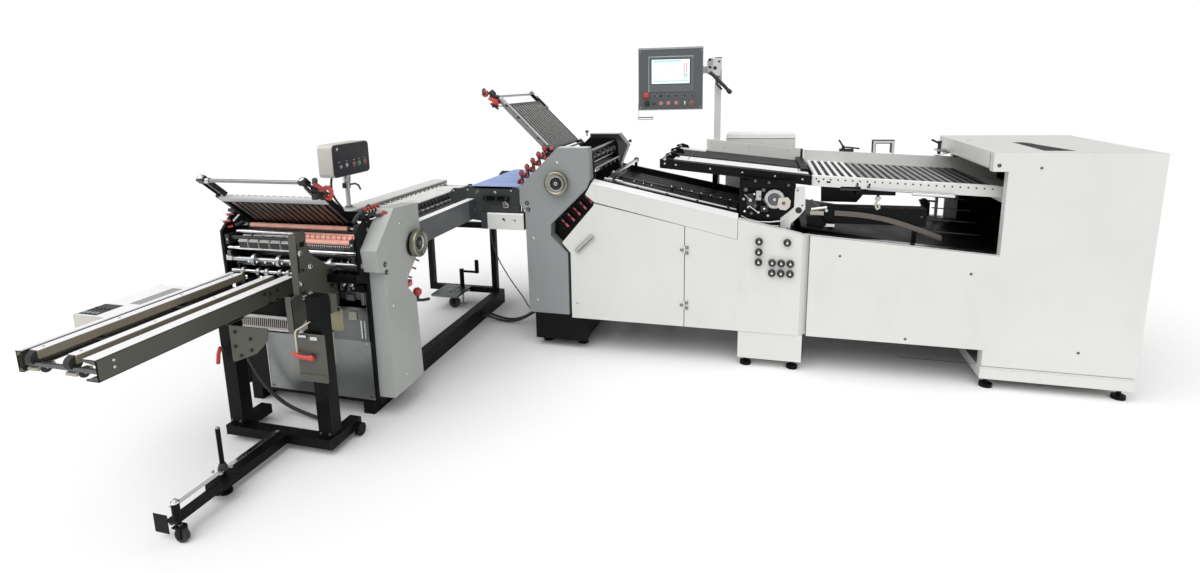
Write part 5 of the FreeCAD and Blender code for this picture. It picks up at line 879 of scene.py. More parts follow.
def wide_loop(form, low, high, look):
    """An endless belt around two rollers, filling a box."""
    middle, radius = (low.z + high.z) / 2, (high.z - low.z) / 2
    outer, inner = [], []
    for centre, first in ((high.x - radius, -90), (low.x + radius, 90)):
        for step in range(WIDE_BELT_STEPS):
            angle = math.radians(first + 15 * step)
            spot = Vector((math.cos(angle), math.sin(angle)))
            for line, reach in ((outer, radius), (inner, radius - BELT_THICKNESS)):
                line.append((centre + spot.x * reach, middle + spot.y * reach))
    count = len(outer)
    points = [(x, y, z) for y in (low.y, high.y) for line in (outer, inner) for x, z in line]
    faces = []
    for index in range(count):
        after = (index + 1) % count
        faces += [(index, after, after + 2 * count, index + 2 * count),
                  (index + count, index + 3 * count, after + 3 * count, after + count),
                  (index, index + count, after + count, after),
                  (index + 2 * count, after + 2 * count, after + 3 * count, index + 3 * count)]
    form.solid(points, faces, look)


class FOLDER_OT_belts(bpy.types.Operator):
    """Builds the wide belt, the register table's striped belts and the exit belt"""
    bl_idname = "folder.belts"
    bl_label = "Conveyor belts"

    def execute(self, context):
        form = Form("black_belt")
        for low, high in [span_of(corners) for corners in islands("conveyor_belts")]:
            if high.x < -1000:
                wide_loop(form, low, high, "blue_belt")
            elif high.y - low.y > 100:
                strip_loop(form, low, high, 3, 3, "black_belt")
            else:
                strip_loop(form, low, high, 2, 2, "pale_belt")
        piece("belts", form, "machine", 0, ("conveyor_belts",))
        return {"FINISHED"}


# ---------------------------------------------------------------- operator screen
SCREEN_TURN = Matrix.Translation((-326, 817, 1587)) @ Matrix.Rotation(math.radians(9.4), 4, "Z")
BUTTON_COLUMNS = (-103, -62, -12, 38, 92, 140)


def push_button(form, u, w, ring, cap, radius=13.0, proud=9.0):
    """A round push button: bevelled ring and a slightly domed cap, facing the operator."""
    form.turned((u, 0, w), FRONT, [(0, radius + 2), (2.4, radius + 1.4), (3.4, radius - 1.4),
                                   (1.6, radius - 2)], ring, 24)
    form.turned((u, -1.5, w), FRONT, [(0, radius - 2.6), (proud - 2, radius - 2.6), (proud - 0.6, radius - 4),
                                      (proud, radius * 0.4)], cap, 24)


class FOLDER_OT_screen(bpy.types.Operator):
    """Dresses the operator screen: face plate, display, buttons, hook and clamp"""
    bl_idname = "folder.screen"
    bl_label = "Operator screen"

    def execute(self, context):
        form = Form("screen_face")
        form.turn = SCREEN_TURN
        form.blocks(
            ((-205, -3, -192), (205, 0, 190)), ((-209, -6, 190), (209, 0, 202), "bright_steel"),
            ((-209, -6, -202), (209, 0, -196), "bright_steel"),
            ((-209, -5, -196), (209, 0, -192), "black_plastic"),
            ((-209, -4, -192), (-205, 0, 190), "cover_grey"),
            ((205, -4, -192), (209, 0, 190), "cover_grey"),
            ((-144, -6, -84), (150, -2, 146), "screen_bezel"),
            ((-144, -7, 140), (150, -5.4, 146), "bright_steel"),
            ((-144, -7, -84), (-140, -5.4, 140), "bright_steel"),
            ((-128, -7.2, -34), (128, -5, 131), "screen_dark"),
            ((-122.5, -7.8, -29.5), (122.5, -7, 125), "screen_white"))
        for low, high, look in (((-112, 112), (70, 119), "screen_cyan"),
                                ((-112, 103), (20, 106), "screen_blue"),
                                ((-110, 92), (-60, 95), "screen_grey"), ((-48, 92), (20, 95), "screen_grey"),
                                ((-110, 70), (-92, 73), "screen_blue"), ((-60, 70), (-52, 73), "screen_blue"),
                                ((-12, 70), (12, 73), "screen_grey"), ((40, 66), (56, 71), "screen_blue"),
                                ((-110, 48), (-98, 51), "screen_blue"), ((-8, 46), (16, 49), "screen_grey"),
                                ((-110, 26), (-96, 29), "screen_green"), ((40, 24), (54, 28), "screen_green"),
                                ((-70, 6), (-50, 9), "screen_dark"),
                                ((-114, -16), (114, -10), "screen_green"),
                                ((84, 16), (90, 100), "screen_red"), ((100, 40), (106, 104), "screen_red"),
                                ((84, 12), (94, 26), "screen_green"), ((96, 12), (108, 34), "screen_green")):
            form.block((low[0], -8.3, low[1]), (high[0], -7.5, high[1]), look)
        for u, cap in zip(BUTTON_COLUMNS, ("green_dark", "black_plastic", *("green_dark",) * 4)):
            push_button(form, u, -109, "bright_steel", cap)
        form.block((-168, -9, -171), (-138, -2, -141), "black_plastic")
        form.block((-161, -10.5, -164), (-145, -8.5, -148), "screen_dark")
        push_button(form, -107, -156, "dark_steel", "green_dark", 12)
        for u, cap in ((-62, "pink_plastic"), (-14, "pink_plastic"), (37, "pink_plastic"),
                       (139, "red_plastic")):
            push_button(form, u, -156, "bright_steel", cap, 13.5, 11)
        push_button(form, 92, -156, "dark_steel", "black_plastic", 12)
        form.block((87, -16, -167), (97, -8, -145), "white_plastic")
        form.turned((-158, 0, -104), FRONT, [(0, 25), (1.6, 25), (2, 24), (2, 10.2), (0, 10.2)],
                    "yellow_plastic", 40)
        for u, w in ((-196, 180), (196, 180), (-196, -184), (196, -184)):
            form.turned((u, -3, w), FRONT, [(0, 4.4), (1.6, 4), (2.2, 2), (1, 1.6)], "steel", 12)
        form.blocks(
            ((-212, -4, -262), (-209.4, 10, -150), "bright_steel"),
            ((-212, -14, -262), (-112, 10, -259.4), "dark_steel"),
            ((-212, -14, -250), (-112, -11.4, -243), "dark_steel"),
            ((-212, -14, -262), (-209.4, -11.4, -243), "dark_steel"),
            ((-114.6, -14, -262), (-112, -11.4, -243), "dark_steel"))
        piece("screen_dressing", form, "screen", 0.6)
        button = Form("red_plastic")
        button.turn = SCREEN_TURN
        button.turned((-158, 0, -104), FRONT, [(-3, 9.6), (8.6, 9.6), (9.2, 17), (12, 19.6), (17, 19.6),
                                               (20.6, 17.5), (23, 12), (23.9, 6), (24, 0)], steps=40)
        piece("stop_button_head", button, "stop_button", 0, ("emergency_stop",))
        clamp = Form("steel")
        clamp.blocks(
            ((-98, 893, 1610), (-8, 896, 1700)), ((-94, 880, 1626), (-56, 893, 1668), "bright_steel"),
            ((-60, 872, 1600), (-8, 893, 1712), "aluminium"))
        clamp.prism([(-96, 1660), (-60, 1700), (-60, 1716), (-88, 1708), (-98, 1676)], "y", 878, 892)
        for x, z, radius in ((-80, 1704, 9), (-46, 1650, 12), (-78, 1656, 9), (-20, 1690, 7)):
            clamp.turned((x, 876, z), FRONT, [(0, radius), (8, radius), (10, radius - 2)], "black_plastic",
                         20)
        clamp.pipe([(-80, 862, 1622), (-56, 860, 1604), (-30, 858, 1578), (10, 856, 1540), (44, 854, 1502)],
                   11, "black_plastic", 14)
        clamp.turned((44, 854, 1502), (0.7, -0.04, -0.7), [(-14, 11), (0, 15), (14, 15), (22, 10), (24, 0)],
                     "black_plastic", 18)
        clamp.pipe([(-24, 860, 1570), (-34, 858, 1548), (-12, 857, 1524), (2, 856, 1512)], 7, "black_plastic",
                   12)
        clamp.block((-10, 864, 1560), (-2, 880, 1640))
        piece("mast_clamp", clamp, "machine", 0.8)
        mast = Form("panel_white")
        mast.block((-51, 898, 1712), (-5, 942, 1718), "black_plastic")
        mast.block((-66, 884, 1024), (10, 956, 1030))
        piece("mast_trim", mast, "machine", 0.8)
        repeats("mast_screws", "machine", [
            ("bolt", "steel", 4, TO_FRONT, [(-28, 896, 1598), (-28, 896, 1682), (-28, 896, 1100)])])
        return {"FINISHED"}


# ---------------------------------------------------------------- second control box
def rounded(centre, size, radius, steps=6):
    """The corner points of a rectangle with rounded corners."""
    ring = []
    for index, (sx, sy) in enumerate(((1, 1), (-1, 1), (-1, -1), (1, -1))):
        middle = (centre[0] + sx * (size[0] / 2 - radius), centre[1] + sy * (size[1] / 2 - radius))
        for step in range(steps + 1):
            angle = math.radians(index * 90 + step * 90 / steps)
            ring.append((middle[0] + radius * math.cos(angle), middle[1] + radius * math.sin(angle)))
    return ring


class FOLDER_OT_control(bpy.types.Operator):
    """Builds the second control box with its black face, buttons and post clamp"""
    bl_idname = "folder.control"
    bl_label = "Second control box"

    def execute(self, context):
        form = Form("pale_cover")
        form.prism(rounded((-300, 1181), (344, 186), 26), "x", -2105, -2012, "control_white")
        form.prism(rounded((-300, 1181), (336, 178), 22), "x", -2012.2, -2005.6, "black_plastic")
        form.ring((-2055, -300, 1048), UP, [(0, 13.2), (0, 22), (3, 24), (41, 24), (41, 13.2)], "aluminium",
                  32)
        for y, z, cap, radius in ((-408, 1147, "pale_grey_plastic", 9), (-354, 1150, "pale_grey_plastic", 11),
                                  (-283, 1148, "red_plastic", 12), (-234, 1148, "green_plastic", 12),
                                  (-176, 1150, "red_plastic", 12)):
            form.turned((-2006, y, z), RIGHT, [(0, radius + 2), (1.6, radius + 1.6), (2, radius - 1)],
                        "steel", 24)
            form.turned((-2005, y, z), RIGHT, [(0, radius - 1.5), (4.2, radius - 2), (4.9, radius - 4)], cap,
                        24)
        for y in (-422, -354, -283, -234, -176):
            form.block((-2006, y - 9, 1172), (-2005.2, y + 9, 1176), "pale_grey_plastic")
        form.turned((-2006, -430, 1247), RIGHT, [(0, 9), (0.8, 8.6)], "bright_steel", 20)
        piece("control_case", form, "control", 1.2, ("control_box",))
        clamp = Form("black_plastic")
        clamp.ring((-2055, -300, 1010), UP, [(0, 13.1), (0, 21), (34, 21), (34, 13.1)], "aluminium", 28)
        clamp.pipe([(-2034, -296, 1030), (-2016, -276, 1032), (-2008, -258, 1020), (-2004, -246, 992)], 5.5,
                   steps=12)
        clamp.block((-2062, -336, 1012), (-2048, -318, 1042))
        clamp.pipe([(-2058, -428, 1092), (-2058, -438, 1060), (-2058, -441, 1020), (-2058, -436, 998),
                    (-2058, -424, 976), (-2058, -404, 948), (-2058, -365, 908), (-2062, -350, 886)], 6.5,
                   "hose_black", 14)
        piece("control_clamp", clamp, "machine", 0.8)
        return {"FINISHED"}


# ---------------------------------------------------------------- plate levers
class FOLDER_OT_levers(bpy.types.Operator):
    """Builds the red and black setting levers of both fold units"""
    bl_idname = "folder.levers"
    bl_label = "Plate levers"

    def execute(self, context):
        form = Form("black_plastic")
        for corners in islands("plate_levers"):
            low, high = span_of(corners)
            middle = (low + high) / 2
            if middle.x < -1400:
                base = Vector((middle.x, middle.y, low.z))
                form.pipe([base, base + Vector((6, -8, 16)), base + Vector((0, -18, 26))], 5, steps=10)
                form.bar(base + Vector((2, -12, 20)), base + Vector((14, -22, 36)), 5.5, "red_plastic", 14,
                         1.5)
                form.turned(base, UP, [(0, 8), (9, 8), (11, 5)], "bright_steel", 16)
            elif middle.z < 950:
                foot = Vector((low.x + 12, middle.y, high.z - 12))
                tip = Vector((high.x - 8, middle.y, low.z + 8))
                form.bar(foot, tip, 5.5, "rose", 14, 2.0)
                form.turned(tip, tip - foot, [(-18, 5.5), (-8, 7.5), (6, 7.5), (9, 5), (10, 0)], "rose", 14)
                form.turned((foot + tip) / 2, tip - foot, [(-9, 7), (9, 7)], "dark_red", 14)
                form.bar(foot - (tip - foot).normalized() * 8, foot, 9, steps=14, chamfer=1.5)
            else:
                foot = Vector((high.x - 10, middle.y, low.z + 4))
                top = Vector((low.x + 4, middle.y, high.z - 6))
                lean = (top - foot).normalized()
                form.bar(foot, top, 8.5, steps=12, chamfer=1.5)
                form.turned(top - lean * 20, lean, [(0, 10), (6, 14), (20, 15), (26, 11), (27, 0)],
                            "dull_red", 16)
                form.turned(top + lean * 4, lean, [(0, 9), (6, 8), (8, 4)], steps=14)
                form.bar(foot + Vector((-24, -14, 6)), foot + Vector((-2, -14, 34)), 8, steps=12, chamfer=1.5)
                form.pipe([foot + Vector((10, -12, 6)), foot + Vector((-2, -16, 20)),
                           foot + Vector((-6, -12, 44))], 6, "dull_red", 12)
                side = foot + Vector((-14, -4, 12))
                form.turned(side, (-0.72, 0, 0.7), [(-12, 8), (4, 9), (10, 12), (16, 12), (20, 8), (21, 0)],
                            "red_plastic", 14)
                form.bar(foot + Vector((0, -10, 4)), side + Vector((4, -10, 10)), 5, "red_plastic", 10, 1)
        piece("setting_levers", form, "machine", 0, ("plate_levers",))
        return {"FINISHED"}


# ---------------------------------------------------------------- small fittings
def round_knob(form, foot, direction, radius, long, look, steps=22):
    """A plain round knob with a soft rim and a dished face."""
    form.turned(foot, direction, [(0, radius * 0.55), (long * 0.28, radius * 0.6), (long * 0.34, radius),
                                  (long * 0.86, radius), (long, radius * 0.86), (long * 0.93, radius * 0.5)],
                look, steps)


def dome_nut(form, foot, direction, radius, look="chrome"):
    """A hexagon nut with a domed cap."""
    form.turned(foot, direction, [(0, radius), (radius * 0.7, radius)], look, 6)
    form.turned(foot, direction, [(radius * 0.68, radius * 0.82), (radius * 1.15, radius * 0.7),
                                  (radius * 1.45, radius * 0.35), (radius * 1.52, 0)], look, 18)


def dome_screw(form, spot, direction, radius, look="bright_steel"):
    """A domed screw head on a thin dark washer."""
    form.turned(spot, direction, [(0, radius * 1.2), (1, radius * 1.2), (1, radius),
                                  (radius * 0.35, radius * 0.92), (radius * 0.6, radius * 0.6),
                                  (radius * 0.66, 0)], look, 22)


def socket_screw(form, spot, direction):
    """A bright screw in a dark socket."""
    form.turned(spot, direction, [(0, 12), (3, 12), (4, 9), (2, 7)], "black_plastic", 24)
    form.turned(Vector(spot) + Vector(direction) * 2, direction, [(0, 4.5), (3, 4)], "bright_steel", 16)


def roller(form, centre, sections):
    """A stepped roller along x: sections give where each starts, its radius and its finish."""
    for (start, radius, look), following in zip(sections, sections[1:]):
        form.bar((start, *centre), (following[0], *centre), radius, look, 28, min(1.5, radius / 5))


# ---------------------------------------------------------------- fold unit 2
LEAN = math.radians(40)
PLATE_2 = Matrix.Translation((0, -930, 953)) @ Matrix((
    (-1, 0, 0, 0), (0, -math.cos(LEAN), math.sin(LEAN), 0),
    (0, math.sin(LEAN), math.cos(LEAN), 0), (0, 0, 0, 1)))


class FOLDER_OT_unit_2_plate(bpy.types.Operator):
    """Builds the slanted buckle plate of fold unit 2 with its arms, bars and setting knobs"""
    bl_idname = "folder.unit_2_plate"
    bl_label = "Fold plate 2"

    def execute(self, context):
        form = Form("frame_black")
        form.turn = PLATE_2
        left, right, bars = 2150, 1598, 15
        pitch = (left - right - 30) / bars
        for index in range(bars):
            near = right + 15 + pitch * (index + 0.5)
            for low, high, look in ((-15, -6, "bronze_bar"), (4, 12, "dark_steel")):
                form.prism([(near - 11, low + 3), (near - 8, low), (near + 8, low), (near + 11, low + 3),
                            (near + 11, high), (near - 11, high)], "y", -44, 222, look)
            # A lighter bronze rod along each bar is a painted highlight on the bar's edge.
            form.bar((near - 8, -44, -12), (near - 8, 214, -12), 3.6, "bright_bronze", 10, 1)
            form.block((near - 10, -54, -16), (near + 4, -30, -8), "bright_steel")
        form.blocks(
            ((right, -50, -3), (left, 226, 2), "black_plastic"), ((right - 20, 30, 2), (left + 20, 56, 14)),
            ((right - 2, 200, -17), (left - 2, 212, -2), "black_plastic"))
        form.prism([(212, -6), (212, -18), (217, -22), (240, -22), (246, -17), (246, -4)], "x", right - 22,
                   left + 6, "rail_grey")
        for start in (right - 24, left):
            form.block((start, -58, -16), (start + 22, 250, 12))
        form.block((right - 21, 40, -17.5), (right - 5, 236, -15), "dark_steel")
        outer = left - 24
        form.blocks(
            ((outer - 7, 240, -12), (outer, 372, 12), "black_plastic"),
            ((outer + 24, 240, -12), (outer + 31, 372, 12)),
            ((outer, 258, -6), (outer + 24, 366, 0), "bright_steel"))
        for step in range(4):
            form.bar((outer - 7, 270 + step * 26, 0), (outer + 31, 270 + step * 26, 0), 5, "dark_steel", 14,
                     1)
        form.block((outer - 4, 364, -16), (outer + 32, 392, 14), "black_plastic")
        form.turned((outer + 14, 384, -2), (0.1, 0.5, 0.8), [(0, 15), (5, 17), (12, 15), (18, 9), (20, 0)],
                    "chrome", 24)
        form.bar((right + 12, 374, -4), (outer, 374, -4), 8.5, "bar_silver", 24, 1.5)
        form.ring((outer - 26, 374, -4), RIGHT, [(0, 8), (0, 13), (22, 13), (22, 8)], "bright_steel", 24)
        form.ring((right + 6, 374, -4), RIGHT, [(0, 8), (0, 15), (16, 15), (16, 8)], "black_plastic", 24)
        form.block((right - 20, 246, -12), (right - 2, 330, 10), "black_plastic")
        form.prism([(right - 14, -10), (right + 14, -10), (right + 14, 10), (right - 14, 10)], "y", 352, 388)
        form.bar((right - 8, 300, 0), (right + 2, 372, 0), 7, "black_plastic", 14, 1)
        piece("fold_plate_two", form, "machine", 0.6, ("fold_plate_2",))
        knobs = Form("black_plastic")
        knobs.turned((-1604, -1214, 1182), (-0.2, -0.5, 1), [(0, 12), (8, 12), (8, 19), (12, 21), (20, 21),
                                                             (24, 18)], steps=26)
        knobs.turned((-1607, -1224, 1204), (-0.2, -0.5, 1), [(0, 13), (3, 15), (6, 11), (7, 0)], "chrome", 20)
        knobs.turned((-1578, -1176, 1186), (0.3, -0.6, 0.7), [(0, 9), (6, 9), (6, 12), (16, 12), (18, 9)],
                     steps=22)
        knobs.pipe([(-1580, -1186, 1188), (-1572, -1176, 1172), (-1560, -1160, 1154)], 10, "dull_red", 14)
        knobs.pipe([(-1600, -1172, 1164), (-1588, -1158, 1150), (-1572, -1142, 1148), (-1554, -1128, 1158)],
                   11, "dull_red", 14)
        knobs.pipe([(-1554, -1128, 1160), (-1546, -1118, 1138), (-1554, -1110, 1116), (-1570, -1106, 1100)],
                   10, "red_plastic", 14)
        knobs.pipe([(-1600, -1146, 1140), (-1588, -1130, 1122), (-1572, -1114, 1102)], 9, "red_plastic", 14)
        knobs.bar((-1582, -1144, 1152), (-1562, -1120, 1122), 9, steps=14, chamfer=1.5)
        knobs.turned((-1582, -1160, 1166), (0.4, -0.7, 0.4), [(0, 8), (10, 7), (12, 4)], "chrome", 18)
        knobs.pipe([(-1618, -1200, 1176), (-1612, -1176, 1146), (-1596, -1146, 1116), (-1574, -1126, 1106)],
                   7, steps=12)
        knobs.pipe([(-1622, -1196, 1160), (-1618, -1170, 1132), (-1604, -1148, 1108)], 2.5, "chrome", 10)
        knobs.block((-1604, -1176, 1108), (-1580, -1128, 1136))
        piece("fold_plate_two_knobs", knobs, "machine", 0)
        return {"FINISHED"}


class FOLDER_OT_unit_2(bpy.types.Operator):
    """Fits fold unit 2 with its rollers, scrapers, shafts, side levers and cabinet sheet"""
    bl_idname = "folder.unit_2"
    bl_label = "Fold unit 2"

    def execute(self, context):
        feed = Form("salmon_rubber")
        roller(feed, (-962, 932), [(-2255, 9.95, "steel"), (-2160, 13, "black_plastic"),
                                   (-2145, 12, "salmon_rubber"), (-1590, 13, "black_plastic"),
                                   (-1574, 9.95, "steel"), (-1485, 9.95, "steel")])
        piece("salmon_feed_roller", feed, "feed_train_2", 0, ("feed_roller_2",))
        form = Form("frame_black")
        # A black sheet behind the rollers stands in for the shaded inside of the unit: painted shade.
        form.block((-2240, -846, 470), (-1500, -842, 990))
        form.block((-2240, -942, 640), (-1500, -846, 644))
        for y, z, radius, look in ((-925, 905, 21, "dark_steel"), (-884, 934, 21, "steel"),
                                   (-905, 862, 21, "steel"), (-925, 818, 21, "dark_steel"),
                                   (-890, 776, 21, "dark_steel")):
            form.bar((-2239, y, z), (-1501, y, z), radius, look, 28, 2)
        roller(form, (-1030, 882), [(-2239, 10.4, "black_plastic"), (-1805, 12, "salmon_rubber"),
                                    (-1508, 10.4, "bright_steel"), (-1501, 10.4, "bright_steel")])
        roller(form, (-1030, 832), [(-2239, 10.4, "chrome"), (-1501, 10.4, "chrome")])
        roller(form, (-1000, 905), [(-2197, 11, "bright_steel"), (-1805, 11, "salmon_rubber"),
                                    (-1510, 11, "salmon_rubber")])
        roller(form, (-1046, 722), [(-2210, 8, "bright_steel"), (-1500, 8, "bright_steel")])
        roller(form, (-980, 742), [(-2236, 14, "dark_steel"), (-1502, 14, "dark_steel")])
        for index in range(5):
            left = -2152 + index * 62
            form.prism([(-1050, 866), (-1050, 872), (-1012, 894), (-1012, 884)], "x", left, left + 50,
                       "pale_grey_plastic")
            form.block((left + 2, -1048, 836), (left + 48, -1014, 868), "black_plastic")
            form.block((left + 52, -1050, 838), (left + 56, -1012, 880), "cast_grey")
        for x in (-2226, -1528):
            form.block((x, -1052, 852), (x + 22, -1000, 900), "black_plastic")
            form.block((x, -1050, 792), (x + 20, -1010, 820), "dark_steel")
        form.block((-2230, -1004, 700), (-2210, -960, 756), "bright_steel")
        form.block((-2238, -1048, 770), (-2206, -1036, 796), "bright_steel")
        for x in (-2150, -2062, -2012, -1936, -1890, -1600, -1560):
            form.ring((x, -1046, 722), RIGHT, [(0, 8), (0, 17), (4, 19), (14, 19), (18, 15), (18, 8)],
                      "bright_steel", 22)
            form.block((x + 2, -1052, 660), (x + 12, -1034, 704), "dark_steel")
            form.turned((x + 30, -1058, 694), (0, -1, 0.2), [(0, 10), (4, 10), (6, 7)], "chrome", 14)
        form.block((-2236, -1010, 640), (-1504, -996, 676))
        form.block((-2236, -1000, 560), (-1504, -988, 600))
        for index, x in enumerate((-1826, -1790, -1600, -1566, -1540)):
            form.pipe([(x, -1008, 800), (x + 6, -1030, 792), (x + 10, -1034, 774), (x + 4, -1020, 760)], 4,
                      "chrome" if index % 2 else "dark_steel", 10)
        piece("unit_two_inner", form, "machine", 0.5)
        repeats("unit_two_rows", "machine", [
            ("rod", "salmon_rubber", (23, 23, 22), TO_RIGHT, (-1800, -1016, 900), (-1514, -1016, 900), 11),
            ("rod", "bright_steel", (26, 26, 3), TO_RIGHT, (-1800, -1026, 858), (-1508, -1026, 858), 29),
            ("rod", "black_plastic", (29, 29, 4), TO_RIGHT, (-1795, -1026, 858), (-1513, -1026, 858), 28),
            ("bolt", "bright_steel", 5, TO_FRONT, (-2212, -1050, 876), (-1517, -1052, 876), 2),
            ("ball", "chrome", 7, UPRIGHT, (-2100, -1052, 770), (-1860, -1052, 770), 6),
            ("bolt", "steel", 6, TO_FRONT, (-2180, -1010, 660), (-1560, -1010, 660), 6)])
        self.levers()
        self.cabinet()
        return {"FINISHED"}

    def levers(self):
        """The curved levers with red tips beside both frame plates."""
        form = Form("black_plastic")
        for y, z, reach in ((-890, 986, 58), (-846, 943, 60), (-802, 883, 62), (-886, 844, 54)):
            base = Vector((-1496, y - 60, z - 6))
            form.pipe([base, base + Vector((14, 14, 20)), base + Vector((30, 34, 10)),
                       base + Vector((reach - 10, 44, 14))], 7.5, steps=12)
            form.pipe([base + Vector((4, 6, -4)), base + Vector((20, 26, -2)), base + Vector((34, 40, 6))], 4,
                      "chrome", 10)
            tip = base + Vector((reach - 12, 46, 12))
            form.pipe([tip, tip + Vector((10, 12, 12)), tip + Vector((24, 18, 2)),
                       tip + Vector((34, 26, -12))], 9, "dull_red", 14)
            round_knob(form, base + Vector((-6, -10, 10)), (-0.2, -1, 0.3), 12, 16, "black_plastic")
            dome_nut(form, base + Vector((6, -14, -10)), FRONT, 6)
        form.block((-1497, -960, 800), (-1488, -880, 1004))
        form.block((-1530, -1010, 900), (-1500, -955, 960))
        form.pipe([(-1520, -1020, 976), (-1512, -990, 1004), (-1500, -960, 1020), (-1488, -930, 1040)], 10,
                  steps=14)
        for y, z, look in ((-1011, 955, "dull_red"), (-1000, 925, "red_plastic"), (-985, 985, "dull_red")):
            base = Vector((-2238, y + 40, z))
            form.pipe([base, base + Vector((-10, -16, 8)), base + Vector((4, -34, 2))], 5, steps=12)
            form.pipe([base + Vector((4, -30, 4)), base + Vector((-18, -44, 4)),
                       base + Vector((-40, -50, 10))], 3, "bright_steel", 10)
            form.bar(base + Vector((-14, -54, 0)), base + Vector((20, -42, 4)), 6, look, 14, 1.5)
        form.block((-2240, -1000, 1000), (-2200, -940, 1016))
        form.bar((-2214, -1000, 955), (-2186, -990, 985), 6, "chrome", 14, 1)
        form.bar((-2214, -990, 930), (-2180, -975, 950), 9, steps=14, chamfer=1)
        form.block((-2262, -1046, 742), (-2256, -1000, 880), "control_white")
        piece("unit_two_levers", form, "machine", 0)

    def cabinet(self):
        """The bare sheet front of the electrical cabinet and the reflecting guard beside it."""
        form = Form("galvanised")
        form.blocks(
            ((-2107, -998, 92), (-1501, -991, 392)), ((-2107, -1000, 92), (-2101, -991, 392), "steel"),
            ((-2236, -996, 392), (-1504, -991, 452), "stand_black"),
            ((-2199, -1100, 455), (-1800, -992, 517), "control_white"),
            # The vent box's top slab is drawn in the brighter white: a painted highlight of its lit top.
            ((-2203, -1106, 513), (-1796, -992, 519), "bright_white"),
            ((-2203, -1106, 451), (-1796, -1090, 457), "bright_white"),
            ((-2211, -1090, 519), (-1660, -1060, 634), "stand_black"),
            ((-1700, -1000, 392), (-1502, -994, 640), "dark_sheet"),
            ((-1600, -1012, 598), (-1560, -1000, 628), "dark_steel"),
            ((-1518, -1016, 580), (-1504, -1000, 640), "steel"),
            ((-1600, -1008, 500), (-1560, -1000, 540), "cast_grey"),
            ((-1540, -1006, 410), (-1532, -1000, 500), "bright_steel"),
            ((-1522, -1006, 410), (-1514, -1000, 500), "bright_steel"))
        form.turned((-1560, -1008, 600), FRONT, [(0, 5), (2, 5)], "black_plastic", 16)
        piece("cabinet_two_sheet", form, "machine", 0.6)
        repeats("cabinet_two_rows", "machine", [
            ("slab", "stand_black", (5, 3, 40), (0, 10, 0), (-2190, -1099.5, 486), (-1812, -1099.5, 486), 34),
            ("pit", "stand_black", 5, TO_FRONT, (-2088, -998, 106), (-1520, -998, 106), 3),
            ("screw", "steel", 6, TO_FRONT, (-2088, -998, 380), (-1520, -998, 380), 3)])


# ---------------------------------------------------------------- delivery
RAILS = (-2165, -1985)
CHANNEL_BOTTOM, CHANNEL_TOP, CHANNEL_SIDE, MOUNT_FACE, BRACKET_FACE = 634, 714, -1840, -1644, -1326
MOUNT_PLATE = [(-1290, 975), (-1252, 978), (-1203, 974), (-1190, 955), (-1195, 926), (-1184, 890),
               (-1169, 859), (-1124, 827), (-1063, 783), (-1041, 747), (-1045, 712), (-1010, 699),
               (-1000, 668), (-1008, 576), (-1022, 556), (-1087, 564), (-1097, 640), (-1180, 640),
               (-1224, 600), (-1305, 540), (-1321, 554), (-1327, 700), (-1290, 712)]


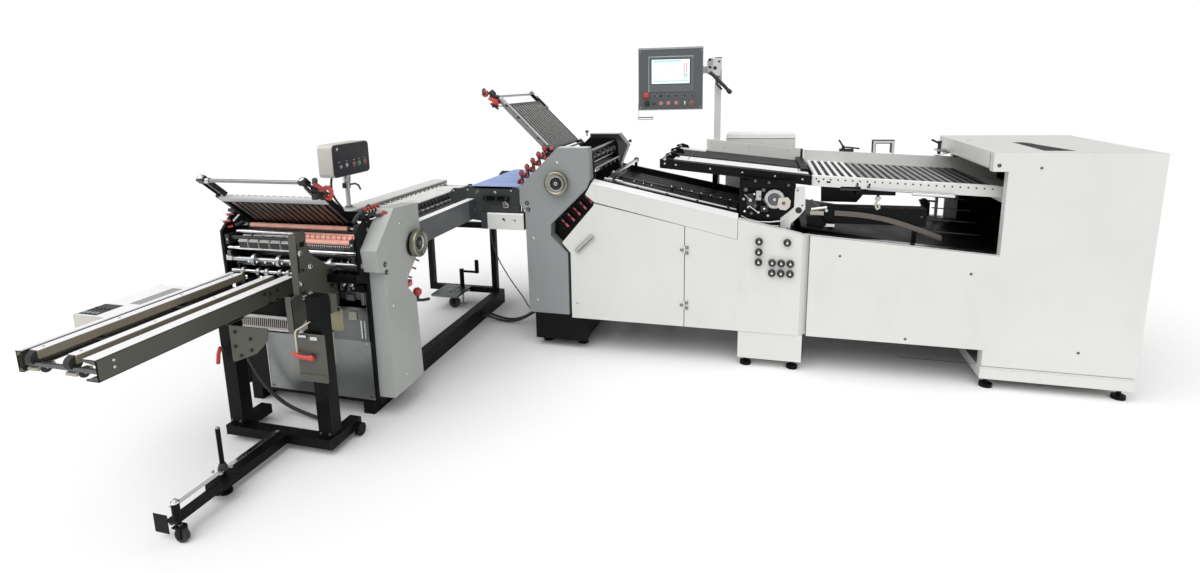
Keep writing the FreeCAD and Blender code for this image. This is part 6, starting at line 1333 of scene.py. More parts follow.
class FOLDER_OT_delivery(bpy.types.Operator):
    """Builds the delivery: channels with tops drawn white as a painted highlight, rails, mount plate, counter
    box and end feet
    """
    bl_idname = "folder.delivery"
    bl_label = "Delivery"

    def execute(self, context):
        form = Form("olive")
        near, far = -2020, -1062
        for x, out in ((-2211, -1), (CHANNEL_SIDE, 1)):
            inner = x - out * 5
            form.block((min(x, inner), near, CHANNEL_BOTTOM), (max(x, inner), far, CHANNEL_TOP))
            deep = 22 if out < 0 else 56
            edge = x - out * deep
            # The channel's top flange is drawn in the brighter white: a painted highlight of its lit top
            # face.
            form.block((min(x, edge), near, 710), (max(x, edge), far, 714.6), "bright_white")
            form.block((min(x, edge), near, CHANNEL_BOTTOM), (max(x, edge), far, 638))
            form.prism([(x, CHANNEL_BOTTOM), (x, CHANNEL_TOP), (edge, CHANNEL_TOP), (edge, 702), (inner, 694),
                        (inner, 650), (edge, 642), (edge, CHANNEL_BOTTOM)], "y", near, near + 3)
        form.blocks(
            ((-2206, -2008, 656), (-1845, -1994, 670), "dark_steel"),
            ((-2206, -1400, 650), (-1845, -1360, 662)), ((-2206, -1760, 650), (-1845, -1738, 660)),
            ((-2120, -1470, 652), (-2010, -1330, 655), "white_plastic"),
            ((-2100, -1420, 655), (-2040, -1380, 672), "bright_steel"))
        self.counter(form)
        self.mount(form)
        piece("delivery_frame", form, "machine", 0.7, ("delivery_bed",))
        self.rails()
        self.brackets()
        return {"FINISHED"}

    def counter(self, form):
        """The counter box under the left channel with its connector panel."""
        form.blocks(
            ((-2408, -1680, 642), (-2211, -1275, 704), "control_white"),
            # The box's top face is drawn in the brighter white: a painted highlight of the lit top.
            ((-2404, -1676, 704), (-2215, -1279, 705.2), "bright_white"),
            ((-2398, -1668, 705), (-2296, -1548, 706), "black_plastic"))
        for index in range(4):
            form.block((-2388 + index * 22, -1656, 706), (-2374 + index * 22, -1640, 708), "slate_pale")
            form.turned((-2382 + index * 22, -1600, 706), UP, [(0, 6), (5, 5), (6, 3)], "dark_steel", 14)
        form.block((-2294, -1524, 705), (-2228, -1312, 705.8), "black_plastic")
        form.block((-2294, -1524, 705), (-2234, -1318, 706.4), "slate_pale")
        for x, y in ((-2400, -1672), (-2220, -1672), (-2400, -1284), (-2220, -1284)):
            form.turned((x, y, 705), UP, [(0, 4), (1.6, 3.4)], "steel", 12)

    def mount(self, form):
        """The plate that hangs the delivery on unit 2, with its bolts, knobs and foot."""
        form.prism(MOUNT_PLATE, "x", -1650, MOUNT_FACE, "olive")
        form.prism([(-1650, 714), (-1622, 714), (-1612, 985), (-1636, 978), (-1650, 966)], "y", -1296, -1290,
                   "olive")
        form.block((-1674, -1324, 548), (-1644, -1318, 712), "olive")
        form.block((-1650, -1080, 705), (-1485, -1050, 740), "frame_black")
        for y, z, radius, look in ((-1185, 809, 10, "chrome"), (-1232, 806, 6, "black_plastic"),
                                   (-1262, 752, 9, "chrome"), (-1244, 748, 6, "black_plastic"),
                                   (-1246, 688, 10, "chrome"), (-1205, 690, 11, "bright_steel"),
                                   (-1208, 642, 9, "bright_steel"), (-1052, 742, 15, "black_plastic"),
                                   (-1185, 648, 12, "chrome"), (-1275, 790, 5, "black_plastic"),
                                   (-1160, 610, 6, "black_plastic"), (-1052, 680, 8, "black_plastic")):
            form.turned((MOUNT_FACE, y, z), RIGHT, [(0, radius * 1.3), (2, radius * 1.3), (2, radius),
                                                    (8, radius), (9.5, radius * 0.75), (9, radius * 0.4)],
                        look, 20)
        form.pipe([(-1632, -1250, 712), (-1626, -1232, 684), (-1632, -1212, 654), (-1634, -1192, 626)], 8,
                  "dark_steel", 12)
        form.bar((-1630, -1268, 694), (-1630, -1214, 700), 7, "bright_steel", 14, 1)
        form.block((-1645, -1262, 800), (-1643, -1250, 930), "stand_black")
        form.turned((MOUNT_FACE, -1240, 884), RIGHT, [(0, 14), (3, 14), (4, 9)], "chrome", 18)
        form.block((-1645, -1236, 908), (-1643.4, -1206, 930), "stand_black")

    def rails(self):
        """The two flat belt rails, their tops drawn white as a painted highlight and their sides dark as
        painted shade, and the wheels at both ends.
        """
        form = Form("beige")
        for x in RAILS:
            # The rail's sides are drawn in a dark beige as painted shade and its top in the brighter white as
            # a painted highlight.
            form.prism([(x - 22, 676), (x - 22, 704), (x - 19, 707), (x + 19, 707), (x + 22, 704),
                        (x + 22, 676)], "y", -1992, -1050, "rail_side")
            form.block((x - 20.5, -1990, 706.6), (x + 20.5, -1052, 708), "bright_white")
            form.turned((x - 14, -1992, 680), RIGHT, [(0, 25), (28, 25)], "black_rubber", 28)
            form.block((x - 20, -1050, 672), (x + 20, -1022, 706), "black_plastic")
        piece("delivery_rail_pair", form, "machine", 0.6, ("delivery_rails",))
        feet = Form("cast_grey")
        for x in RAILS:
            feet.prism([(x - 26, -2006), (x + 26, -2006), (x + 20, -1990), (x + 10, -1984), (x + 9, -1950),
                        (x + 16, -1940), (x - 16, -1940), (x - 9, -1950), (x - 10, -1984), (x - 20, -1990)],
                       "z", 636, 646)
            for side in (-1, 1):
                feet.turned((x + side * 22 - 5, -1975, 640), RIGHT, [(0, 17), (1.5, 20), (8.5, 20), (10, 17)],
                            "black_rubber", 26)
            feet.bar((x - 30, -1975, 640), (x + 30, -1975, 640), 6, "steel", 16, 1)
            for side in (-1, 1):
                feet.turned((x + side * 22, -1998, 646), UP, [(0, 5), (3, 5)], "steel", 12)
        piece("delivery_end_feet", feet, "machine", 0.6)
        repeats("delivery_bolts", "machine", [
            ("bolt", "black_plastic", 7, TO_RIGHT, [(CHANNEL_SIDE, -1259, 693), (CHANNEL_SIDE, -1224, 684),
                                                    (CHANNEL_SIDE, -1182, 686), (CHANNEL_SIDE, -1185, 640),
                                                    (CHANNEL_SIDE, -1231, 640)]),
            ("screw", "bright_steel", 6, TO_RIGHT, [(CHANNEL_SIDE, -1960, 690), (CHANNEL_SIDE, -1960, 665)]),
            ("screw", "steel", 5, UPRIGHT, (-2165, -1960, 708), (-2165, -1100, 708), 4),
            ("screw", "steel", 5, UPRIGHT, (-1985, -1960, 708), (-1985, -1100, 708), 4)])

    def brackets(self):
        """The folded brackets that clamp the delivery to its two legs, with their red levers."""
        form = Form("olive")
        form.prism([(-1985, 560), (-1780, 560), (-1786, 520), (-1800, 490), (-1856, 437), (-1978, 388),
                    (-1990, 396), (-1990, 560)], "y", -1326, -1321)
        form.prism([(-1321, 648), (-1321, 385), (-1262, 380), (-1249, 400), (-1249, 648)], "x", -1996, -1990)
        form.blocks(
            ((-2064, -1321, 560), (-1985, -1240, 566)), ((-2064, -1321, 566), (-1990, -1249, 648)),
            ((-2064, -1330, 560), (-1990, -1324, 648)))
        for x, z in ((-1966, 462), (-1940, 420), (-1880, 505), (-1880, 452), (-1960, 530)):
            form.turned((x, BRACKET_FACE, z), FRONT, [(0, 9), (2, 9), (2, 7), (7, 7), (8, 4)],
                        "black_plastic", 18)
        form.block((-1579.6, -1314.6, 620), (-1510.4, -1249.4, 716), "stand_black")
        form.block((-1580, -1240, 620), (-1510, -1200, 700))
        form.prism([(-1622, 568), (-1554, 610), (-1554, 616), (-1626, 574), (-1634, 560), (-1634, 446),
                    (-1626, 446), (-1626, 556)], "y", -1338, BRACKET_FACE, "beige")
        form.block((-1626, -1336, 345), (-1486, -1330, 560))
        form.prism([(-1626, 345), (-1486, 345), (-1486, 366), (-1498, 378), (-1626, 378)], "y", -1340, -1334)
        form.block((-1608, -1346, 546), (-1570, -1338, 556), "bright_steel")
        form.block((-1550, -1346, 538), (-1514, -1320, 552), "bright_steel")
        form.turned((-1553, -1336, 462), FRONT, [(0, 13), (12, 13), (14, 10)], "black_plastic", 22)
        form.pipe([(-1553, -1352, 460), (-1583, -1358, 462), (-1609, -1358, 466), (-1633, -1356, 476)], 9,
                  "red_plastic", 14)
        form.turned((-1553, -1350, 459), (0.9, 0, -0.1), [(-14, 9), (0, 14), (12, 12), (18, 6), (19, 0)],
                    "red_plastic", 16)
        form.turned((-2030, -1330, 448), FRONT, [(0, 10), (10, 10), (12, 8)], "black_plastic", 20)
        form.pipe([(-2034, -1344, 458), (-2046, -1346, 430), (-2056, -1346, 380)], 8.5, "red_plastic", 14)
        form.prism([(-1622, 490), (-1558, 490), (-1552, 500), (-1552, 590), (-1564, 606), (-1600, 600),
                    (-1622, 585)], "y", -1120, -1114, "pale_yellow")
        form.turned((-1564, -1120, 596), FRONT, [(0, 9), (12, 9), (14, 6)], "black_plastic", 18)
        form.block((-1616, -1150, 340), (-1590, -1138, 490), "cast_grey")
        piece("delivery_brackets", form, "machine", 0.8)


# ---------------------------------------------------------------- upper tables
def table_top(x):
    """Height of the sloping register table's top."""
    return 1000 - (x + 640) * 158 / 775


def cap_top(x):
    """Height of the front edge of the cap beside the register table."""
    return 1014 - (x + 664) * 177 / 809


def belts_top(x):
    """Height of the belt table's near rail."""
    return 1144 - (x + 290) * 84 / 806


def rollers_top(x):
    """Height of the roller table's near rail."""
    return 1060 - (x - 518) * 50 / 1082


def strip(form, line, ends, drops, near, far, look):
    """A flat bar that follows a sloping line, between two heights over it."""
    left, right = ends
    low, high = drops
    form.prism([(left, line(left) + low), (right, line(right) + low), (right, line(right) + high),
                (left, line(left) + high)], "y", near, far, look)


class FOLDER_OT_register(bpy.types.Operator):
    """Fits the register table with its rail, cross bar, balls, clips and cap edge"""
    bl_idname = "folder.register"
    bl_label = "Register table fittings"

    def execute(self, context):
        ball = context.scene.folder_sizes.ball * 1000
        form = Form("frame_black")
        strip(form, table_top, (-636, 133), (1, 9), 68, 112, "black_plastic")
        strip(form, table_top, (-600, 133), (20, 26), 322, 352, "black_plastic")
        strip(form, table_top, (-560, 100), (2, 8), 196, 226, "dark_steel")
        for x in (-560, -420, -250, -80, 90):
            level = table_top(x)
            form.block((x - 6, 112, level), (x + 6, 128, level + 30), "black_plastic")
            form.block((x - 9, 330, level), (x + 9, 344, level + 22), "black_plastic")
            form.turned((x, 337, level + 26), UP, [(0, 9), (5, 8), (8, 5)], "dark_steel", 18)
        form.bar((-613, 120, table_top(-613) + 34), (132, 120, table_top(132) + 20), 7, "panel_white", 20,
                 1.5)
        form.block((-563, 84, 1050.5), (-539, 802, 1063), "bright_steel")
        for y in (80, 790):
            form.block((-566, y, 1046), (-536, y + 16, 1068), "black_plastic")
            form.turned((-551, y + 8, 1068), UP, [(0, 9), (7, 8), (10, 4)], "chrome", 20)
        form.block((-558, 86, 1000), (-544, 100, 1046), "black_plastic")
        form.bar((-580, 92, 1032), (-500, 92, 1016), 5, "bright_steel", 14, 1)
        form.bar((-610, 110, 1012), (-540, 180, 1000), 4, "chrome", 12, 1)
        for left, right in ((-491, -439), (-413, -353), (-112, -57), (-40, 6), (49, 79)):
            form.prism([(left, table_top(left) + 9), (right, table_top(right) + 9),
                        (right, table_top(right) + 14), (left, table_top(left) + 14)], "y", 90, 116,
                       "bright_white")
            form.turned(((left + right) / 2, 100, table_top((left + right) / 2) + 14), UP, [(0, 4), (2, 3.4)],
                        "steel", 12)
        for index, x in enumerate((-320, -286, -248, -200, -160)):
            level = table_top(x) + 9
            form.turned((x, 96, level), (0.1, -0.2, 1), [(0, 8), (6, 8), (9, 5)],
                        ("chrome", "dark_steel")[index % 2], 16)
            form.bar((x - 10, 90, level + 5), (x + 12, 102, level + 5), 3, "bright_steel", 10)
        form.prism([(-250, table_top(-250) + 26), (-228, table_top(-228) + 26), (-210, table_top(-210) + 44),
                    (-232, table_top(-232) + 44)], "y", 322, 334, "dark_steel")
        for x in (-472, -415, -365):
            form.turned((x, 300, table_top(x) + 8), (0, -0.4, 1), [(0, 7), (14, 7), (18, 4)], "bright_steel",
                        16)
        piece("register_fittings", form, "machine", 0.4)
        repeats("register_rows", "machine", [
            ("ball", "chrome", ball, UPRIGHT, [(x, 337, table_top(x) + 30)
                                               for x in (-250, -190, -131, -74, -21, 37, 92)]),
            ("bolt", "steel", 6, UPRIGHT, (-600, 932, table_top(-600) + 2), (120, 932, table_top(120) + 2),
             9),
            ("rod", "steel", (8, 8, 820), TO_FRONT, (-634, 500, 1003), (-590, 500, 994), 4),
            ("rod", "dark_steel", (3, 3, 560), (0, 101.5, 0), (-345, 150, table_top(-345) + 6),
             (-345, 300, table_top(-345) + 6), 6)])
        self.cap()
        self.inner_rods()
        return {"FINISHED"}

    def cap(self):
        """The lit upper edge of the cap."""
        form = Form("bright_white")
        high, low = cap_top(-664), cap_top(145)
        form.solid([(-664, 0.4, high - 1), (145.4, 0.4, low - 1), (145.4, 74.6, low + 15.4),
                    (-664, 74.6, high + 15.4), (-664, 0.4, high), (145.4, 0.4, low),
                    (145.4, 74.6, low + 16.6), (-664, 74.6, high + 16.6)], BOX_FACES)
        piece("cap_edge", form, "machine", 0.3)

    def inner_rods(self):
        """The rods and dark rollers that show between the two covers of fold unit 1."""
        form = Form("dark_steel")
        for x, z, radius, look in ((-692, 1190, 6, "steel"), (-690, 1145, 6, "steel"),
                                   (-684, 1118, 5, "bright_steel"), (-655, 1090, 7, "steel")):
            form.bar((x, 87, z), (x, 757, z), radius, look, 18, 1)
        form.bar((-735, 100, 1150), (-735, 745, 1150), 22, steps=28, chamfer=2)
        form.bar((-720, 100, 1080), (-720, 745, 1080), 20, steps=28, chamfer=2)
        for y in (180, 300, 420, 540, 660):
            form.ring((-690, y + 30, 1145), BACK, [(0, 6), (0, 16), (4, 18), (20, 18), (24, 16), (24, 6)],
                      steps=20)
            form.block((-668, y - 10, 1070), (-644, y + 20, 1086), "black_plastic")
        for y in (90, 130, 170):
            form.turned((-660, y, 1070), UP, [(0, 8), (10, 8), (14, 5)], "bright_steel", 16)
        piece("unit_one_inner_rods", form, "machine", 0.3)


BOARD_FACE, TABLE_SIDE, HEAD_FACE, BRACKET_FRONT = 884, 108, 76, 89


class FOLDER_OT_belt_table(bpy.types.Operator):
    """Fits the upper belt table with its white board, strip, brackets and head works"""
    bl_idname = "folder.belt_table"
    bl_label = "Belt table fittings"

    def execute(self, context):
        form = Form("panel_white")
        strip(form, belts_top, (-92.6, 516), (-18.5, 64.6), 884.3, 897.4, "panel_white")
        strip(form, belts_top, (-226, 508), (-11.6, -5), 222, 400, "bright_white")
        strip(form, belts_top, (-258, -92), (-11.6, -5), 800, 880, "bright_white")
        for x in (-60, 180, 420):
            form.turned((x, BOARD_FACE, belts_top(x) + 44), FRONT, [(0, 4.5), (1.6, 4)], "steel", 14)
        form.turned((22, BOARD_FACE, belts_top(22) + 20), FRONT, [(0, 3), (1, 3)], "black_plastic", 12)
        piece("belt_board", form, "machine", 0.5)
        head = Form("frame_black")
        for y, lift in ((110, 2), (330, 12), (560, 18), (860, 14)):
            head.prism([(-286, belts_top(-286) - 16), (-200, belts_top(-200) - 12),
                        (-212, belts_top(-212) + lift), (-250, belts_top(-250) + lift + 8),
                        (-288, belts_top(-288) + lift - 6)], "y", y, y + 12)
            head.turned((-262, y, belts_top(-262) + 4), FRONT, [(0, 8), (3, 8), (4, 5)], "bright_steel", 16)
        head.bar((-276, 110, belts_top(-276) - 4), (-276, 878, belts_top(-276) - 4), 9, "dark_steel", 22, 1.5)
        strip(head, belts_top, (-226, 512), (-11.8, -6), 140, 221, "stand_black")
        strip(head, belts_top, (-240, 500), (-11, -2), 470, 474, "dark_steel")
        head.block((470, 300, 1048), (512, 884, 1074))
        head.block((498, 884, 1060), (512, 898, 1126), "black_plastic")
        piece("belt_table_head", head, "machine", 0.5)
        repeats("belt_table_rows", "machine", [
            ("bolt", "bright_steel", 4, TO_FRONT, [(x, TABLE_SIDE, belts_top(x) - 22)
                                                   for x in (-262, -200, -12, 160, 330, 470)]),
            ("pit", "stand_black", 5, TO_FRONT, [(x, TABLE_SIDE, belts_top(x) - 36)
                                                 for x in (-276, -60, 250)]),
            ("rod", "dark_steel", (5, 5, 440), TO_FRONT, (-150, 480, belts_top(-150) - 6),
             (460, 480, belts_top(460) - 6), 2)])
        self.head_works()
        return {"FINISHED"}

    def head_works(self):
        """The white bracket, drum ring, cam plate and linkage of the feeding head."""
        form = Form("panel_white")
        form.prism([(434.4, 1000.6), (484.6, 1005.6), (489.6, 887), (461.4, 847.4), (419.4, 802.6),
                    (415.4, 757.4), (367.4, 755.4), (364.4, 829.4), (432.4, 892.6)], "y", 89, 100.6)
        form.turned((456, BRACKET_FRONT, 878), FRONT, [(0, 16), (1.2, 17), (1.2, 12), (0.6, 12)],
                    "black_plastic", 28)
        for x, z in ((474, 905), (378, 776), (402, 776), (448, 985)):
            form.turned((x, BRACKET_FRONT, z), FRONT, [(0, 5), (2, 4.4)], "dark_steel", 14)
        piece("head_bracket_skin", form, "machine", 0.6)
        dark = Form("frame_black")
        dark.block((160, 72, 1000), (436, 99, 1040))
        dark.block((168, 76, 760), (356, 99, 800))
        dark.prism([(150, 1050), (436, 1014), (436, 1024), (150, 1060)], "y", 66, 100, "stand_black")
        dark.ring((331, 76, 936), BACK, [(0, 34), (0, 49), (4, 52), (20, 52), (22, 48), (22, 34)],
                  "pale_grey_plastic", 40)
        dark.ring((331, 74, 936), BACK, [(0, 14), (0, 31), (3, 33), (18, 33), (18, 14)], "dark_steel", 36)
        dark.turned((331, 70, 936), BACK, [(0, 10), (12, 12), (26, 12)], "steel", 24)
        dark.prism([(352, 944), (398, 950), (414, 930), (410, 898), (392, 880), (362, 882), (346, 900)], "y",
                   68, 76, "cream")
        dark.turned((378, 68, 918), FRONT, [(0, 9), (3, 8)], "dark_steel", 20)
        dark.pipe([(160, 70, 842), (196, 68, 824), (250, 68, 812), (310, 68, 812), (366, 68, 820),
                   (400, 70, 838)], 5, "steel", 12)
        dark.pipe([(180, 74, 812), (240, 72, 796), (360, 72, 792)], 3.5, "bright_steel", 10)
        dark.blocks(
            ((236, 70, 930), (262, 76, 982), "steel"), ((188, 70, 884), (224, 82, 966), "black_plastic"),
            ((262, 70, 868), (300, 84, 900), "black_plastic"))
        for x, z, radius, look in ((182, 986, 9, "dark_steel"), (206, 930, 8, "chrome"),
                                   (196, 890, 6, "steel"), (232, 900, 8, "dark_steel"),
                                   (250, 862, 6, "bright_steel"), (214, 856, 7, "dark_steel"),
                                   (178, 866, 5, "chrome"), (280, 884, 6, "chrome"),
                                   (274, 986, 8, "dark_steel"), (300, 846, 6, "steel"),
                                   (226, 962, 5, "chrome"), (172, 934, 6, "steel"),
                                   (256, 952, 4, "black_plastic")):
            dark.turned((x, HEAD_FACE, z), FRONT, [(0, radius * 1.25), (3, radius * 1.25), (3, radius),
                                                   (10, radius), (12, radius * 0.6)], look, 18)
        for start, end, look in (((176, 70, 960), (214, 66, 922), "steel"),
                                 ((200, 66, 900), (246, 66, 866), "chrome"),
                                 ((232, 66, 944), (232, 66, 886), "dark_steel"),
                                 ((270, 66, 940), (296, 66, 904), "dark_steel")):
            dark.bar(start, end, 3.4, look, 12, 1)
        piece("head_linkage", dark, "machine", 0.3)
        repeats("head_rows", "machine", [
            ("bolt", "dark_steel", 6, TO_FRONT, [(426, 99, 800), (300, 66, 1028), (230, 66, 1036),
                                                 (400, 66, 1016)]),
            ("rod", "black_plastic", (2, 2, 70), UPRIGHT, (182, 84, 850), (216, 84, 850), 6)])


ROLLER_RAIL_FACE, ROLLER_NEAR, ROLLER_FAR = 119.6, 152, 882
FREE_ROLLERS, FIRST_ROLLER, LAST_ROLLER = 22, 548, 1366
CROSS_ROLLERS, CROSS_PITCH, CROSS_ANGLE, CROSS_LENGTH = 22, 60.5, 28, 330


class FOLDER_OT_roller_table(bpy.types.Operator):
    """Fits the roller table with its dark bed, handle, clamp lever, guide and rail holes"""
    bl_idname = "folder.roller_table"
    bl_label = "Roller table fittings"

    def execute(self, context):
        form = Form("stand_black")
        strip(form, rollers_top, (520, 1384), (-47.5, -42), 150.5, 884, "stand_black")
        for index in range(3):
            strip(form, rollers_top, (522, 1384), (-30, -22), 330 + index * 190, 336 + index * 190,
                  "stand_black")
        piece("roller_bed", form, "machine", 0)
        self.rollers()
        form = Form("black_plastic")
        for x in (917, 1021):
            form.block((x, 868, 1104), (x + 21, 901, 1172))
        form.block((917, 868, 1160), (1042, 901, 1183))
        form.block((730, 872, 1106), (812, 906, 1126))
        form.bar((752, 884, 1126), (752, 884, 1142), 10, steps=18, chamfer=1)
        form.pipe([(758, 884, 1138), (744, 880, 1152), (730, 876, 1174), (724, 874, 1182)], 5.5, steps=12)
        form.pipe([(752, 884, 1136), (782, 884, 1136), (846, 884, 1128)], 5, steps=12)
        form.bar((820, 884, 1130), (848, 884, 1127), 3.6, "bright_steel", 12, 0.8)
        piece("roller_table_handles", form, "machine", 0.4)
        guide = Form("panel_white")
        guide.prism([(1170, rollers_top(1170) - 4), (1270, rollers_top(1270) + 66),
                     (1390, rollers_top(1390) + 60), (1390, rollers_top(1390) - 4)], "y", 868, 884,
                    "slate_pale")
        guide.prism([(1270, rollers_top(1270) + 66), (1274, rollers_top(1274) + 66), (1384, 1120),
                     (1384, 1110)], "y", 862, 868, "steel")
        # The top face of the table's near rail is drawn in the brighter white: a painted highlight.
        strip(guide, rollers_top, (519, 1384), (0, 2.2), 120, 151, "bright_white")
        piece("roller_guide", guide, "machine", 0.4)
        repeats("roller_table_rows", "machine", [
            ("pit", "stand_black", 4.2, TO_FRONT, (540, ROLLER_RAIL_FACE, rollers_top(540) - 14),
             (1360, ROLLER_RAIL_FACE, rollers_top(1360) - 14), 24),
            ("pit", "stand_black", 5.5, TO_FRONT, [(x, ROLLER_RAIL_FACE, rollers_top(x) - 28)
                                                   for x in (552, 596, 606, 742, 800)]),
            ("bolt", "dark_steel", 6, TO_FRONT, [(x, ROLLER_RAIL_FACE, rollers_top(x) - 40)
                                                 for x in (742, 796)]),
            ("slab", "stand_black", (10, 8, 10), UPRIGHT, (545, 872, rollers_top(545) - 6),
             (1350, 872, rollers_top(1350) - 6), 24)])
        self.window()
        self.top()
        return {"FINISHED"}

    def rollers(self):
        """The free rollers of this table, graded from light to dark as painted light and shade, with dark
        blocks in the gaps as painted shade, and those of the cross table.
        """
        form = Form("bright_steel")
        pitch = (LAST_ROLLER - FIRST_ROLLER) / (FREE_ROLLERS - 1)
        for index in range(FREE_ROLLERS):
            x = FIRST_ROLLER + index * pitch
            level = rollers_top(x) - 16
            # Painted light and shade: the rollers are drawn bright at the left end and darker towards the
            # right, where they lie in shade.
            look = ("bright_white", "bright_steel", "steel", "dark_steel")[min(3, index // 6)]
            form.bar((x, ROLLER_NEAR, level), (x, ROLLER_FAR, level), 12.6, look, 20, 1)
            # Dark blocks fill the gaps between the rollers up to near their tops: painted shade for the
            # shaded gaps.
            if index:
                form.block((x - pitch + 9.5, ROLLER_NEAR, level - 24), (x - 9.5, ROLLER_FAR, level + 9),
                           "stand_black")
        angle = math.radians(CROSS_ANGLE)
        heading = Vector((math.cos(angle), math.sin(angle), 0))
        for index in range(CROSS_ROLLERS):
            foot = Vector((-1990, -610 + index * CROSS_PITCH, 855))
            form.bar(foot, foot + heading * CROSS_LENGTH, 9, "white_plastic", 20, 1)
        piece("free_rollers", form, "machine", 0, ("table_rollers",))

    def window(self):
        """What shows through the feeder's window: ledge, strap, post, hook, rods and dark sheets."""
        form = Form("frame_black")
        form.prism([(512, 762), (1384, 695), (1384, 700), (512, 768)], "y", 8, 64, "bright_steel")
        form.prism([(498, 842), (560, 850), (600, 800), (560, 770), (512, 770)], "y", 100, 160, "stand_black")
        form.prism([(576, 1010), (700, 1016), (760, 990), (790, 940), (760, 900), (580, 900)], "y", 250, 262)
        form.block((660, 120, 985), (760, 240, 1006), "black_plastic")
        form.block((740, 140, 960), (930, 220, 984))
        form.pipe([(800, 150, 1000), (840, 150, 985), (850, 150, 950)], 7, "black_plastic", 12)
        form.bar((790, 112, 996), (1190, 112, 974), 5.5, "steel", 16, 1)
        form.bar((1000, 112, 975), (1195, 112, 966), 8, "aluminium", 16, 1)
        form.pipe([(862, 146, 948), (846, 146, 930), (838, 146, 906), (846, 146, 884), (858, 146, 892),
                   (856, 146, 912)], 6.5, "cream", 12)
        form.turned((848, 150, 940), FRONT, [(0, 13), (8, 12)], "steel", 24)
        strap = [Vector((640 + 460 * along, 146, 862 - 96 * along + 26 * math.sin(math.pi * along)))
                 for along in (step / 8 for step in range(10))]
        for left, right in zip(strap, strap[1:]):
            ends = ((left, -14), (right, -14), (right, 14), (left, 14))
            form.solid([end + Vector((0, y, z)) for z in (-16, 12) for end, y in ends], BOX_FACES,
                       "bronze_bar")
        form.bar((520, 120, 880), (600, 120, 892), 8, "aluminium", 18, 1)
        form.blocks(
            ((516, 110, 850), (584, 130, 872), "cast_grey"),
            ((530, 104, 790), (640, 120, 806), "bright_steel"),
            ((1294, 882, 690), (1310, 898, 842), "panel_white"),
            ((1344, 882, 690), (1415, 898, 842), "panel_white"),
            ((1294, 882, 690), (1415, 898, 702), "panel_white"))
        form.turned((1230, 884, 800), FRONT, [(0, 24), (18, 22), (24, 12)], "black_plastic", 24)
        form.block((1214, 862, 716), (1262, 884, 800), "black_plastic")
        form.bar((1200, 872, 812), (1290, 872, 806), 6, "black_plastic", 12, 1)
        for index in range(4):
            level = 740 + index * 44
            form.prism([(1120 + index * 34, level), (1384, level - 14), (1384, level - 8),
                        (1126 + index * 34, level + 6)], "y", 300 + index * 110, 306 + index * 110,
                       "dark_steel")
        form.bar((576, 130, 880), (520, 130, 930), 6, "dark_steel", 12, 1)
        form.turned((600, 148, 870), FRONT, [(0, 9), (6, 8)], "bright_steel", 18)
        form.turned((1060, 148, 850), FRONT, [(0, 6), (4, 5)], "dark_steel", 16)
        piece("window_works", form, "machine", 0.5)

    def top(self):
        """The feeder's top: pressing roller, clamp lever, lip and the recess they lie in."""
        form = Form("black_plastic")
        recess = ((1556, 104), (1686, 104), (1612, 540), (1560, 540))
        form.solid([(x, y, z) for z in (1199.4, 1200.3) for x, y in recess], BOX_FACES, "stand_black")
        form.block((1244, 730, 1128), (1300, 800, 1140), "steel")
        form.bar((1262, 760, 1110), (1262, 760, 1176), 9, steps=18, chamfer=1)
        form.pipe([(1262, 760, 1172), (1240, 752, 1184), (1216, 744, 1196)], 6, steps=12)
        form.turned((1262, 760, 1176), UP, [(0, 14), (8, 13), (12, 8)], steps=22)
        form.block((1276, 740, 1120), (1316, 820, 1128), "bright_steel")
        form.turned((1380, 640, 1200), UP, [(0, 9), (3, 8)], "steel", 20)
        form.block((1330, 420, 1110), (1384, 520, 1118), "dark_steel")
        form.prism([(1316, 1117.4), (1384, 1112), (1384, 1118), (1316, 1123)], "y", 60, 600, "slate_pale")
        piece("feeder_top_works", form, "machine", 0.4)


# ---------------------------------------------------------------- fold unit 1
FAR_COVER = 844
PLATE_1 = Matrix.Translation((-938, 100, 1196)) @ Matrix((
    (0, -math.sqrt(0.5), math.sqrt(0.5), 0), (1, 0, 0, 0),
    (0, math.sqrt(0.5), math.sqrt(0.5), 0), (0, 0, 0, 1)))


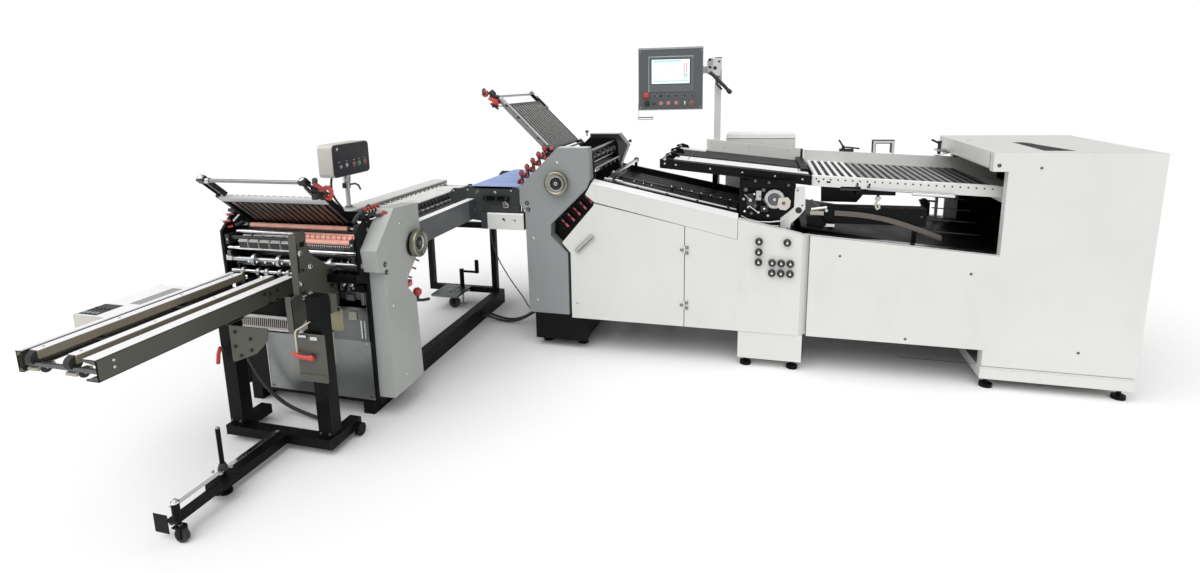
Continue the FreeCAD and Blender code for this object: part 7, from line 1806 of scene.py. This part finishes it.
class FOLDER_OT_unit_1(bpy.types.Operator):
    """Fits fold unit 1 with its upper plate, knobs, screws and clamps, and pale strips on its covers' tops as
    a painted highlight
    """
    bl_idname = "folder.unit_1"
    bl_label = "Fold unit 1"

    def execute(self, context):
        self.plate()
        self.knobs()
        form = Form("bright_steel")
        for x, z in ((-863, 1129), (-1023, 679)):
            dome_screw(form, (x, 0, z), FRONT, 8)
        for x, z in ((-1054, 892), (-1047, 854)):
            socket_screw(form, (x, 0, z), FRONT)
        for x, z in ((-1010, 300), (-760, 300)):
            dome_screw(form, (x, 0, z), FRONT, 7)
        # Thin pale strips on the top faces of the two grey covers: a painted highlight where the light from
        # above falls.
        form.prism([(-862, 1236), (-662, 1236), (-662, 1236.8), (-862, 1236.8)], "y", 759, FAR_COVER,
                   "panel_white")
        form.prism([(-862, 1216), (-682, 1216), (-682, 1216.8), (-862, 1216.8)], "y", 0, 85, "panel_white")
        for x, z in ((-863, 1129), (-1023, 679), (-1010, 300)):
            dome_screw(form, (x, FAR_COVER, z), BACK, 8)
        form.prism([(-1080, 1000), (-1000, 1000), (-1000, 960), (-1080, 960)], "y", FAR_COVER,
                   FAR_COVER + 1.2, "pale_grey_plastic")
        form.turned((-892, 790, 1236), UP, [(0, 6), (8, 6), (9, 12), (18, 12), (20, 9)], "black_plastic", 20)
        form.turned((-600, 775, 1184), (1, 0, 0.2), [(0, 6), (8, 6), (9, 11), (18, 11), (20, 8)],
                    "black_plastic", 20)
        form.bar((-892, 790, 1216), (-892, 790, 1238), 5, "steel", 12, 0.6)
        piece("unit_one_fittings", form, "machine", 0.3)
        repeats("unit_one_rows", "machine", [
            ("bolt", "dark_steel", 6, TO_BACK, (-1060, FAR_COVER, 260), (-640, FAR_COVER, 260), 4),
            ("slab", "stand_black", (60, 2, 6), UPRIGHT, (-860, 844.4, 420), (-860, 844.4, 560), 8)])
        return {"FINISHED"}

    def plate(self):
        """The buckle plate seen from above: silver bars over dark ones between two arms."""
        form = Form("frame_black")
        form.turn = PLATE_1
        for low, high, look in ((0, 12, "bar_silver"), (632, 644, "frame_black")):
            form.prism([(low, -22), (high, -22), (high, -2), (high - 2, 0), (low + 2, 0), (low, -2)], "y",
                       -104, 466, look)
        for low, high in ((-22, -14), (-8, 0)):
            for start in (0, 366):
                form.block((12, start, low), (632, start + 14, high), "dark_steel")
        count = 14
        for index in range(count):
            middle = 32 + index * 580 / (count - 1)
            form.prism([(middle - 9, -5), (middle - 7, -1), (middle + 7, -1), (middle + 9, -5),
                        (middle + 9, -8), (middle - 9, -8)], "y", 2, 378, "bar_silver")
            form.block((middle + 16, 4, -20), (middle + 26, 376, -15), "stand_black")
        form.block((14, 6, -21.6), (630, 374, -20.4), "stand_black")
        form.bar((0, 452, -11), (644, 452, -11), 7.6, "steel", 24, 1)
        form.bar((6, -20, 10), (6, 160, 10), 10, "steel", 24, 1.5)
        form.bar((6, 150, 10), (6, 420, 10), 6.5, "bright_steel", 22, 1)
        form.ring((6, 150, 10), BACK, [(0, 6), (0, 12), (10, 12), (10, 6)], "steel", 24)
        for along in (90, 260, 360):
            form.block((-4, along, -6), (14, along + 12, 4), "black_plastic")
        form.block((632, 440, -20), (652, 470, 6), "steel")
        form.block((634, 330, 0), (648, 400, 6), "black_plastic")
        form.bar((640, 300, 6), (640, 420, 6), 4, "dark_steel", 14, 0.8)
        form.block((-6, -46, -12), (26, -4, 20), "black_plastic")
        form.block((618, -46, -12), (650, -4, 16), "black_plastic")
        form.turned((10, -26, 20), UP, [(0, 9), (8, 8), (11, 5)], "bright_steel", 20)
        form.bar((30, -30, 8), (610, -30, 8), 6, "steel", 18, 1)
        piece("fold_plate_one", form, "machine", 0.3, ("fold_plate_1",))

    def knobs(self):
        """The red and black setting knobs at the plate's near upper corner and its foot."""
        form = Form("black_plastic")
        form.turned((-1322, 92, 1540), (-0.6, -0.6, 0.5), [(0, 8), (8, 8), (9, 13), (20, 13), (22, 10)],
                    steps=22)
        form.bar((-1322, 94, 1540), (-1282, 100, 1512), 6, "steel", 16, 1)
        form.turned((-1316, 84, 1526), (-0.2, -1, 0.3), [(0, 14), (4, 21), (18, 21), (22, 15)], "dull_red",
                    24)
        form.turned((-1318, 66, 1530), (-0.2, -1, 0.3), [(0, 12), (4, 12), (6, 8)], steps=20)
        form.block((-1296, 84, 1488), (-1262, 104, 1524))
        form.pipe([(-1296, 80, 1500), (-1276, 76, 1492), (-1258, 80, 1478), (-1242, 84, 1462)], 11,
                  "red_plastic", 16)
        form.turned((-1262, 80, 1478), (0.5, -1, 0.2), [(0, 12), (5, 17), (18, 17), (22, 12)], "red_plastic",
                    24)
        form.block((-1282, 80, 1446), (-1248, 104, 1470))
        form.bar((-1290, 82, 1470), (-1240, 78, 1436), 6, steps=14, chamfer=1)
        form.turned((-1228, 84, 1454), (0.7, -0.6, 0.7), [(0, 9), (12, 9), (15, 6)], "chrome", 18)
        form.turned((-1246, 84, 1506), (0.7, -0.6, 0.7), [(0, 10), (10, 10), (13, 6)], steps=18)
        form.bar((-1300, 90, 1536), (-1252, 96, 1500), 8, steps=16, chamfer=1)
        for x, z, look in ((-965, 1196, "black_plastic"), (-944, 1206, "black_plastic"),
                           (-922, 1198, "dull_red"), (-902, 1190, "black_plastic")):
            form.turned((x, 92, z), (0.2, -0.8, 0.6), [(0, 11), (4, 14), (14, 14), (18, 10)], look, 20)
            form.bar((x, 96, z - 26), (x, 92, z + 6), 6, steps=14, chamfer=1)
        form.block((-985, 86, 1150), (-890, 100, 1180))
        for x, z in ((-978, 1182), (-930, 1176)):
            form.turned((x, 86, z), FRONT, [(0, 6), (4, 5)], "bright_steel", 14)
        piece("plate_one_knobs", form, "machine", 0.3)


# ---------------------------------------------------------------- exit conveyor and cross table
CONVEYOR_FACE, BOX_FACE = 30, 15.2
RAIL_FACE, SECOND_COVER, TABLE_EDGE, SHELF = -1399.2, -1400, -2120, 888


class FOLDER_OT_exit(bpy.types.Operator):
    """Fits the exit conveyor with its plate, clamp, lock disc and terminal box"""
    bl_idname = "folder.exit"
    bl_label = "Exit conveyor fittings"

    def execute(self, context):
        box = Form("panel_white")
        box.block((-1318, BOX_FACE, 722), (-1085.4, 16.4, 816))
        # The box's top rim is drawn in the brighter white: a painted highlight of its lit top.
        box.prism([(-1318, 813), (-1085.4, 813), (-1085.4, 822), (-1318, 822)], "y", 15, 30, "bright_white")
        box.block((-1318, 15.4, 722), (-1085.4, 84, 723))
        box.turned((-1213, BOX_FACE, 786), FRONT, [(0, 7), (2, 7), (3, 4)], "black_plastic", 18)
        box.turned((-1205, BOX_FACE, 778), FRONT, [(0, 5), (2, 5)], "steel", 16)
        box.turned((-1141, BOX_FACE, 780), FRONT, [(0, 5), (2, 5)], "black_plastic", 16)
        box.block((-1162, 14.4, 782), (-1150, 15.4, 784), "dark_steel")
        piece("terminal_box_cover", box, "machine", 0.4)
        form = Form("exit_slate")
        # Slate patches here, one below the conveyor plate and one on the terminal box's left end, are painted
        # shade.
        form.prism([(-1455, 873), (-1330, 873), (-1318, 800), (-1318, 762), (-1455, 776)], "y", 31, 36,
                   "blue_slate")
        form.block((-1360, BOX_FACE, 722), (-1318, 16.2, 820), "blue_slate")
        form.prism([(-1305, 867), (-1112, 870), (-1112, 824), (-1300, 824), (-1310, 836)], "y", 23,
                   CONVEYOR_FACE)
        form.block((-1340, 14, 898), (-1176, 30, 924), "stand_black")
        for x, high in ((-1330, 926), (-1262, 922), (-1200, 930)):
            form.block((x, 12, 894), (x + 10, 30, high), "black_plastic")
        form.bar((-1188, 14, 908), (-1180, 14, 934), 5, "black_plastic", 14, 1)
        form.turned((-1266, CONVEYOR_FACE, 944), FRONT, [(0, 10), (5, 9), (7, 5)], "bright_steel", 20)
        form.bar((-1276, 26, 936), (-1256, 26, 952), 3, "dark_steel", 12)
        form.ring((-1198, 23, 870), FRONT, [(0, 6), (0, 18), (4, 20), (8, 18), (8, 14), (5, 12), (5, 6)],
                  "bright_steel", 30)
        form.turned((-1198, 23, 870), FRONT, [(0, 7), (10, 7), (12, 4)], "dark_steel", 20)
        form.pipe([(-1216, 16, 884), (-1196, 12, 892), (-1180, 14, 876), (-1184, 16, 856)], 3, "chrome", 12)
        tab = ((-3, -10), (4, -8), (4, 12), (-3, 10))
        for x, z in ((-1388, 944), (-1376, 952)):
            form.solid([(x + along, y, z + up) for y in (29.4, 27) for along, up in tab], BOX_FACES,
                       "bright_steel")
        for x, z in ((-1446, 958), (-1164, 956), (-1540, 950)):
            form.turned((x, CONVEYOR_FACE, z), FRONT, [(0, 4.5), (2, 4)], "white_plastic", 16)
        form.block((-1098, 26, 820), (-1086, 30, 880))
        piece("exit_fittings", form, "machine", 0.4)
        repeats("exit_rows", "machine", [
            ("bolt", "dark_steel", 5, TO_BACK, (-1540, 800, 940), (-1120, 800, 940), 5),
            ("bolt", "dark_steel", 5, TO_BACK, (-1340, 814, 760), (-1110, 814, 760), 3)])
        return {"FINISHED"}


class FOLDER_OT_cross(bpy.types.Operator):
    """Fits the cross table with its rail flange, brush row, guide shelf and bed sheet; the rail's face
    carries painted shade and its top a painted highlight
    """
    bl_idname = "folder.cross"
    bl_label = "Cross table fittings"

    def execute(self, context):
        bristles = context.scene.folder_sizes.bristles
        form = Form("rail_dark")
        # The cross rail's face is covered in a darker grey as painted shade, its far end in slate as painted
        # shade, and its top in the brighter white as a painted highlight.
        form.blocks(
            ((-1400.6, -639, 785.4), (RAIL_FACE, 13.4, 905.6)),
            ((RAIL_FACE, -62, 786), (-1398.4, 13, 904), "blue_slate"),
            ((-1442, -640, 903.4), (-1399.4, 14, 906.8), "bright_white"))
        form.turned((RAIL_FACE, -367, 838), RIGHT, [(0, 4.5), (0.6, 4.5)], "black_plastic", 16)
        form.turned((RAIL_FACE, -120, 792), RIGHT, [(0, 5), (2, 4)], "dark_steel", 16)
        form.block((-1399.4, -150, 820), (-1398.6, -120, 860))
        form.prism([(-636, 846.4), (842, 846.4), (842, 847.6), (-636, 847.6)], "x", -2008, -1444,
                   "wavy_sheet")
        form.block((-2010, -636, 846), (-2005, 844, 884), "shelf_edge")
        form.prism([(-2119, 884), (-2008, 884), (-2004, 880), (-2004, 885.6), (-2008, SHELF), (-2119, SHELF)],
                   "y", -638, 845, "panel_white")
        form.block((TABLE_EDGE, -638, 786), (-2119.2, 845, 884))
        form.ring((-2055, -300, 884), UP, [(0, 13), (0, 34), (5, 34), (8, 24), (20, 20), (20, 13)],
                  "dark_steel", 32)
        piece("cross_table_sheets", form, "machine", 0.4)
        row = Form("black_plastic")
        row.prism([(-170, 884), (570, 884), (570, 892), (-170, 892)], "x", -1697, -1683)
        row.bar((-1690, -180, 896), (-1690, 584, 896), 5, "bright_steel", 16, 1)
        for index in range(17):
            start = -162 + index * 43
            row.ring((-1690, start, 872), BACK, [(0, 3), (0, 15), (3, 18), (19, 18), (22, 15), (22, 3)],
                     steps=20)
            row.block((-1698, start + 24, 862), (-1686, start + 34, 894), "dark_steel")
        for y in (-182, 574):
            row.block((-1706, y, 846), (-1674, y + 10, 902), "frame_black")
        row.prism([(-120, 847), (60, 847), (60, 872), (-120, 872)], "x", -1444, -1438, "pale_grey_plastic")
        piece("cross_table_row", row, "machine", 0.3)
        repeats("cross_table_details", "machine", [
            ("bristle", "black_plastic", (2.2, 2.2, 24), (180, 0, 0), (-1679, -170, 882), (-1679, 566, 882),
             bristles, 0.8),
            ("slab", "dark_steel", (2, 7, 7), UPRIGHT, (-2003.6, -600, 872), (-2003.6, 820, 872), 46),
            ("ball", "chrome", 6, UPRIGHT, (-1980, -560, 866), (-1980, 780, 866), 24),
            ("screw", "steel", 5, UPRIGHT, (-2100, -560, SHELF), (-2100, 780, SHELF), 6)])
        self.cover()
        return {"FINISHED"}

    def cover(self):
        """The screws, fittings and red levers of fold unit 2's grey cover, and a black disc as the
        handwheel's painted shadow.
        """
        form = Form("bright_steel")
        for y, z in ((-827, 938), (-934, 560), (-860, 180)):
            dome_screw(form, (SECOND_COVER, y, z), RIGHT, 8)
        for y, z in ((-978, 774), (-971, 734)):
            socket_screw(form, (SECOND_COVER, y, z), RIGHT)
        for start, end in (((-709, 737), (-634, 695)), ((-743, 700), (-669, 663)),
                           ((-787, 666), (-714, 629))):
            form.bar((-1425, start[0], start[1]), (-1425, end[0], end[1]), 4.6, "dark_red", 14, 1)
        form.block((-1450, -770, 590), (-1424, -712, 620), "dull_red")
        form.block((-1424, -758, 596), (-1418, -726, 612), "pink_plastic")
        # A black disc on the cover behind the handwheel, offset a little towards the front: the wheel's
        # painted shadow.
        form.turned((-1400.2, -724, 810), RIGHT, [(0, 62), (5, 60), (6, 40)], "black_plastic", 40)
        form.turned((-1430, -668, 535), (0.4, 0.5, 0.5), [(-14, 14), (0, 24), (14, 22), (26, 12), (28, 0)],
                    "red_plastic", 24)
        form.pipe([(-1436, -695, 515), (-1430, -665, 493), (-1424, -615, 477), (-1420, -565, 467)], 8,
                  "black_plastic", 14)
        form.block((-1450, -705, 500), (-1424, -655, 524), "black_plastic")
        form.bar((-1452, -760, 600), (-1424, -760, 600), 6, "black_plastic", 14, 1)
        piece("cover_two_fittings", form, "machine", 0.3)


# ---------------------------------------------------------------- stands
class FOLDER_OT_stands(bpy.types.Operator):
    """Fits both stands: castor plates, caps, jack bolts, tie strip and dust shroud"""
    bl_idname = "folder.stands"
    bl_label = "Stand fittings"

    def execute(self, context):
        form = Form("zinc")
        form.blocks(
            ((-1986, 459, 112.2), (-1779, 701, 115)), ((-1986, 459, 99), (-1984.4, 701, 115)),
            ((-1984, 458, 99), (-1780, 459.6, 115)))
        for x, y in ((-1894, 572), (-1894, 656), (-1842, 572), (-1750, 590)):
            form.turned((x, y, 115), UP, [(0, 8), (2, 8), (2, 6), (7, 6), (8, 4)], "bright_steel", 16)
        form.turned((-1870, 540, 112), UP, [(0, 14), (5, 13), (8, 8)], "dark_steel", 22)
        form.pipe([(-1858, 566, 116), (-1846, 580, 128), (-1836, 600, 132), (-1820, 612, 126)], 4, steps=10)
        form.ring((-1825, 640, 112), UP, [(0, 17), (0, 24), (8, 23), (10, 19), (10, 17)], "black_plastic", 26)
        piece("stand_castor_plate", form, "machine", 0.4)
        grip = Form("black_plastic")
        grip.ring((-1696, 640, 250), UP, [(0, 7.2), (0, 9.4), (76, 9.4), (79, 8), (79, 7.2)], steps=22)
        piece("crank_sleeve", grip, "crank", 0.3)
        form = Form("chrome")
        form.block((-1772, -1905, 102), (-1748, -1360, 103.2))
        form.block((-1797, -1946, 30), (-1733, -1944, 104), "frame_black")
        for x, y in ((-1786, -1640), (-1744, -1640), (-1786, -1690), (-1744, -1690)):
            form.turned((x, y, 102), UP, [(0, 7), (2, 7), (2, 5.5), (7, 5.5), (8, 4)], "bright_steel", 14)
        form.ring((-1765, -1660, 102), UP, [(0, 9.4), (0, 20), (10, 18), (26, 12), (28, 9.4)],
                  "black_plastic", 26)
        form.turned((-1765, -1660, 280), UP, [(0, 9.2), (2, 8.4), (4, 5)], "steel", 8)
        form.block((-1740, -1936, 60), (-1690, -1924, 66), "bright_steel")
        form.turned((-1705, -1930, 150), UP, [(0, 15), (6, 15), (8, 10), (14, 7), (17, 0)], steps=24)
        for x in (-2048, -2002, -1568, -1522):
            form.turned((x, -1315, 90), FRONT, [(0, 7), (2, 7), (2, 5), (6, 5)], "dark_steel", 14)
        for x in (-2062, -1502):
            form.block((x - 2, -1342, 28), (x, -1278, 77), "black_plastic")
        piece("delivery_stand_fittings", form, "machine", 0.4)
        return {"FINISHED"}


# ---------------------------------------------------------------- panels and back
HINGES = (334, 654)
HINGE_SCREW = [(0, 3.6), (1.2, 3.2), (0.4, 1)]
HINGE_FACE, LEAF_FACE = -6.9, -8.4
BODY_BACK, FEEDER_BACK, FEEDER_END, FEEDER_FRONT, CABINET_BACK = 1005, 999, 1996.2, 6, 1191.2


class FOLDER_OT_panels(bpy.types.Operator):
    """Fits the body panels with hinge leaves, the door's handle, screws, seams and vents"""
    bl_idname = "folder.panels"
    bl_label = "Panel fittings"

    def execute(self, context):
        radius = context.scene.folder_sizes.screw * 1000
        fixed, door = Form("zinc"), Form("zinc")
        for level in HINGES:
            for low, high in ((level - 23.4, level - 7.8), (level + 7.8, level + 23.4)):
                fixed.block((-133, LEAF_FACE, low), (-113.4, HINGE_FACE, high))
                fixed.turned((-123, LEAF_FACE, (low + high) / 2), FRONT, HINGE_SCREW, "steel", 14)
            door.block((-158.6, LEAF_FACE, level - 7.4), (-139, HINGE_FACE, level + 7.4))
            door.turned((-148, LEAF_FACE, level), FRONT, HINGE_SCREW, "steel", 14)
        piece("hinge_leaves_fixed", fixed, "machine", 0.2)
        self.handle(door)
        piece("door_handle_cup", door, "door", 0.5)
        form = Form("steel")
        for x, z in ((1343, 1139), (1517, 1129), (663, 658), (1268, 598), (997, 232), (1754, 230)):
            dome_screw(form, (x, FEEDER_FRONT, z), FRONT, radius, "dark_steel")
        form.turned((1343, FEEDER_FRONT, 1139), FRONT, [(0, 9), (1, 9)], "black_plastic", 22)
        for x in (590, 1300, 1930):
            for z in (240, 1090 if x > 1400 else 620):
                dome_screw(form, (x, FEEDER_BACK, z), BACK, radius, "steel")
        for x, z in ((-600, 240), (-600, 860), (470, 240), (470, 720), (-100, 240)):
            dome_screw(form, (x, BODY_BACK, z), BACK, radius, "steel")
        for y, z in ((90, 160), (90, 1150), (915, 160), (915, 1150), (500, 160), (500, 1150)):
            dome_screw(form, (FEEDER_END, y, z), RIGHT, radius, "steel")
        piece("panel_screws", form, "machine", 0)
        back = Form("panel_white")
        back.block((120, 1188, 700), (380, 1191.4, 980))
        back.block((112, 1188, 692), (388, 1189.8, 988), "slate_pale")
        for x in (140, 360):
            dome_screw(back, (x, CABINET_BACK, 960), BACK, radius, "steel")
            dome_screw(back, (x, CABINET_BACK, 720), BACK, radius, "steel")
        back.turned((250, 1190, 940), BACK, [(0, 14), (2, 14), (3, 11), (3, 4), (5, 4)], "chrome", 26)
        back.block((-300, 1004.6, 300), (-60, 1007, 460))
        back.block((1500, 998.6, 300), (1800, 1001, 700))
        back.turned((1650, 1001, 660), BACK, [(0, 12), (2, 12), (3, 9)], "black_plastic", 24)
        back.block((1996, 300, 400), (1998, 700, 900))
        back.turned((1997.4, 660, 650), RIGHT, [(0, 14), (2, 14), (2.4, 10)], "black_plastic", 24)
        piece("back_hatches", back, "machine", 0.8)
        repeats("back_rows", "machine", [
            ("slab", "stand_black", (180, 2.4, 5), UPRIGHT, (250, 1191.6, 760), (250, 1191.6, 900), 12),
            ("slab", "stand_black", (200, 2.4, 5), UPRIGHT, (-180, 1007.2, 330), (-180, 1007.2, 430), 9),
            ("slab", "stand_black", (240, 2.4, 5), UPRIGHT, (1650, 1001.2, 340), (1650, 1001.2, 600), 18),
            ("slab", "stand_black", (2.4, 300, 5), UPRIGHT, (1998.4, 500, 440), (1998.4, 500, 600), 12)])
        self.base()
        self.boxes()
        return {"FINISHED"}

    def boxes(self):
        """The rear cabinet with its lid and the feeder's end panel with its folded edges."""
        form = Form("panel_white")
        form.block((27, 1005, 645), (472, 1189, 1178))
        # The lid is drawn in the brighter white: a painted highlight of its lit upper band.
        form.prism([(27, 1181), (472, 1181), (472, 1204), (464, 1211.6), (36, 1211.6), (27, 1204)], "y", 1003,
                   1193, "bright_white")
        form.block((29, 1006, 1177), (470, 1190, 1182), "stand_black")
        piece("rear_cabinet_box", form, "machine", 2, ("rear_cabinet",))
        form = Form("panel_white")
        form.block((1960, 54, 108), (1996.4, 951, 1200))
        form.block((1960, 56, 112), (1997.4, 60, 1196), "slate_pale")
        piece("feeder_end_cover", form, "machine", 2, ("feeder_end_panel",))

    def handle(self, form):
        """The slanting recessed pull of the door: a bright cup with a darker grip edge."""
        form.turn = Matrix.Translation((-707, -9.6, 664)) @ Matrix.Rotation(math.radians(-44), 4, "Y")
        outline = []
        for centre, first in ((58, -90), (-58, 90)):
            for step in range(9):
                angle = math.radians(first + 22.5 * step)
                outline.append((centre + 17 * math.cos(angle), 17 * math.sin(angle)))
        form.prism(outline, "y", -2.2, 1, "handle_grey")
        form.prism([(x * 0.9, z * 0.62 - 2) for x, z in outline], "y", -3, -2.1, "handle_silver")
        form.prism([(x * 0.86, z * 0.16 - 7) for x, z in outline], "y", -3.4, -2.9, "dark_steel")
        form.turned((60, -3, 3), FRONT, [(0, 7), (1.6, 6)], "steel", 20)
        form.turn = None

    def base(self):
        """The feeder base's seams and bolts and the plinth's kick strip."""
        form = Form("steel")
        form.blocks(
            ((980, 52.6, 110), (1340, 53.4, 111.6), "stand_black"),
            ((1345, 4.8, 120), (1990, 5.6, 121.4), "stand_black"),
            ((1347, 4.6, 121), (1348.4, 5.6, 205), "stand_black"))
        for x, z in ((1380, 90), (1392, 90), (1940, 90), (1952, 90)):
            form.turned((x, 54, z), FRONT, [(0, 6), (2, 6), (2, 4.4), (5, 4.4)], "dark_steel", 14)
        piece("base_seams", form, "machine", 0)


# ---------------------------------------------------------------- panel and registering
OPERATORS = (
    FOLDER_OT_carried,
    FOLDER_OT_handwheels,
    FOLDER_OT_knobs,
    FOLDER_OT_belts,
    FOLDER_OT_screen,
    FOLDER_OT_control,
    FOLDER_OT_levers,
    FOLDER_OT_unit_2_plate,
    FOLDER_OT_unit_2,
    FOLDER_OT_delivery,
    FOLDER_OT_unit_1,
    FOLDER_OT_exit,
    FOLDER_OT_cross,
    FOLDER_OT_register,
    FOLDER_OT_belt_table,
    FOLDER_OT_roller_table,
    FOLDER_OT_stands,
    FOLDER_OT_panels,
    FOLDER_OT_cables,
    FOLDER_OT_stage,
)


class FOLDER_PT_sidebar(bpy.types.Panel):
    """Lists the machine's pieces in the sidebar"""
    bl_idname = "FOLDER_PT_sidebar"
    bl_label = "Folding machine"
    bl_space_type = "VIEW_3D"
    bl_region_type = "UI"
    bl_category = "Folder"

    def draw(self, context):
        """Draws the settings and a button for each operator."""
        for group in (context.scene.folder_sizes, context.scene.folder_finish):
            for name in group.__annotations__:
                self.layout.prop(group, name)
        for operator in OPERATORS:
            self.layout.operator(operator.bl_idname, text=operator.bl_label)


def register():
    """Registers the settings, the operators and the panel."""
    for kind in (FolderFinish, FolderSizes, *OPERATORS, FOLDER_PT_sidebar):
        bpy.utils.register_class(kind)
    bpy.types.Scene.folder_finish = PointerProperty(type=FolderFinish)
    bpy.types.Scene.folder_sizes = PointerProperty(type=FolderSizes)


def unregister():
    """Takes back what register did, in the other order."""
    del bpy.types.Scene.folder_sizes
    del bpy.types.Scene.folder_finish
    for kind in (FOLDER_PT_sidebar, *reversed(OPERATORS), FolderSizes, FolderFinish):
        bpy.utils.unregister_class(kind)


def main():
    """Registers the add-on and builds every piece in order."""
    register()
    for operator in OPERATORS:
        family, name = operator.bl_idname.split(".")
        getattr(getattr(bpy.ops, family), name)()


if __name__ == "__main__":
    main()
